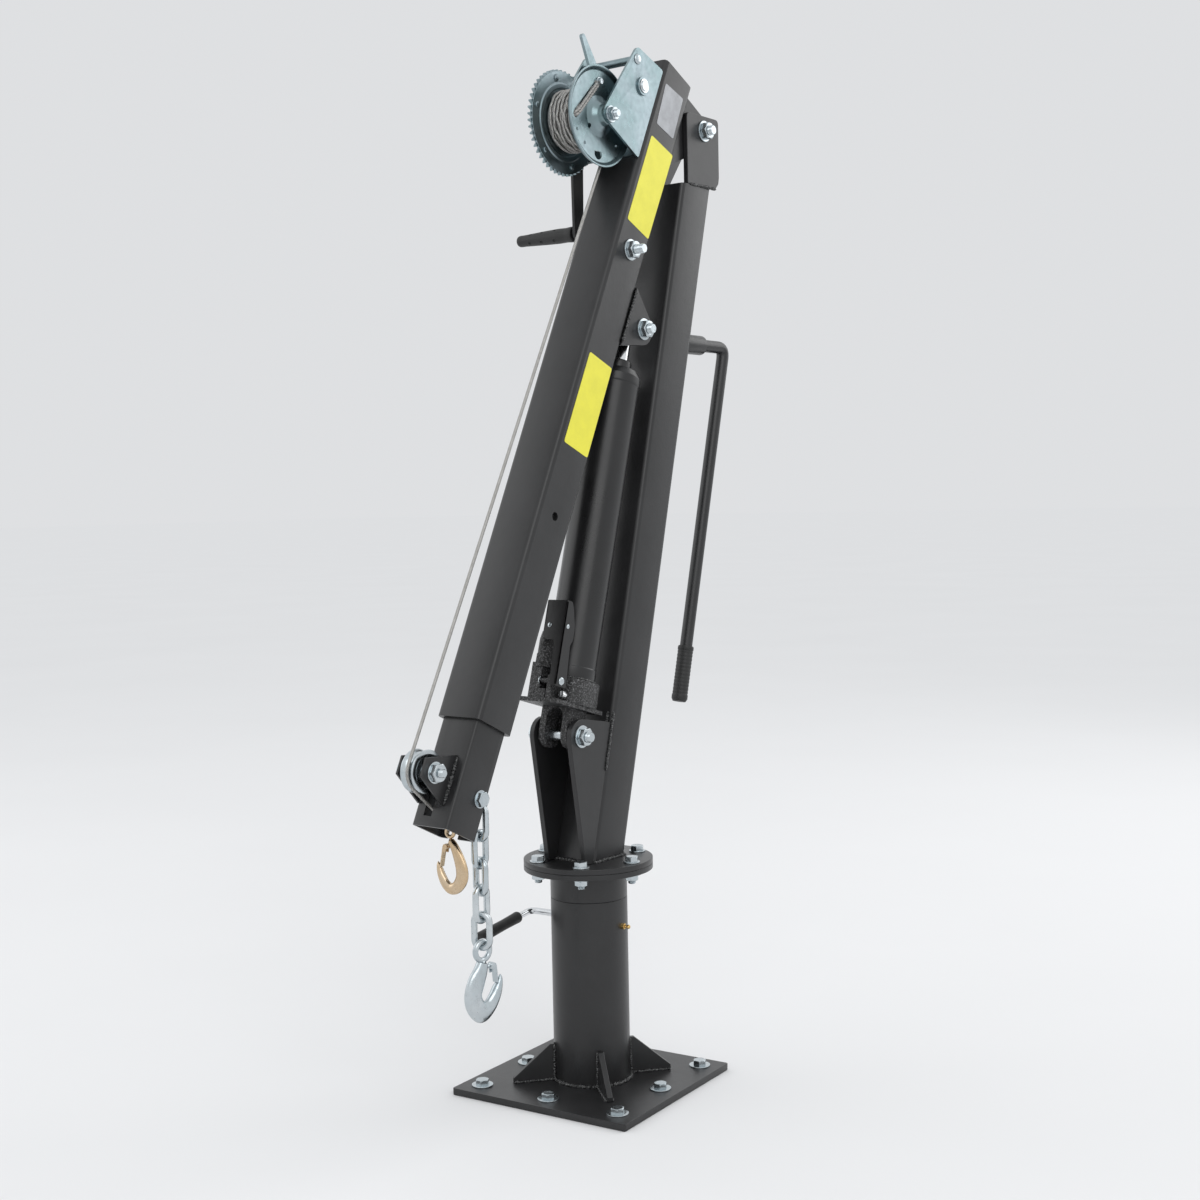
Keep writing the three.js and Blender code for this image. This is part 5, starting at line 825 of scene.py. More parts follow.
class Workshop:
    """Makes the crane's pieces in the frame and counts them."""

    def __init__(self) -> None:
        """Builds the finishes and reads the names of the record's material slots."""
        self.finishes = all_finishes()
        self.slots = {material["slot"] for material in frame["record"]["materials"]}
        self.made = 0

    def _object(self, name: str, mesh: bpy.types.Mesh, finish: Finish, body: str | None,
                stands_for: tuple) -> bpy.types.Object:
        """Links a mesh as a piece of the crane.

        Args:
            name: the piece's name.
            mesh: its mesh.
            finish: its finish.
            body: the body that it rides on, or none for a piece on no body.
            stands_for: the nodes that it replaces.

        Returns:
            The piece.
        """
        mesh.polygons.foreach_set("use_smooth", np.ones(len(mesh.polygons), bool))
        mesh.set_sharp_from_angle(angle=math.radians(SMOOTH_DEG))
        mesh.materials.clear()
        mesh.materials.append(self.finishes[finish])
        piece = bpy.data.objects.new(name, mesh)
        bpy.context.scene.collection.objects.link(piece)
        if body is not None:
            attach(piece, body)
        if stands_for:
            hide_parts(*stands_for)
        self.made += 1
        LOG.info("%s: %d faces on %s", name, len(mesh.polygons), body)
        return piece

    def form(self, name: str, skins: list[Skin], finish: Finish, body: str | None,
             stands_for: tuple = ()) -> bpy.types.Object:
        """Makes one piece from surfaces, whose ends are capped.

        Args:
            name: the piece's name.
            skins: its surfaces, in millimetres in the crane's frame.
            finish: its finish.
            body: the body that it rides on, or none for a piece on no body.
            stands_for: the nodes that it replaces.

        Returns:
            The piece.
        """
        points, faces, start = [], [], 0
        for skin in skins:
            count, sides = skin.rows.shape[:2]
            points.append(skin.rows.reshape(-1, 3))
            row = np.arange(count if skin.loop else count - 1)[:, None]
            side = np.arange(sides)[None]
            after, beside = (row + 1) % count, (side + 1) % sides
            quads = np.stack((row * sides + side, row * sides + beside, after * sides + beside,
                              after * sides + side), axis=-1)
            faces += (quads.reshape(-1, 4) + start).tolist()
            if not skin.loop:
                faces.append((start + np.arange(sides)[::-1]).tolist())
                faces.append((start + (count - 1) * sides + np.arange(sides)).tolist())
            start += count * sides
        mesh = bpy.data.meshes.new(name)
        mesh.from_pydata((np.concatenate(points) * MM).tolist(), [], faces)
        if any(skin.groove is not None for skin in skins):
            depth = mesh.attributes.new("groove", "FLOAT", "POINT")
            depth.data.foreach_set("value", np.concatenate([skin.groove.ravel() for skin in skins]))
        shape = bmesh.new()
        shape.from_mesh(mesh)
        bmesh.ops.remove_doubles(shape, verts=shape.verts, dist=1e-6)
        loose = [face for face in shape.faces if face.calc_area() < 1e-14]
        bmesh.ops.delete(shape, geom=loose, context="FACES_ONLY")
        bmesh.ops.recalc_face_normals(shape, faces=shape.faces)
        shape.to_mesh(mesh)
        shape.free()
        return self._object(name, mesh, finish, body, stands_for)

    def weld(self, name: str, beads: list[Skin], body: str) -> None:
        """Makes one piece of weld beads."""
        self.form(name, beads, Finish.WELD, body)

    def dressed(self, node: str, finish: Finish, body: str, edge: float = 0.8, segments: int = 2) -> None:
        """Makes a copy of a solid with its doubles merged, its flat faces joined and its edges rounded.

        Args:
            node: the solid.
            finish: its finish.
            body: the body that it rides on.
            edge: the width of its rounded edges.
            segments: the steps of each rounded edge.
        """
        mesh = frame["nodes"][node].data.copy()
        shape = bmesh.new()
        shape.from_mesh(mesh)
        bmesh.ops.remove_doubles(shape, verts=shape.verts, dist=2e-6)
        bmesh.ops.dissolve_limit(shape, angle_limit=math.radians(0.6), verts=shape.verts, edges=shape.edges)
        shape.to_mesh(mesh)
        shape.free()
        piece = self._object(f"{node}_form", mesh, finish, body, (node,))
        self.round_edges(piece, edge, segments)

    def joined(self, name: str, nodes: tuple, place: Placing, seam: float, finish: Finish, body: str,
               edge: float) -> None:
        """Makes copies of two solids into one tube where their ends meet across a hair's gap.

        Points near the seam are set on it, the end faces there are deleted and the doubles merged.

        Args:
            name: the piece's name.
            nodes: the two solids.
            place: the frame whose Z runs along the tube.
            seam: the seam's height in that frame.
            finish: its finish.
            body: the body that it rides on.
            edge: the width of its rounded edges.
        """
        shape = bmesh.new()
        for node in nodes:
            shape.from_mesh(frame["nodes"][node].data)
        bmesh.ops.remove_doubles(shape, verts=shape.verts, dist=2e-6)
        on_seam = set()
        for vert in shape.verts:
            local = place.turn @ (np.array(vert.co) / MM - place.origin)
            if abs(local[2] - seam) < 0.5:
                local[2] = seam
                vert.co = Vector(place.carry(local) * MM)
                on_seam.add(vert)
        ends = [face for face in shape.faces if on_seam.issuperset(face.verts)]
        bmesh.ops.delete(shape, geom=ends, context="FACES_ONLY")
        bmesh.ops.remove_doubles(shape, verts=shape.verts, dist=2e-5)
        bmesh.ops.dissolve_limit(shape, angle_limit=math.radians(0.6), verts=shape.verts, edges=shape.edges)
        mesh = bpy.data.meshes.new(name)
        shape.to_mesh(mesh)
        shape.free()
        piece = self._object(name, mesh, finish, body, nodes)
        self.round_edges(piece, edge, 3)

    def round_edges(self, piece: bpy.types.Object, edge: float, segments: int = 2) -> None:
        """Rounds a piece's sharp edges.

        Args:
            piece: the piece.
            edge: the width of each rounded edge, in millimetres.
            segments: the steps of each rounded edge.
        """
        bevel = piece.modifiers.new("rounded_edges", "BEVEL")
        bevel.width = edge * MM
        bevel.segments = segments
        bevel.limit_method = "ANGLE"
        bevel.angle_limit = math.radians(SMOOTH_DEG)
        bevel.harden_normals = True
        bevel.use_clamp_overlap = True

    def cut(self, piece: bpy.types.Object, cutters: list[Skin]) -> None:
        """Cuts surfaces out of a piece for good.

        Args:
            piece: the piece.
            cutters: the surfaces of what is cut away.
        """
        tool = self.form("cutter", cutters, Finish.ZINC, "root")
        change = piece.modifiers.new("cut", "BOOLEAN")
        change.operation = "DIFFERENCE"
        change.object = tool
        change.solver = "EXACT"
        graph = bpy.context.evaluated_depsgraph_get()
        mesh = bpy.data.meshes.new_from_object(piece.evaluated_get(graph))
        piece.modifiers.remove(change)
        piece.data = mesh
        bpy.data.objects.remove(tool)
        self.made -= 1
        mesh.polygons.foreach_set("use_smooth", np.ones(len(mesh.polygons), bool))
        mesh.set_sharp_from_angle(angle=math.radians(SMOOTH_DEG))


# Fasteners


@dataclass(frozen=True)
class Fastener:
    """A hexagon bolt set of one size: head, washers, nut and threaded end."""

    radius: float
    flat_share: float = 1.5
    head_share: float = 1.22
    washer_share: float = 2.05
    washer_height_share: float = 0.34
    tail_share: float = 0.86
    pitch_share: float = 0.25

    @property
    def washer_height(self) -> float:
        """The washer's thickness."""
        return self.radius * self.washer_height_share

    @property
    def head_height(self) -> float:
        """The height of head and nut."""
        return self.radius * self.head_share

    def end(self, place: Rows, direction: Rows, nut: bool, tail: float | None = None,
            washer_radius: float | None = None) -> list[Skin]:
        """One end of a bolt on a face: a washer with the head, or with the nut and the thread's end.

        Args:
            place: the point on the face.
            direction: the way out of the face.
            nut: whether this is the nut's end.
            tail: how far the thread stands out of the nut.
            washer_radius: the washer's radius, if it isn't the usual one.

        Returns:
            The surfaces.
        """
        foot = along(place, direction)
        ring = washer(washer_radius or self.radius * self.washer_share, self.radius, self.washer_height)
        seat = along(foot.at(0, 0, self.washer_height), direction)
        head = hex_head(self.radius * self.flat_share, self.head_height, both=nut)
        skins = [ring.placed(foot), head.placed(seat)]
        if nut:
            tail = self.radius * self.tail_share if tail is None else tail
            top = along(seat.at(0, 0, self.head_height - 1.0), direction)
            skins.append(thread(self.radius * 0.97, tail + 1.0, self.radius * self.pitch_share).placed(top))
        return skins

    def through(self, low: Rows, high: Rows) -> list[Skin]:
        """A bolt through two faces.

        Args:
            low: the point on the face that takes the head.
            high: the point on the face that takes the nut.

        Returns:
            The surfaces.
        """
        way = unit(high - low)
        return [*self.end(low, -way, False), *self.end(high, way, True),
                shank(self.radius, np.linalg.norm(high - low)).placed(along(low, way))]


M16 = Fastener(8.0)
M12 = Fastener(6.0)
HEAVY = Fastener(7.4, flat_share=1.6, head_share=1.3, washer_share=2.15)
PULLEY_BOLT = Fastener(6.0, flat_share=1.95, head_share=1.5, washer_share=2.45, tail_share=1.1)
CHAIN_BOLT = Fastener(5.5, flat_share=1.75, washer_share=2.25)


# The crane's sub-assemblies


@dataclass
class Base:
    """Base plate with gussets, the column on it, its grease nipple and the bolts of the plate."""

    shop: Workshop
    turn: Placing = field(default_factory=base_turn)
    column_radius: float = 57.15
    column_wall: float = 6.0
    column_low: float = 10.3
    column_high: float = 284.0
    plate_top: float = 10.0
    hole_reach: float = 118.0
    gusset_low: float = 57.5
    gusset_high: float = 120.0
    gusset_rise: float = 64.0
    gusset_half: float = 4.0
    nipple_height: float = 244.0
    weld: float = 3.2

    def build(self) -> None:
        """Builds and dresses the fixed parts."""
        self.shop.dressed("base_plate", Finish.GREY_PAINT, "root", 1.2, 3)
        for index in range(1, 5):
            self.shop.dressed(f"gusset_{index}", Finish.GREY_PAINT, "root", 0.9, 3)
        self.column()
        self.welds()
        self.nipple()
        self.bolts()

    def column(self) -> None:
        """Makes the column: a tube turned round the vertical."""
        outer, inner = self.column_radius, self.column_radius - self.column_wall
        wall = np.array(((inner, self.column_low), (outer, self.column_low), (outer, self.column_high),
                         (inner, self.column_high)))
        self.shop.form("column_form", [turned(wall, 0.9, 3, 128, loop=True)],
                       Finish.GREY_PAINT, "root", ("column_tube",))

    def welds(self) -> None:
        """Lays the weld round the column's foot and along both sides of each gusset."""
        foot = level_circle(self.column_radius + 0.8, 96, self.column_low + 1.1)
        self.shop.weld("column_foot_weld", [bead(foot, self.weld, Z_AXIS, 3, loop=True)], "root")
        skins = []
        for index in range(4):
            corner = turned_about_z(BASE_TURN_DEG + 45 + 90 * index)
            for side in (-1, 1):
                away = side * (self.gusset_half + 0.6)
                line = ((self.gusset_high, away, 11.0), (self.gusset_low + 2, away, 11.0),
                        (self.gusset_low + 1, away, 14.0), (self.gusset_low + 0.6, away, self.gusset_rise))
                run = corner.carry(eased(line, 4.0))
                skins.append(bead(run, 2.3, corner.way(0, 1, 0), 11 * index + side))
        self.shop.weld("gusset_welds", skins, "root")

    def nipple(self) -> None:
        """Makes the grease nipple: a hexagon foot and a turned head."""
        foot = along(self.turn.at(self.column_radius - 1.0, 0, self.nipple_height), self.turn.way(1, 0, 0))
        head = turned(((0, 5), (2.6, 5), (2.6, 8), (1.9, 9.5), (3.2, 11.5), (3.2, 13.2), (1.8, 14.8),
                      (0, 15)), 0.6, 2, 32)
        self.shop.form("grease_nipple_form", [hex_head(4.0, 6.0).placed(foot), head.placed(foot)],
                       Finish.BRASS, "root", ("grease_nipple",))

    def bolts(self) -> None:
        """Makes the eight bolts of the plate, each on its washer, with a shank that ends in the plate."""
        skins = []
        for east in (-1, 0, 1):
            for north in (-1, 0, 1):
                if east == 0 and north == 0:
                    continue
                at = self.turn.at(east * self.hole_reach, north * self.hole_reach, self.plate_top)
                skins += M12.end(at, Z_AXIS, False, washer_radius=16.0)
                foot = Placing(at * (1, 1, 0), np.eye(3))
                skins.append(shank(M12.radius, self.plate_top + 0.5, 0.5).placed(foot))
        self.shop.form("base_bolts", skins, Finish.ZINC, "root")


@dataclass
class LockScrew:
    """The bent screw that holds the swivel, with its rubber grip and the nut it runs in."""

    shop: Workshop
    turn: Placing = field(default_factory=base_turn)
    height: float = 249.0
    start: float = 51.1
    corner: float = 107.15
    radius: float = 5.0
    handle: float = 141.0
    drop_deg: float = 6.0
    grip_radius: float = 8.8
    grip_length: float = 108.0
    thread_start: float = 60.0
    thread_length: float = 21.0
    thread_pitch: float = 1.5
    nut_start: float = 56.4
    nut_flat: float = 8.5
    nut_height: float = 8.0

    def build(self) -> None:
        """Builds the screw, its grip and its nut."""
        drop = math.radians(self.drop_deg)
        down = np.array((0.0, -math.cos(drop), -math.sin(drop)))
        corner = np.array((-self.corner, 0.0, self.height))
        tip = corner + down * (self.handle - 2)
        line = eased(((-self.start, 0.0, self.height), corner, tip), 13.0, 10)
        rod = carried(self.turn.carry(spaced(line, 2.0)), circle(self.radius, 32), self.turn.way(0, 0.2, 1))
        out = self.turn.way(-1, 0, 0)
        threads = thread(self.radius + 0.05, self.thread_length, self.thread_pitch).placed(
            along(self.turn.at(-self.thread_start, 0, self.height), out))
        self.shop.form("lock_screw_form", [rod, threads], Finish.BRIGHT_STEEL, "lock_screw", ("lock_screw",))
        first = self.turn.carry(corner + down * (self.handle - self.grip_length))
        r = self.grip_radius
        profile = ((0, 0), (5.1, 0), (r - 1.0, 0), (r, 2.5), (r - 0.5, 14), (r - 0.9, 40), (r - 0.2, 88),
                   (r, 100), (r - 1.5, 106), (r - 5, 108), (0, 108))
        grip = turned(profile, 3.0, 3, 48).placed(along(first, self.turn.way(*down)))
        self.shop.form("lock_grip_form", [grip], Finish.BLACK_GRIP, "lock_screw", ("lock_grip",))
        seat = along(self.turn.at(-self.nut_start, 0, self.height), out)
        nut = hex_head(self.nut_flat, self.nut_height, both=True).placed(seat)
        ring = seat.carry(level_circle(9.6, 48, 1.2))
        self.shop.form("lock_nut", [nut], Finish.ZINC, "root")
        self.shop.weld("lock_nut_weld", [bead(ring, 1.5, seat.way(0, 0, 1), 8, loop=True)], "root")


@dataclass
class Swivel:
    """The turning collar with its flange, the mast's flange on it and the six bolts through both."""

    shop: Workshop
    collar_low: float = 284.3
    flange_low: float = 325.9
    flange_seam: float = 334.05
    flange_top: float = 342.2
    collar_radius: float = 57.15
    bore: float = 38.0
    flange_radius: float = 96.3
    bolt_circle: float = 80.0
    bolts: int = 6
    spigot_radius: float = 50.6
    spigot_low: float = 96.0

    def build(self) -> None:
        """Builds the collar, flanges, bolts and welds."""
        seam = self.flange_seam
        lower = ((self.bore, self.spigot_low), (self.spigot_radius, self.spigot_low),
                 (self.spigot_radius, self.collar_low), (self.collar_radius, self.collar_low),
                 (self.collar_radius, self.flange_low), (self.flange_radius, self.flange_low),
                 (self.flange_radius, seam - 0.15), (self.bore, seam - 0.15))
        upper = ((0, seam + 0.15), (self.flange_radius, seam + 0.15), (self.flange_radius, self.flange_top),
                 (0, self.flange_top))
        collar = turned(lower, 0.9, 3, 144, loop=True)
        self.shop.form("swivel_collar_form", [collar], Finish.GREY_PAINT, "turret", ("swivel_collar",))
        self.shop.form("mast_flange_form", [turned(upper, 0.9, 3, 144)], Finish.GREY_PAINT,
                       "turret", ("mast_flange",))
        skins = []
        for index in range(self.bolts):
            angle = math.radians((index + 0.5) * 360 / self.bolts + 90)
            spot = np.array((math.cos(angle), math.sin(angle), 0.0)) * self.bolt_circle
            skins += M12.through(spot + (0, 0, self.flange_top), spot + (0, 0, self.flange_low))
        self.shop.form("flange_bolts", skins, Finish.ZINC, "turret")
        under = level_circle(self.collar_radius + 1.0, 96, self.flange_low - 1.0)
        self.shop.weld("collar_weld", [bead(under, 3.0, Z_AXIS, 21, loop=True)], "turret")


@dataclass
class Mast:
    """The leaning mast with its ram plates, head cheeks and pivot bolt, and the slewing handle behind it."""

    shop: Workshop
    lean: float = math.radians(MAST_LEAN_DEG)
    half_tube: float = 38.1
    pivot: tuple = BOOM_PIVOT[1:]
    ram_pin: tuple = RAM_PIN[1:]
    ram_plate: tuple = (474.0, 560.0)
    head_low: float = 1360.0
    cheek_front: float = 244.0
    right_heel: float = 318.0
    left_heel: float = 276.0
    handle_height: float = 1117.0
    socket_start: float = 235.0
    socket_radius: float = 15.5
    socket_end: float = 322.0
    corner: float = 393.0
    rod_radius: float = 10.0
    drop: float = 588.0
    grip_radius: float = 12.8
    grip_length: float = 90.0

    def build(self) -> None:
        """Builds the mast and what is fixed to it."""
        self.shop.dressed("mast_tube", Finish.GREY_PAINT, "turret", 1.8, 3)
        for node in ("mast_ram_plate_right", "mast_ram_plate_left", "head_cheek_right", "head_cheek_left"):
            self.shop.dressed(node, Finish.GREY_PAINT, "turret", 0.9, 3)
        self.bolts()
        self.welds()
        self.handle()

    def bolts(self) -> None:
        """Makes the pivot bolt of the boom and the lower bolt of the ram."""
        for name, node, (y, z) in (("pivot_bolt", "boom_pivot_bolt", self.pivot),
                                   ("lower_ram_bolt_form", "lower_ram_bolt", self.ram_pin)):
            skins = M16.through(np.array((-self.half_tube, y, z)), np.array((self.half_tube, y, z)))
            self.shop.form(name, skins, Finish.ZINC, "turret", (node,))

    def welds(self) -> None:
        """Lays the welds at the mast's foot, the ram plates and the head cheeks."""
        slope = math.tan(self.lean)
        half, deep = self.half_tube + 0.9, self.half_tube / math.cos(self.lean) + 0.9
        foot = eased(((-half, -deep, 0.6), (half, -deep, 0.6), (half, deep, 0.6), (-half, deep, 0.6)),
                     9.0, 4, loop=True) + MAST_FOOT
        skins = [bead(foot, 3.2, Z_AXIS, 31, loop=True)]
        front = MAST_FOOT[1] - deep + 0.9
        for x in (-39.0, -29.0, 29.0, 39.0):
            run = np.array([(x, front + (z - MAST_FOOT[2]) * slope - 0.4, z) for z in self.ram_plate])
            skins.append(bead(run, 2.2, X_AXIS, int(x) + 80))
        for side in (-1, 1):
            x = side * (self.half_tube + 0.3)
            far = self.right_heel if side > 0 else self.left_heel
            run = np.array([(x, y, self.head_low + 0.2) for y in (self.cheek_front, far)])
            skins.append(bead(run, 2.3, X_AXIS, 60 + side))
        self.shop.weld("mast_welds", skins, "turret")

    def handle(self) -> None:
        """Makes the socket, the bent rod in it and its grip."""
        socket = along((0.0, self.socket_start, self.handle_height), Y_AXIS)
        length, bore, outer = self.socket_end - self.socket_start, self.rod_radius + 0.35, self.socket_radius
        wall = ((bore, 0), (outer, 0), (outer, length), (bore, length))
        self.shop.form("handle_socket_form", [turned(wall, 0.8, 3, 64, loop=True).placed(socket)],
                       Finish.GREY_PAINT, "turret", ("handle_socket",))
        seam = socket.carry(level_circle(outer + 0.8, 64, 5.6))
        rise = seam[:, 2:] - self.handle_height
        seam = seam + rise * (0.0, math.tan(self.lean), 0.0)
        self.shop.weld("socket_weld", [bead(seam, 2.2, Y_AXIS, 71, loop=True)], "turret")
        down = np.array((0.0, -math.sin(self.lean), -math.cos(self.lean)))
        elbow = np.array((0.0, self.corner, self.handle_height))
        start = (0.0, self.socket_end - 60, self.handle_height)
        line = eased((start, elbow, elbow + down * (self.drop - 9)), 19.0, 10)
        rod = carried(spaced(line, 3.0), circle(self.rod_radius, 40), X_AXIS)
        self.shop.form("slewing_handle_form", [rod], Finish.GREY_PAINT, "handle", ("slewing_handle",))
        seat = along(elbow + down * (self.drop - self.grip_length), down)
        rib = np.arange(8.0, 76.0, 0.75)
        ridges = self.grip_radius - 0.9 + 0.5 * np.abs(np.sin(rib * math.pi / 6))
        body = np.stack((ridges, rib), axis=-1)
        top = np.array(((0, 0), (10.1, 0), (self.grip_radius - 0.6, 0.0), (self.grip_radius, 2.0),
                        (self.grip_radius, 6.0), (self.grip_radius - 0.9, 7.2)))
        end = np.array(((self.grip_radius - 0.9, 77.0), (self.grip_radius, 79.0), (self.grip_radius, 85.0),
                        (self.grip_radius - 2.5, 89.4), (0, 90)))
        grip = lathe(np.concatenate((top, body, end)), 56).placed(seat)
        self.shop.form("handle_grip_form", [grip], Finish.BLACK_GRIP, "handle", ("handle_grip",))


@dataclass
class Jack:
    """The hydraulic ram: casting with its pump, lever socket and valve, cylinder and chromed rod."""

    shop: Workshop
    place: Placing = field(default_factory=lambda: leaning(RAM_PIN, RAM_LEAN_DEG))
    cylinder_radius: float = 38.0
    cylinder_low: float = 80.3
    cylinder_high: float = 545.0
    gland_radius: float = 21.0
    gland_high: float = 570.0
    rod_radius: float = 15.0
    eye_height: float = 618.85
    eye_radius: float = 16.0
    eye_half: float = 29.8
    pump: tuple = (-9.0, -52.0)
    pump_low: float = 95.0
    collar_flat: float = 11.6
    collar_height: float = 14.0
    lever: tuple = (13.0, -57.0, 70.0)
    valve: tuple = (27.0, -40.0, 53.0)
    socket_low: float = 62.0
    socket_top: float = 186.0
    socket_waist: float = 128.0
    socket_side_low: float = 147.0
    socket_half: float = 18.0
    socket_sheet: float = 3.0
    socket_depth: float = 26.0
    rivet_rise: float = 79.0

    def build(self) -> None:
        """Builds the ram's parts."""
        self.shop.dressed("ram_base", Finish.CAST_BLACK, "jack", 1.6, 3)
        self.socket()
        self.cylinder()
        self.rod()
        self.pump_parts()

    def cylinder(self) -> None:
        """Makes the cylinder: a turned body with a foot ring, a shoulder, a gland and a wiper."""
        r, g = self.cylinder_radius, self.gland_radius
        bore = self.rod_radius + 0.4
        profile = ((0, self.cylinder_low), (r, self.cylinder_low), (r, 98.0), (r - 0.9, 99.5),
                   (r - 0.9, 532.0), (r, 533.5), (r, self.cylinder_high), (33.0, 555.0), (g + 1.5, 555.6),
                   (g, 557.0), (g, self.gland_high - 1.5), (g - 1.5, self.gland_high),
                   (bore, self.gland_high), (bore, 528), (0, 528))
        body = turned(profile, 0.9, 3, 128).placed(self.place)
        self.shop.form("ram_cylinder_form", [body], Finish.BLACK_PAINT, "jack", ("ram_cylinder",))
        ring = self.place.carry(level_circle(r + 0.2, 96, self.cylinder_low + 1.2))
        self.shop.weld("cylinder_weld", [bead(ring, 1.8, self.place.way(0, 0, 1), 5, loop=True)], "jack")

    def socket(self) -> None:
        """Bends the lever's socket: a front plate cut away beside the pump, and a bulged flange each side."""
        x, y, _ = self.lever
        low, top, waist = self.socket_low, self.socket_top, self.socket_waist
        half, sheet, front = self.socket_half, self.socket_sheet, y - self.socket_depth / 2
        face = np.array(((x + half, low), (x + half, top), (x - half, top), (x - half, waist + 6),
                         (x - half + 7, waist), (x + 2.0, waist), (x + 5.0, waist - 9), (x + 7.0, low)))
        rear = front + self.socket_depth
        side = np.array(((front, low), (rear, low), (rear - 5, waist - 4), (rear - 1, waist + 2),
                         (rear, waist + 12), (rear - 1, waist + 25), (rear - 9, top - 9), (rear - 14, top),
                         (front, top)))
        short = side.copy()
        short[:3, 1] = self.socket_side_low
        skins = [slab(eased(face, 2.0, 3, loop=True), front, front + sheet, 1),
                 slab(eased(side, 2.5, 3, loop=True), x + half - sheet, x + half, 0),
                 slab(eased(short, 1.5, 3, loop=True), x - half, x - half + sheet, 0)]
        piece = self.shop.form("pump_socket_form", [skin.placed(self.place) for skin in skins],
                               Finish.BLACK_PAINT, "pump_socket", ("pump_socket",))
        self.shop.round_edges(piece, 0.6)

    def rod(self) -> None:
        """Makes the rod with the eye across its end."""
        r, top = self.rod_radius, self.eye_height - 8
        rod = turned(((0, 90), (r, 90), (r, top), (0, top)), 0.8, sides=64).placed(self.place)
        outer, half = self.eye_radius, self.eye_half
        eye = turned(((8.4, -half), (outer, -half), (outer, half), (8.4, half)), 1.2, 3, 64, loop=True)
        across = along(self.place.at(0, 0, self.eye_height), X_AXIS)
        self.shop.form("ram_rod_form", [rod, eye.placed(across)], Finish.BRIGHT_STEEL, "ram", ("ram_rod",))

    def pump_parts(self) -> None:
        """Makes the pump's collar nut and plunger, the pin of the lever socket and the release valve."""
        x, y = self.pump
        seat = along(self.place.at(x, y, self.pump_low), self.place.way(0, 0, 1))
        collar = hex_head(self.collar_flat, self.collar_height).placed(seat)
        barrel = turned(((0, 10), (11.62, 12), (11.62, 34), (10.6, 37.5), (8.5, 44.4), (7.2, 47.06),
                        (0, 47.06)), 1.2, 3, 48)
        self.shop.form("pump_collar", [collar, barrel.placed(seat)], Finish.CAST_BLACK, "jack")
        lx, ly, lz = self.lever
        half, high = self.socket_half, lz + self.rivet_rise
        dome = turned(((0, 0), (6.2, 0), (5.9, 1.3), (4.2, 2.6), (0, 3.2)), 0.6, sides=32)
        rivet = turned(((0, 0), (3.6, 0), (3.2, 1.1), (1.8, 1.8), (0, 2.0)), 0.4, sides=24)
        pins, rivets = [], []
        for side in (-1, 1):
            out = self.place.way(side, 0, 0)
            pins.append(dome.placed(along(self.place.at(lx + side * half, ly, lz), out)))
            rivets.append(rivet.placed(along(self.place.at(lx + side * half, ly - 4.0, high), out)))
        front = self.place.at(lx - 8.0, ly - self.socket_depth / 2, high)
        rivets.append(rivet.placed(along(front, self.place.way(0, -1, 0))))
        self.shop.form("lever_pin_heads", pins, Finish.ZINC, "pump_socket")
        self.shop.form("socket_rivets", rivets, Finish.ZINC, "pump_socket")
        vx, vy, vz = self.valve
        out = along(self.place.at(vx, vy - 0.3, vz), self.place.way(0, -1, 0))
        stem = lathe(((0, -7.5), (2.4, -7.5), (2.4, 1), (0, 1)), 24).placed(out)
        self.shop.form("release_valve_form", [hex_head(4.6, 7.9).placed(out), stem], Finish.BRIGHT_STEEL,
                       "release_valve", ("release_valve",))


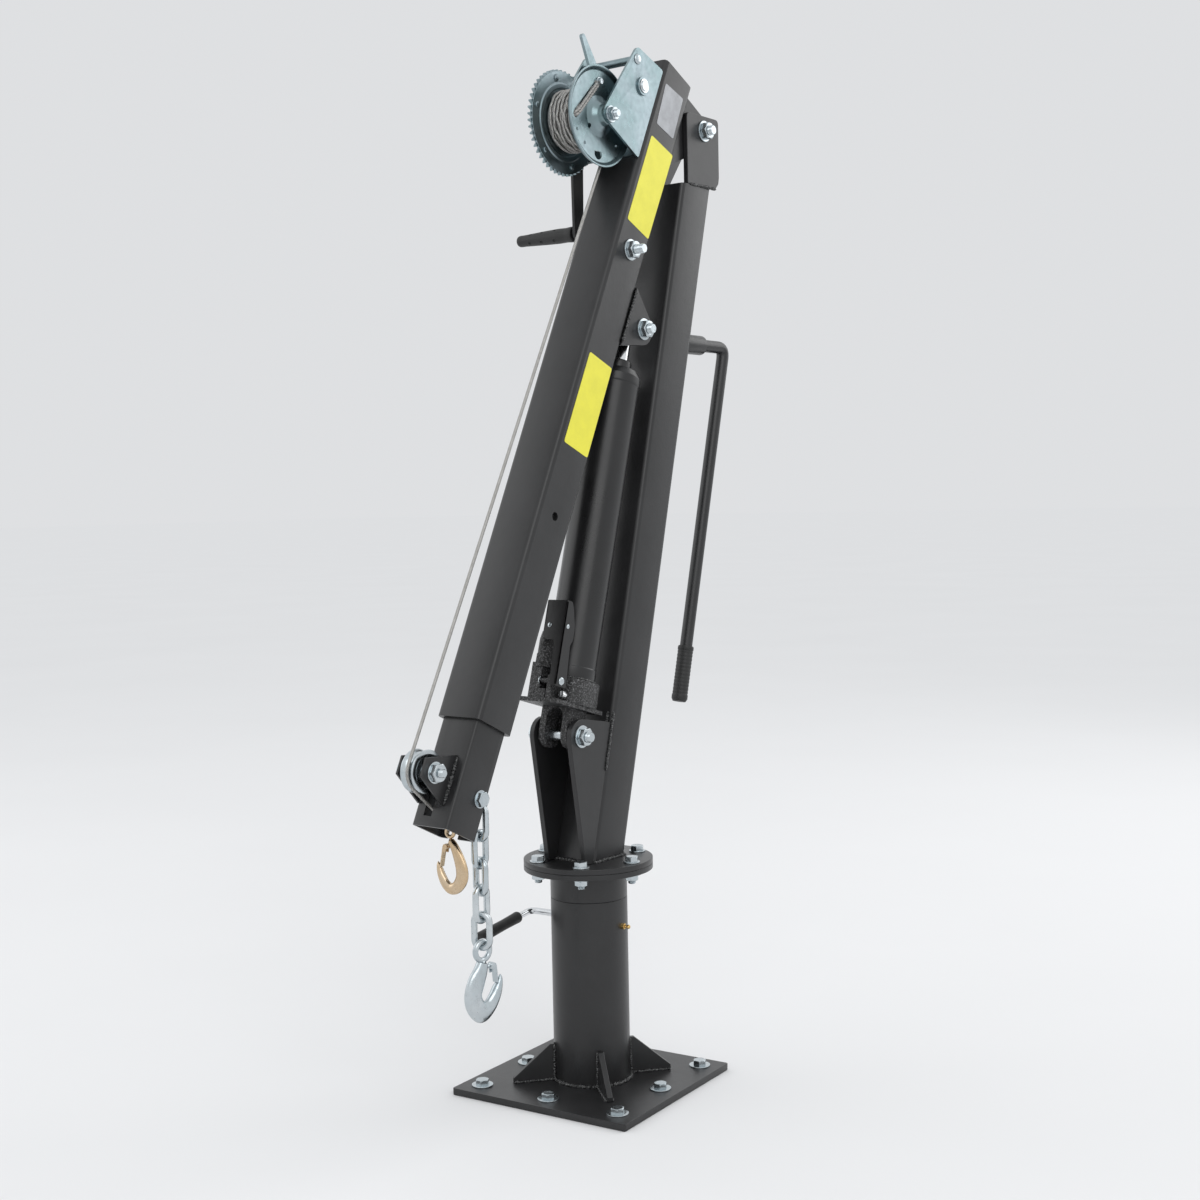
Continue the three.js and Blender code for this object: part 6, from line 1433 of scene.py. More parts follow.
@dataclass
class Boom:
    """The boom: a square tube with hinge lugs, ram plates, bolts, welds and two plain yellow panels."""

    shop: Workshop
    place: Placing = field(default_factory=boom_place)
    half_tube: float = 38.1
    rear: float = 53.5
    ram_head: tuple = (363.1, 14.2)
    bolt_end: float = 7.8
    lock_bolt: float = 273.0
    middle: float = 91.6
    lock_tail: float = 24.0
    weld_runs: tuple = ((30.5, -26, 98, 3), (39.0, 318, 408, 9), (29.4, 318, 408, 15))
    panel_height: float = 0.35
    upper_panel: tuple = ((143.0, 1419.0), (198.0, 1396.0), (129.0, 1262.0), (77.0, 1287.0))
    lower_panel: tuple = ((-21.0, 1086.0), (31.0, 1064.0), (-33.0, 933.0), (-86.0, 956.0))
    plate: tuple = ((183.0, 1503.0), (229.0, 1487.0), (199.5, 1421.7), (156.6, 1438.6))

    def build(self) -> None:
        """Builds the boom's parts."""
        self.shop.dressed("boom_tube", Finish.GREY_PAINT, "boom", 1.8, 3)
        for node in ("boom_hinge_lugs", "boom_ram_plate_right", "boom_ram_plate_left"):
            self.shop.dressed(node, Finish.GREY_PAINT, "boom", 0.9, 3)
        self.bolts()
        self.welds()
        self.panel("upper_yellow_panel", self.upper_panel, Finish.YELLOW_PANEL)
        self.panel("lower_yellow_panel", self.lower_panel, Finish.YELLOW_PANEL)
        self.panel("data_plate", self.plate, Finish.SILVER_PLATE)

    def bolts(self) -> None:
        """Makes the two ends of the upper ram bolt and the bolt that holds the extension."""
        down, out = self.ram_head
        for node, side in (("upper_ram_bolt_nut", 1), ("upper_ram_bolt_head", -1)):
            face = self.place.at(side * self.half_tube, -out, -down)
            inside = self.place.at(side * (self.half_tube - self.bolt_end), -out, -down)
            stub = shank(M16.radius, self.bolt_end).placed(along(inside, X_AXIS * side))
            skins = [*M16.end(face, X_AXIS * side, side > 0), stub]
            self.shop.form(f"{node}_form", skins, Finish.ZINC, "boom", (node,))
        low = self.place.at(-self.half_tube, -self.middle, -self.lock_bolt)
        high = self.place.at(self.half_tube, -self.middle, -self.lock_bolt)
        skins = [*HEAVY.end(low, -X_AXIS, False), *HEAVY.end(high, X_AXIS, True, tail=self.lock_tail * 0.6),
                 shank(M12.radius, 2 * self.half_tube).placed(along(low, X_AXIS))]
        self.shop.form("extension_bolt_form", skins, Finish.ZINC, "boom", ("extension_lock_bolt",))

    def welds(self) -> None:
        """Lays the welds of the hinge lugs and of the ram plates along the tube's rear face."""
        skins = []
        for side in (-1, 1):
            for away, low, high, seed in self.weld_runs:
                line = np.array([self.place.at(side * away, -self.rear + 0.2, -down) for down in (low, high)])
                skins.append(bead(line, 2.3, X_AXIS, seed + side))
        self.shop.weld("boom_welds", skins, "boom")

    def panel(self, name: str, corners: tuple, finish: Finish) -> None:
        """Makes a thin panel with round corners on the right face from its corners (y, z)."""
        outline = eased(corners, 3.5, 4, loop=True)
        skin = slab(outline, self.half_tube - 0.1, self.half_tube + self.panel_height, 0)
        self.shop.form(name, [skin], finish, "boom")


@dataclass
class Winch:
    """The hand winch: frame, drum with wheel and rope, crankshaft, pawl and crank."""

    shop: Workshop
    place: Placing = field(default_factory=boom_place)
    left: float = -61.0
    right: float = 38.1
    drum: tuple = (119.5, 214.0)
    shaft: tuple = (35.15, 165.1)
    tie: tuple = (6.0, 192.0)
    core: float = 37.2
    flange: float = 74.0
    flange_x: float = 14.0
    gear_right: float = -49.6
    rope_radius: float = 2.4
    track: float = 39.9
    loops: float = 10.75
    winding_start: float = -45.7
    winding_end: float = 11.3
    slope: float = 0.01164
    disc: float = 75.0
    slot_start: tuple = (-50.0, 0.0)
    slot_end: tuple = (5.0, -56.0)
    small_holes: tuple = ((17.0, -25.0, 3.6), (26.0, -54.0, 2.6), (43.0, -36.0, 2.6), (38.0, 40.0, 3.0))
    half_hole: tuple = (54.0, -4.0)
    stud_circle: float = 65.0
    stud_turns: tuple = (15.0, 75.0, 135.0, 195.0, 255.0, 315.0)
    over_loops: float = 6.4
    over_start: float = -43.0
    over_end: float = 3.0
    dimples: tuple = ((34.0, 11.5), (60.0, 10.6), (84.0, 9.7))
    dimple_turn: float = 0.9
    crank_outer: float = -91.0
    crank_length: float = 204.0
    crank_washer: tuple = (13.5, 8.0, 1.6)
    crank_nut: tuple = (11.0, 7.5)
    shaft_ring: tuple = (10.5, 7.6, 1.3)
    grip_start: float = -95.3

    def build(self) -> None:
        """Builds the winch's parts."""
        self.shop.dressed("winch_frame", Finish.BLUE_ZINC, "boom", 1.1, 3)
        self.shop.dressed("drum_gear", Finish.BLUE_ZINC, "drum", 0.35)
        self.shop.dressed("crankshaft", Finish.ZINC, "crankshaft", 0.3)
        self.shop.dressed("crank_arm", Finish.BLACK_PAINT, "crankshaft", 0.8, 3)
        self.shop.dressed("pawl", Finish.BLUE_ZINC, "pawl", 0.7, 3)
        self.drum_form()
        self.gear_disc()
        self.rope_end()
        self.winding()
        self.fasteners()
        self.grip()

    def axis(self, spot: tuple, x: float) -> Placing:
        """A frame along +X at a place (down, out) of the boom."""
        down, out = spot
        return along(self.place.at(x, -out, -down), X_AXIS)

    def drum_form(self) -> None:
        """Makes the drum: hub, core and a flange with a rolled rim, a slot for the rope and small holes."""
        x0, f = self.left + 4.3, self.flange_x
        rim = self.flange - 3.5
        profile = ((6.35, 0), (14, 0), (14, 7.8), (self.core, 7.8), (self.core, f - x0), (rim, f - x0),
                   (self.flange, f + 7 - x0), (self.flange - 3, f + 7 - x0), (rim - 4, f + 3 - x0),
                   (30, f + 3 - x0), (22, f + 6 - x0), (16, f + 12 - x0), (14, 33.8 - x0), (6.35, 33.8 - x0))
        seat = self.axis(self.drum, x0)
        drum = self.shop.form("drum_form", [turned(profile, 1.1, 3, 128, loop=True).placed(seat)],
                              Finish.BLUE_ZINC, "drum", ("drum",))
        outlines = [self.capsule(self.slot_start, self.slot_end, 5.6)]
        outlines += [circle(size, 24) + (down, back) for down, back, size in self.small_holes]
        arc = circle(9.0, 32)
        outlines.append(np.stack((np.maximum(arc[:, 0], -3.0), arc[:, 1]), axis=-1) + self.half_hole)
        holes = [slab(outline, f - x0 - 3.0, f - x0 + 8.0, 2).placed(seat) for outline in outlines]
        self.shop.cut(drum, holes)

    def capsule(self, start: tuple, end: tuple, half: float) -> Rows:
        """The outline of a slot with round ends.

        Args:
            start: the middle of one end.
            end: the middle of the other.
            half: half its width.

        Returns:
            The points of the outline.
        """
        way = math.atan2(end[1] - start[1], end[0] - start[0])
        turn = np.linspace(-math.pi / 2, math.pi / 2, 13) + way
        cap = half * np.stack((np.cos(turn), np.sin(turn)), axis=-1)
        return np.concatenate((cap + end, start - cap))

    def gear_disc(self) -> None:
        """Makes the drum's left flange on the gear's inner side: a disc with a raised ring and six bolts."""
        low, high = self.gear_right + 0.1, self.gear_right + 1.2
        profile = ((self.core + 0.4, low), (self.disc, low), (self.disc, high), (58.5, high),
                   (56.5, high + 1.5), (50.5, high + 1.5), (48.5, high), (self.core + 0.4, high))
        disc = turned(profile, 0.5, 3, 128, loop=True).placed(self.axis(self.drum, 0.0))
        face = self.axis(self.drum, high - 0.1)
        dome = eased(((0, 0), (4.6, 0), (4.4, 1.4), (2.6, 2.3), (0, 2.4)), 0.5)
        ring = np.array(((4.9, 0), (6.0, 0), (6.0, 0.5), (4.9, 0.5)))
        studs = []
        for turn in np.radians(self.stud_turns):
            spot = along(face.at(self.stud_circle * math.cos(turn), self.stud_circle * math.sin(turn), 0),
                         X_AXIS)
            studs += [lathe(dome, 28).placed(spot), lathe(ring, 28, True).placed(spot)]
        outer = turned(((56.0, 0), (60.0, 0), (59.0, 1.3), (57.0, 1.3)), 0.4, 2, 96, loop=True)
        back = along(self.axis(self.drum, self.gear_right).at(0, 0, -6.0), -X_AXIS)
        self.shop.form("gear_disc", [disc, *studs, outer.placed(back)], Finish.BLUE_ZINC, "drum")

    def rope_end(self) -> None:
        """Lays the rope's two strands through the flange's slot, held by a small clamp."""
        seat = self.axis(self.drum, self.flange_x)
        start, end = np.array(self.slot_start), np.array(self.slot_end)
        way = unit(end - start)
        places = [start + way * reach for reach in (2, 1, 6)] + [end - way * reach for reach in (6, 1, 2)]
        heights = np.array((-2.0, 1.0, 5.0, 5.4, 1.0, -2.0))[:, None]
        skins = []
        for shift in (-2.2, 2.2):
            flat = np.array(places) + np.array((-way[1], way[0])) * shift
            line = spaced(eased(np.concatenate((flat, heights), axis=1), 4.0, 5), 1.2)
            strand = laid_rope(line, 1.2, self.rope_radius * 0.95, np.array((way[1], -way[0], 0.3)), 20)
            skins.append(strand.placed(seat))
        self.shop.form("rope_end", skins, Finish.ROPE_WIRE, "drum")
        spot = seat.at(*(start - way * 0.5), 3.1)
        plate = turned(((0, 0), (6.2, 0), (6.2, 1.8), (0, 1.8)), 0.5, sides=40)
        clamp = plate.placed(along(spot, X_AXIS))
        nut = hex_head(4.2, 4.0).placed(along(spot + X_AXIS * 1.6, X_AXIS))
        self.shop.form("rope_clamp", [clamp, nut], Finish.ZINC, "drum")

    def round_drum(self, x: Rows, track: Rows | float, angle: Rows) -> Rows:
        """Points round the drum: (x, track cos a, track sin a) from its middle."""
        down, out = self.drum
        points = np.stack((x, -out + track * np.cos(angle), -down + track * np.sin(angle)), axis=-1)
        return self.place.carry(points)

    def winding_path(self, share: Rows) -> Rows:
        """The line of the wound rope: a helix on the drum whose angle falls as it runs to its end."""
        angle = -self.slope + 2 * math.pi * self.loops * (1 - share)
        x = self.winding_start + (self.winding_end - self.winding_start) * share
        return self.round_drum(x, self.track, angle)

    def winding(self) -> None:
        """Lays the rope's turns on the drum: one even layer, and a loose one that wanders across it."""
        line = spaced(self.winding_path(np.linspace(0, 1, 4000)), 1.8)
        share = np.linspace(0.0, 1.0, 3000)
        angle = 0.9 + 2 * math.pi * self.over_loops * share
        x = self.over_start + (self.over_end - self.over_start) * share + 1.9 * wander(angle * 12, 40)
        tuck = np.minimum(np.minimum(share, 1 - share) / 0.012, 1.0)
        track = self.track + (self.rope_radius * 1.75 + 0.5 * wander(angle * 9, 44)) * tuck
        over = spaced(self.round_drum(x, track, angle), 1.8)
        skins = [laid_rope(path, 1.8, self.rope_radius, X_AXIS, 20) for path in (line, over)]
        self.shop.form("rope_winding_form", skins, Finish.ROPE_WIRE, "drum", ("rope_winding",))

    def fasteners(self) -> None:
        """Makes the drum's bolt, the nut of the crank, a ring on the shaft's end and the tie rod's ends."""
        low, high = self.axis(self.drum, self.left).origin, self.axis(self.drum, self.right).origin
        self.shop.form("drum_bolt_form", M12.through(low, high), Finish.ZINC, "boom", ("drum_bolt",))
        nut_seat = along(self.axis(self.shaft, self.crank_outer - 0.3).origin, -X_AXIS)
        nut = [washer(*self.crank_washer).placed(nut_seat),
               hex_head(*self.crank_nut, both=True).placed(along(nut_seat.at(0, 0, 0.2), -X_AXIS))]
        self.shop.form("crank_nut", nut, Finish.ZINC, "crankshaft")
        end = self.axis(self.shaft, self.right + 3.2)
        ring = washer(*self.shaft_ring).placed(end)
        self.shop.form("shaft_ring", [ring], Finish.BRIGHT_STEEL, "crankshaft")
        dome = eased(((0, 0), (8.0, 0), (7.6, 1.6), (5.0, 3.2), (0, 3.8)), 0.8, 3)
        ends = [lathe(dome, 40).placed(along(self.axis(self.tie, x).origin, X_AXIS * side))
                for x, side in ((self.left, -1), (self.right, 1))]
        self.shop.form("tie_rod_ends", ends, Finish.ZINC, "boom")

    def grip(self) -> None:
        """Makes the crank's grip: a turned handle that swells at both ends."""
        seat = along(self.axis(self.shaft, self.grip_start).origin + (0, 0, -self.crank_length), -X_AXIS)
        profile = ((0, 0), (4.4, 0), (11, 0), (12, 1.6), (12, 6), (11.2, 14), (11.6, 30), (11.0, 52),
                   (9.8, 80), (9.0, 98), (9.0, 108), (7.4, 111.2), (4.0, 112), (0, 112))
        grip = turned(profile, 2.5, 3, 56).placed(seat)
        piece = self.shop.form("crank_grip_form", [grip], Finish.BLACK_GRIP, "crank_grip", ("crank_grip",))
        turn = np.linspace(0.0, math.pi, 12)
        ball = np.stack((3.4 * np.sin(turn), -3.4 * np.cos(turn)), axis=-1)
        dimples = []
        for height, girth in self.dimples:
            for side in np.linspace(0.0, 2 * math.pi, 4, endpoint=False) + self.dimple_turn:
                spot = seat.at((girth + 1.2) * math.cos(side), (girth + 1.2) * math.sin(side), height)
                dent = lathe(ball, 24).rows * (0.75, 1.0, 1.0)
                dimples.append(Skin(dent).placed(along(spot, seat.way(0, 0, 1))))
        self.shop.cut(piece, dimples)


@dataclass
class Tip:
    """The sliding extension with the rope's pulley, its cheeks and the bolts at its end."""

    shop: Workshop
    place: Placing = field(default_factory=boom_place)
    front: float = 123.35
    half: float = 31.75
    pulley: tuple = (-8.3, 1112.0, 157.95)
    groove: float = 25.0
    rim: float = 29.5
    half_width: float = 11.25
    spread: float = 19.4
    cheek: float = 4.0
    weld_reach: float = 34.0
    chain_bolt: tuple = (1121.0, 75.35)
    seam: float = 1085.0

    def build(self) -> None:
        """Builds the extension and what sits at its end."""
        self.shop.joined("extension_form", ("extension_tube", "extension_end"), self.place, -self.seam,
                         Finish.GREY_PAINT, "extension", 1.0)
        for node in ("pulley_cheek_right", "pulley_cheek_left"):
            self.shop.dressed(node, Finish.GREY_PAINT, "extension", 0.7, 3)
        self.pulley_form()
        x, down, out = self.pulley
        reach = self.spread + self.cheek
        low, high = (self.place.at(x + side * reach, -out, -down) for side in (-1, 1))
        self.shop.form("pulley_bolt_form", PULLEY_BOLT.through(low, high), Finish.ZINC, "extension",
                       ("pulley_bolt",))
        down, out = self.chain_bolt
        low, high = (self.place.at(side * self.half, -out, -down) for side in (-1, 1))
        self.shop.form("chain_bolt_form", CHAIN_BOLT.through(high, low), Finish.ZINC, "extension",
                       ("chain_bolt",))
        self.welds()

    def pulley_form(self) -> None:
        """Makes the pulley: a wheel with a round groove for the rope and a boss at each side."""
        w, h = self.half_width, self.spread - 0.3
        angle = np.linspace(-0.95, 0.95, 11)
        groove = np.stack((self.groove + 4.6 * (1 - np.cos(angle)), 6.2 * np.sin(angle)), axis=-1)
        right = np.array(((self.rim, w - 2.4), (self.rim, w), (23, w), (21, w - 2), (12, w - 2), (12, h),
                          (6.35, h)))
        left = right[::-1] * (1, -1)
        x, down, out = self.pulley
        seat = along(self.place.at(x, -out, -down), X_AXIS)
        wheel = turned(np.concatenate((left, groove, right)), 0.7, 2, 96, loop=True).placed(seat)
        self.shop.form("tip_pulley_form", [wheel], Finish.ZINC, "tip_pulley", ("tip_pulley",))

    def welds(self) -> None:
        """Lays a thick weld along the foot of each cheek."""
        x, down, _ = self.pulley
        skins = []
        for side in (-1, 1):
            for away in (self.spread - 0.3, self.spread + self.cheek + 0.3):
                line = np.array([self.place.at(x + side * away, -self.front - 0.5, -(down + reach))
                                 for reach in (-self.weld_reach, self.weld_reach)])
                skins.append(bead(line, 3.3 if away > self.spread else 2.2, X_AXIS, int(away) + side))
        self.shop.weld("cheek_welds", skins, "extension")


@dataclass
class Hook:
    """A forged hook: an eye, and a shank that swells round the bowl and thins to its point.

    Its shares are (across, down, half breadth) of its reach; its hinge is (across, down, radius,
    width) of the ear that carries the latch.
    """

    shop: Workshop
    name: str
    at: tuple
    yaw_deg: float
    reach: float
    eye: float
    wire: float
    thickness: float
    hinge: tuple
    shares: tuple
    finish: Finish

    def build(self) -> None:
        """Builds the hook and its latch; the shank has oval sections on a Catmull-Rom line."""
        turn = Placing(np.array(self.at), turned_about_z(self.yaw_deg).turn)
        spine = flowing(np.array(self.shares) * self.reach, 10)
        place = np.linspace(0, 1, len(spine))
        fade = np.sqrt(np.clip((1 - place) / 0.035, 0.03, 1.0)) * np.sqrt(np.clip(place / 0.02, 0.3, 1.0))
        half = spine[:, 2] * fade
        deep = np.minimum(half, self.thickness / 2 * fade)
        line = np.stack((spine[:, 0], 0 * half, -spine[:, 1]), axis=-1)
        angle = np.linspace(0, 2 * math.pi, 28, endpoint=False)
        section = np.stack((half[:, None] * np.cos(angle), deep[:, None] * np.sin(angle)), axis=-1)
        shank = carried(line, section, Y_AXIS)
        around = np.linspace(0, 2 * math.pi, 64, endpoint=False)
        ring_line = np.stack((np.cos(around), 0 * around, np.sin(around)), axis=-1) * self.eye
        ring = carried(ring_line, circle(self.wire, 24), Y_AXIS, loop=True)
        across, down, radius, width = self.hinge
        seat = along((across, 0, -down), Y_AXIS)
        half = width / 2
        ear = turned(((0, -half), (radius, -half), (radius, half), (0, half)), 0.8, sides=32).placed(seat)
        web = carried(np.array(((1.0, 0, -down + 1), (across * 0.6, 0, -down + 0.5), (across, 0, -down))),
                      circle(half, 16), Y_AXIS)
        thin = radius * 0.75
        pin = turned(((0, -width), (thin, -width), (thin, width), (0, width)), 0.6, sides=24).placed(seat)
        skins = [skin.placed(turn) for skin in (shank, ring, ear, web, pin)]
        self.shop.form(f"{self.name}_form", skins, self.finish, self.name, (self.name,))
        self.shop.dressed(f"{self.name}_latch", self.finish, f"{self.name}_latch", 0.35)


def flowing(points: Rows, steps: int) -> Rows:
    """A Catmull-Rom line through points: each span is the cubic with slopes (next - previous) / 2.

    Args:
        points: the points, one per row.
        steps: the new points of each span.

    Returns:
        The points of the line.
    """
    ends = np.concatenate((2 * points[:1] - points[1:2], points, 2 * points[-1:] - points[-2:-1]))
    t = np.linspace(0, 1, steps, endpoint=False)[:, None]
    spans = [0.5 * (2 * b + (c - a) * t + (2 * a - 5 * b + 4 * c - d) * t**2 + (3 * b - a - 3 * c + d) * t**3)
             for a, b, c, d in zip(ends[:-3], ends[1:-2], ends[2:-1], ends[3:])]
    return np.concatenate((*spans, points[-1:]))


@dataclass
class Chain:
    """Six welded links of round wire, each rebuilt on the axes of its own solid."""

    shop: Workshop
    wire: float = 4.5
    width: float = 32.0
    inner: float = 38.0
    links: int = 6

    def build(self) -> None:
        """Builds the links."""
        bend = self.width / 2 - self.wire
        straight = self.inner / 2 + self.wire - bend
        half = np.linspace(-math.pi / 2, math.pi / 2, 24) + math.pi / 2
        top = np.stack((bend * np.cos(half), straight + bend * np.sin(half)), axis=-1)
        flat = spaced(np.insert(np.concatenate((top, -top, top[:1])), 1, 0.0, axis=1), 1.6)[:-1]
        section = circle(self.wire, 22)
        for index in range(1, self.links + 1):
            node = f"chain_link_{index}"
            centre, axes = self.spread(node)
            link = carried(flat, section, Y_AXIS, loop=True).placed(Placing(centre, axes))
            self.shop.form(f"{node}_form", [link], Finish.ZINC, node, (node,))

    def spread(self, node: str) -> tuple[Rows, Rows]:
        """Finds how a link lies from how its points spread.

        Args:
            node: the link's solid.

        Returns:
            Its middle, and its directions of width, thickness and length.
        """
        mesh = frame["nodes"][node].data
        points = np.empty(len(mesh.vertices) * 3)
        mesh.vertices.foreach_get("co", points)
        points = np.unique(np.round(points.reshape(-1, 3) / MM, 3), axis=0)
        centre = (points.max(axis=0) + points.min(axis=0)) / 2
        _, ways = np.linalg.eigh(np.cov((points - points.mean(axis=0)).T))
        thin, _, long = ways.T
        return centre, np.array((np.cross(thin, long), thin, long))


@dataclass
class Rope:
    """The winch's free rope: from the drum over the tip pulley to its hook, with loop and ferrule."""

    shop: Workshop
    winch: Winch
    tip: Tip
    radius: float = 2.4
    track: float = 27.7
    eye: tuple = (73.85, 1163.0)
    eye_wire: float = 2.7
    hangs: tuple = ("rope_hook", "rope_hook_latch_form")

    def path(self) -> Rows:
        """The rope's line: straight off the drum, an arc round the pulley, straight to the hook's eye.

        Returns:
            Its points, in the crane's frame.
        """
        place = self.winch.place
        x, down, out = self.tip.pulley
        centre = np.array((-out, -down))
        eye = -np.array(self.eye)
        to_eye = eye - centre
        on = math.pi - self.winch.slope
        off = math.atan2(to_eye[1], to_eye[0]) - math.acos(self.track / np.linalg.norm(to_eye)) + 2 * math.pi
        angle = np.linspace(on, off, 40)
        arc = centre + self.track * np.stack((np.cos(angle), np.sin(angle)), axis=-1)
        last = eye - (eye - arc[-1]) / np.linalg.norm(eye - arc[-1]) * (self.eye_wire + self.radius + 7)
        bent = np.insert(np.concatenate((arc, last[None])), 0, x, axis=1)
        return np.concatenate((self.winch.winding_path(np.array((1.0,))), place.carry(bent)))

    def build(self) -> None:
        line = spaced(self.path(), 1.7)
        skin = laid_rope(line, 1.7, self.radius, X_AXIS)
        rope = self.shop.form("free_rope", [skin], Finish.ROPE_WIRE, None, ("winch_rope",))
        run = self.straight_end(line)
        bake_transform(rope)
        end, way = line[-1], unit(line[-1] - line[-4])
        seat = along(end - way * 15, way)
        sleeve = turned(((2.2, 0), (4.4, 0), (5.0, 2), (5.0, 13), (4.4, 15), (2.2, 15)), 0.8, sides=40,
                        loop=True)
        ferrule = self.shop.form("rope_ferrule", [sleeve.placed(seat)], Finish.ZINC, "extension")
        eye_top = self.tip.place.at(self.tip.pulley[0], -self.eye[0], -self.eye[1])
        loop = self.loop(end, way, eye_top)
        points = [tuple(point) for point in (line[::12] * MM).tolist()]
        points.append(tuple((line[-1] * MM).tolist()))

    def straight_end(self, line: Rows) -> Rows:
        """The last point of the rope's first straight run."""
        first = unit(line[4] - line[0])
        strays = np.linalg.norm(np.cross(line - line[0], first), axis=1)
        return line[int(np.argmax(strays > 1.0)) - 1]

    def loop(self, end: Rows, way: Rows, eye_top: Rows) -> bpy.types.Object:
        """Bends the rope's end round the eye's wire: a drop-shaped loop in the plane of the boom.

        Args:
            end: the end of the free rope.
            way: the direction in which the rope ends.
            eye_top: the middle of the eye's wire.

        Returns:
            The piece.
        """
        side = unit(np.cross(X_AXIS, way))
        turn = np.linspace(-0.62 * math.pi, 0.62 * math.pi, 24)
        reach = self.eye_wire + 2.1
        arc = eye_top + reach * (np.cos(turn)[:, None] * way + np.sin(turn)[:, None] * side)
        line = np.concatenate(((end - way * 4 - side * 1.5)[None], arc, (end - way * 4 + side * 1.5)[None]))
        line = spaced(eased(line, 2.0, 3), 1.0)
        skin = laid_rope(line, 1.0, 2.0, X_AXIS, 20)
        return self.shop.form("rope_loop", [skin], Finish.ROPE_WIRE, "rope_hook")


# Stage


@dataclass
class Studio:
    """A pale floor, soft light from three sides and the camera at the photo's angle."""

    bearing_deg: float = 37.606
    distance: float = 2526.863
    height: float = 875.287
    pitch_deg: float = -3.401
    roll_deg: float = -1.159
    lens: float = 51.4
    shift: float = 0.01417
    sensor: float = 36.0
    floor_reach: float = 70.0
    floor_level: float = -0.0006
    floor_points: int = 7
    middle: tuple = (0.0, 0.0, 0.75)
    lamps: tuple = (("key_light", (2.9, -2.2, 3.2), 2.6, 34.0), ("fill_light", (-3.2, -1.6, 2.2), 2.6, 14.0),
                    ("back_light", (1.4, 3.2, 2.6), 2.4, 24.0))
    even_light: tuple = (0.97, 0.985, 1.0, 1.0)
    even_strength: float = 0.92
    pale_ground: tuple = (0.735, 0.745, 0.76, 1.0)

    def camera(self) -> None:
        """Sets the camera: its right and up directions are turned about the line of sight by the roll."""
        bearing, pitch, roll = np.radians((self.bearing_deg, self.pitch_deg, self.roll_deg))
        right = np.array((math.cos(bearing), math.sin(bearing), 0.0))
        toward = np.array((math.sin(bearing), -math.cos(bearing), 0.0))
        ahead = -toward * math.cos(pitch) + Z_AXIS * math.sin(pitch)
        up = np.cross(right, ahead)
        right_rolled = right * math.cos(roll) + up * math.sin(roll)
        up_rolled = -right * math.sin(roll) + up * math.cos(roll)
        spot = toward * self.distance + Z_AXIS * self.height
        matrix = np.eye(4)
        matrix[:3] = np.stack((right_rolled, up_rolled, -ahead, spot * MM), axis=-1)
        data = bpy.data.cameras.new("photo_camera")
        data.lens = self.lens
        data.sensor_width = self.sensor
        data.shift_x = self.shift
        data.clip_end = 400.0
        camera = bpy.data.objects.new("photo_camera", data)
        bpy.context.scene.collection.objects.link(camera)
        camera.matrix_world = Matrix(matrix.tolist())
        bpy.context.scene.camera = camera

    def lamp(self, name: str, spot: tuple, size: float, power: float) -> None:
        """Adds a soft square light that faces the crane's middle.

        Args:
            name: its name.
            spot: its place, in metres.
            size: the length of its side.
            power: its power, in watts.
        """
        data = bpy.data.lights.new(name, "AREA")
        data.shape = "SQUARE"
        data.size = size
        data.energy = power
        lamp = bpy.data.objects.new(name, data)
        bpy.context.scene.collection.objects.link(lamp)
        lamp.location = spot
        lamp.rotation_euler = (Vector(spot) - Vector(self.middle)).to_track_quat("Z", "Y").to_euler()

    def floor(self) -> None:
        """Lays the floor: a wide flat grid with a pale even finish."""
        count = self.floor_points
        side = np.linspace(-self.floor_reach, self.floor_reach, count)
        x, y = np.meshgrid(side, side)
        points = np.stack((x, y, np.full_like(x, self.floor_level)), axis=-1).reshape(-1, 3)
        index = np.arange(count * count).reshape(count, count)
        quads = np.stack((index[:-1, :-1], index[:-1, 1:], index[1:, 1:], index[1:, :-1]), axis=-1)
        mesh = bpy.data.meshes.new("floor")
        mesh.from_pydata(points.tolist(), [], quads.reshape(-1, 4).tolist())
        sheet = Sheet("floor_finish")
        tone = sheet.blend(sheet.noise(1.2, 3.0), (0.83, 0.83, 0.835), (0.8, 0.8, 0.805))
        mesh.materials.append(sheet.finish(Base_Color=tone, Roughness=0.9, Specular_IOR_Level=0.0))
        floor = bpy.data.objects.new("floor", mesh)
        bpy.context.scene.collection.objects.link(floor)

    def world(self) -> None:
        """Fills the surroundings with even light; the camera sees a pale ground."""
        tree = Tree(bpy.data.worlds.new("surroundings"))
        seen = tree.node("ShaderNodeLightPath", output="Is Camera Ray")
        even = tree.node("ShaderNodeBackground", {},
                         {"Color": self.even_light, "Strength": self.even_strength})
        pale = tree.node("ShaderNodeBackground", {}, {"Color": self.pale_ground, "Strength": 1.0})
        both = tree.node("ShaderNodeMixShader", {}, {0: seen, 1: even, 2: pale})
        tree.node("ShaderNodeOutputWorld", {}, {"Surface": both})
        bpy.context.scene.world = tree.owner

    def build(self) -> None:
        """Sets the stage."""
        self.camera()
        self.floor()
        self.world()
        for lamp in self.lamps:
            self.lamp(*lamp)
        bpy.context.scene.view_settings.view_transform = "Standard"


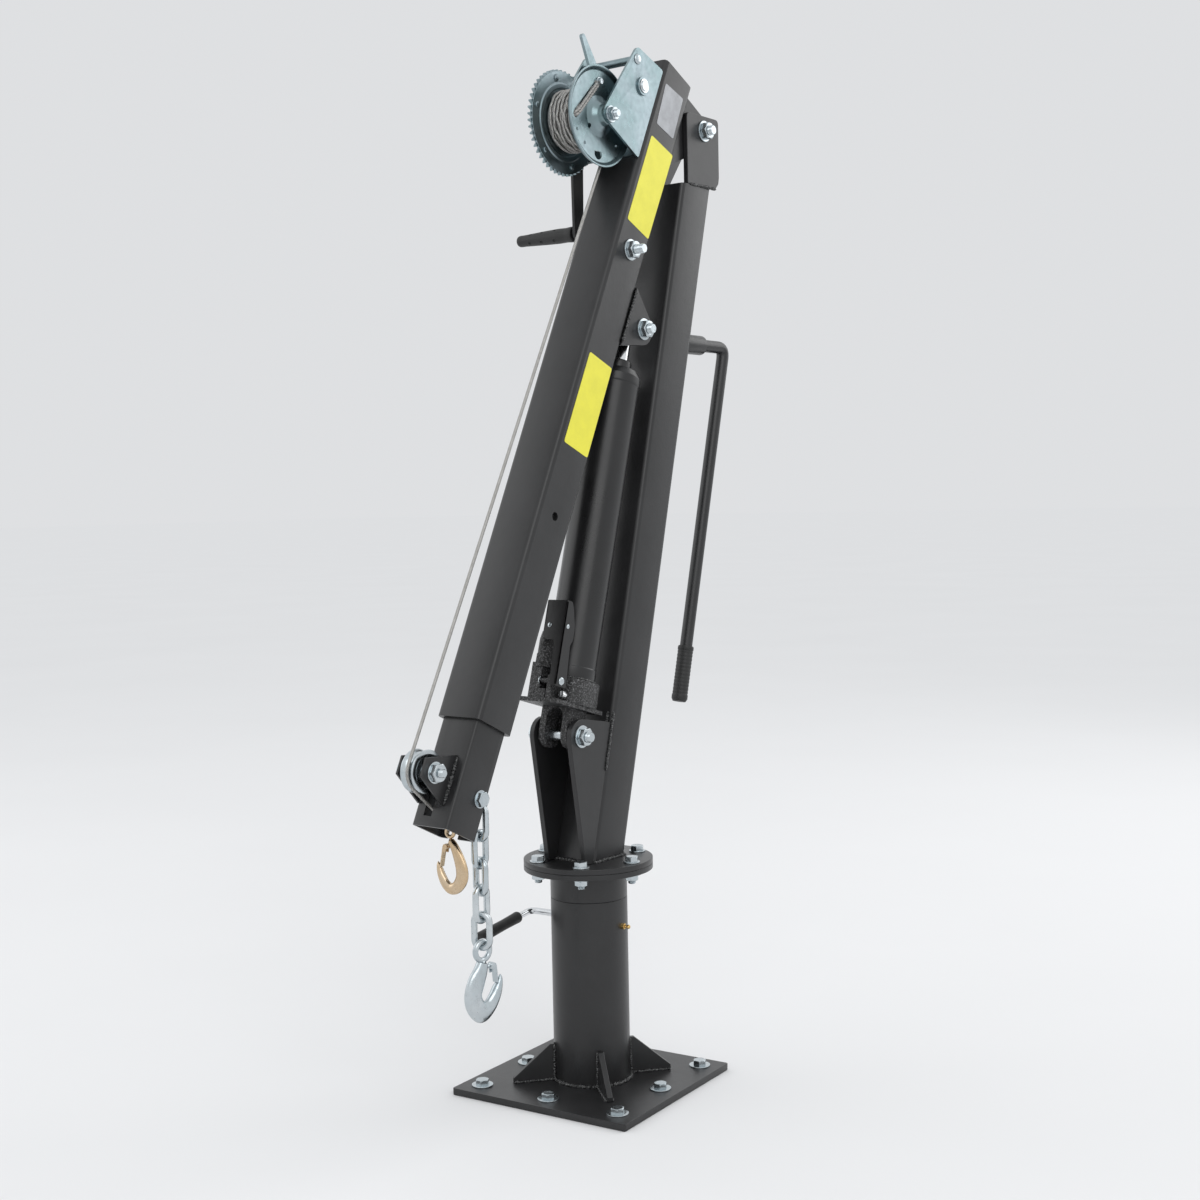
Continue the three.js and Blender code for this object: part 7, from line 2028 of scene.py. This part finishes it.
# The two hooks and the whole scene


CHAIN_HOOK_SHARES = ((0, 0.14, 0.08), (-0.05, 0.28, 0.12), (-0.13, 0.42, 0.15), (-0.19, 0.58, 0.15),
                     (-0.16, 0.73, 0.15), (-0.04, 0.85, 0.145), (0.1, 0.8, 0.115), (0.2, 0.69, 0.095),
                     (0.26, 0.58, 0.075), (0.31, 0.48, 0.045), (0.325, 0.39, 0.018))
ROPE_HOOK_SHARES = ((0, 0.12, 0.05), (-0.09, 0.24, 0.07), (-0.18, 0.42, 0.1), (-0.235, 0.6, 0.115),
                    (-0.22, 0.74, 0.115), (-0.12, 0.87, 0.1), (0.01, 0.91, 0.09), (0.12, 0.84, 0.08),
                    (0.195, 0.72, 0.066), (0.24, 0.6, 0.048), (0.268, 0.5, 0.018))


def rope_hook(shop: Workshop) -> Hook:
    """The yellow hook at the rope's end."""
    return Hook(shop, "rope_hook", at=(-8.3, -294.73, 428.09), yaw_deg=180.0, reach=86.0, eye=7.0, wire=2.7,
                thickness=11.0, hinge=(7.0, 21.0, 4.0, 4.0), shares=ROPE_HOOK_SHARES,
                finish=Finish.YELLOW_ZINC)


def chain_hook(shop: Workshop) -> Hook:
    """The zinc hook at the chain's end."""
    return Hook(shop, "chain_hook", at=(9.80, -254.93, 258.11), yaw_deg=84.0, reach=100.0, eye=13.0, wire=4.0,
                thickness=15.0, hinge=(17.0, 24.0, 5.0, 5.0), shares=CHAIN_HOOK_SHARES,
                finish=Finish.ZINC)


def main() -> None:
    """Builds the whole scene."""
    logging.basicConfig(level=logging.INFO, format="%(message)s")
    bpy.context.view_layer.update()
    shop = Workshop()
    Studio().build()
    winch, tip = Winch(shop), Tip(shop)
    parts = (rope_hook(shop), Rope(shop, winch, tip), Base(shop), LockScrew(shop), Swivel(shop),
             Mast(shop), Jack(shop), Boom(shop), winch, tip, Chain(shop), chain_hook(shop))
    for part in parts:
        part.build()
        LOG.info("%s done, %d pieces so far", type(part).__name__, shop.made)


if __name__ == "__main__":
    main()
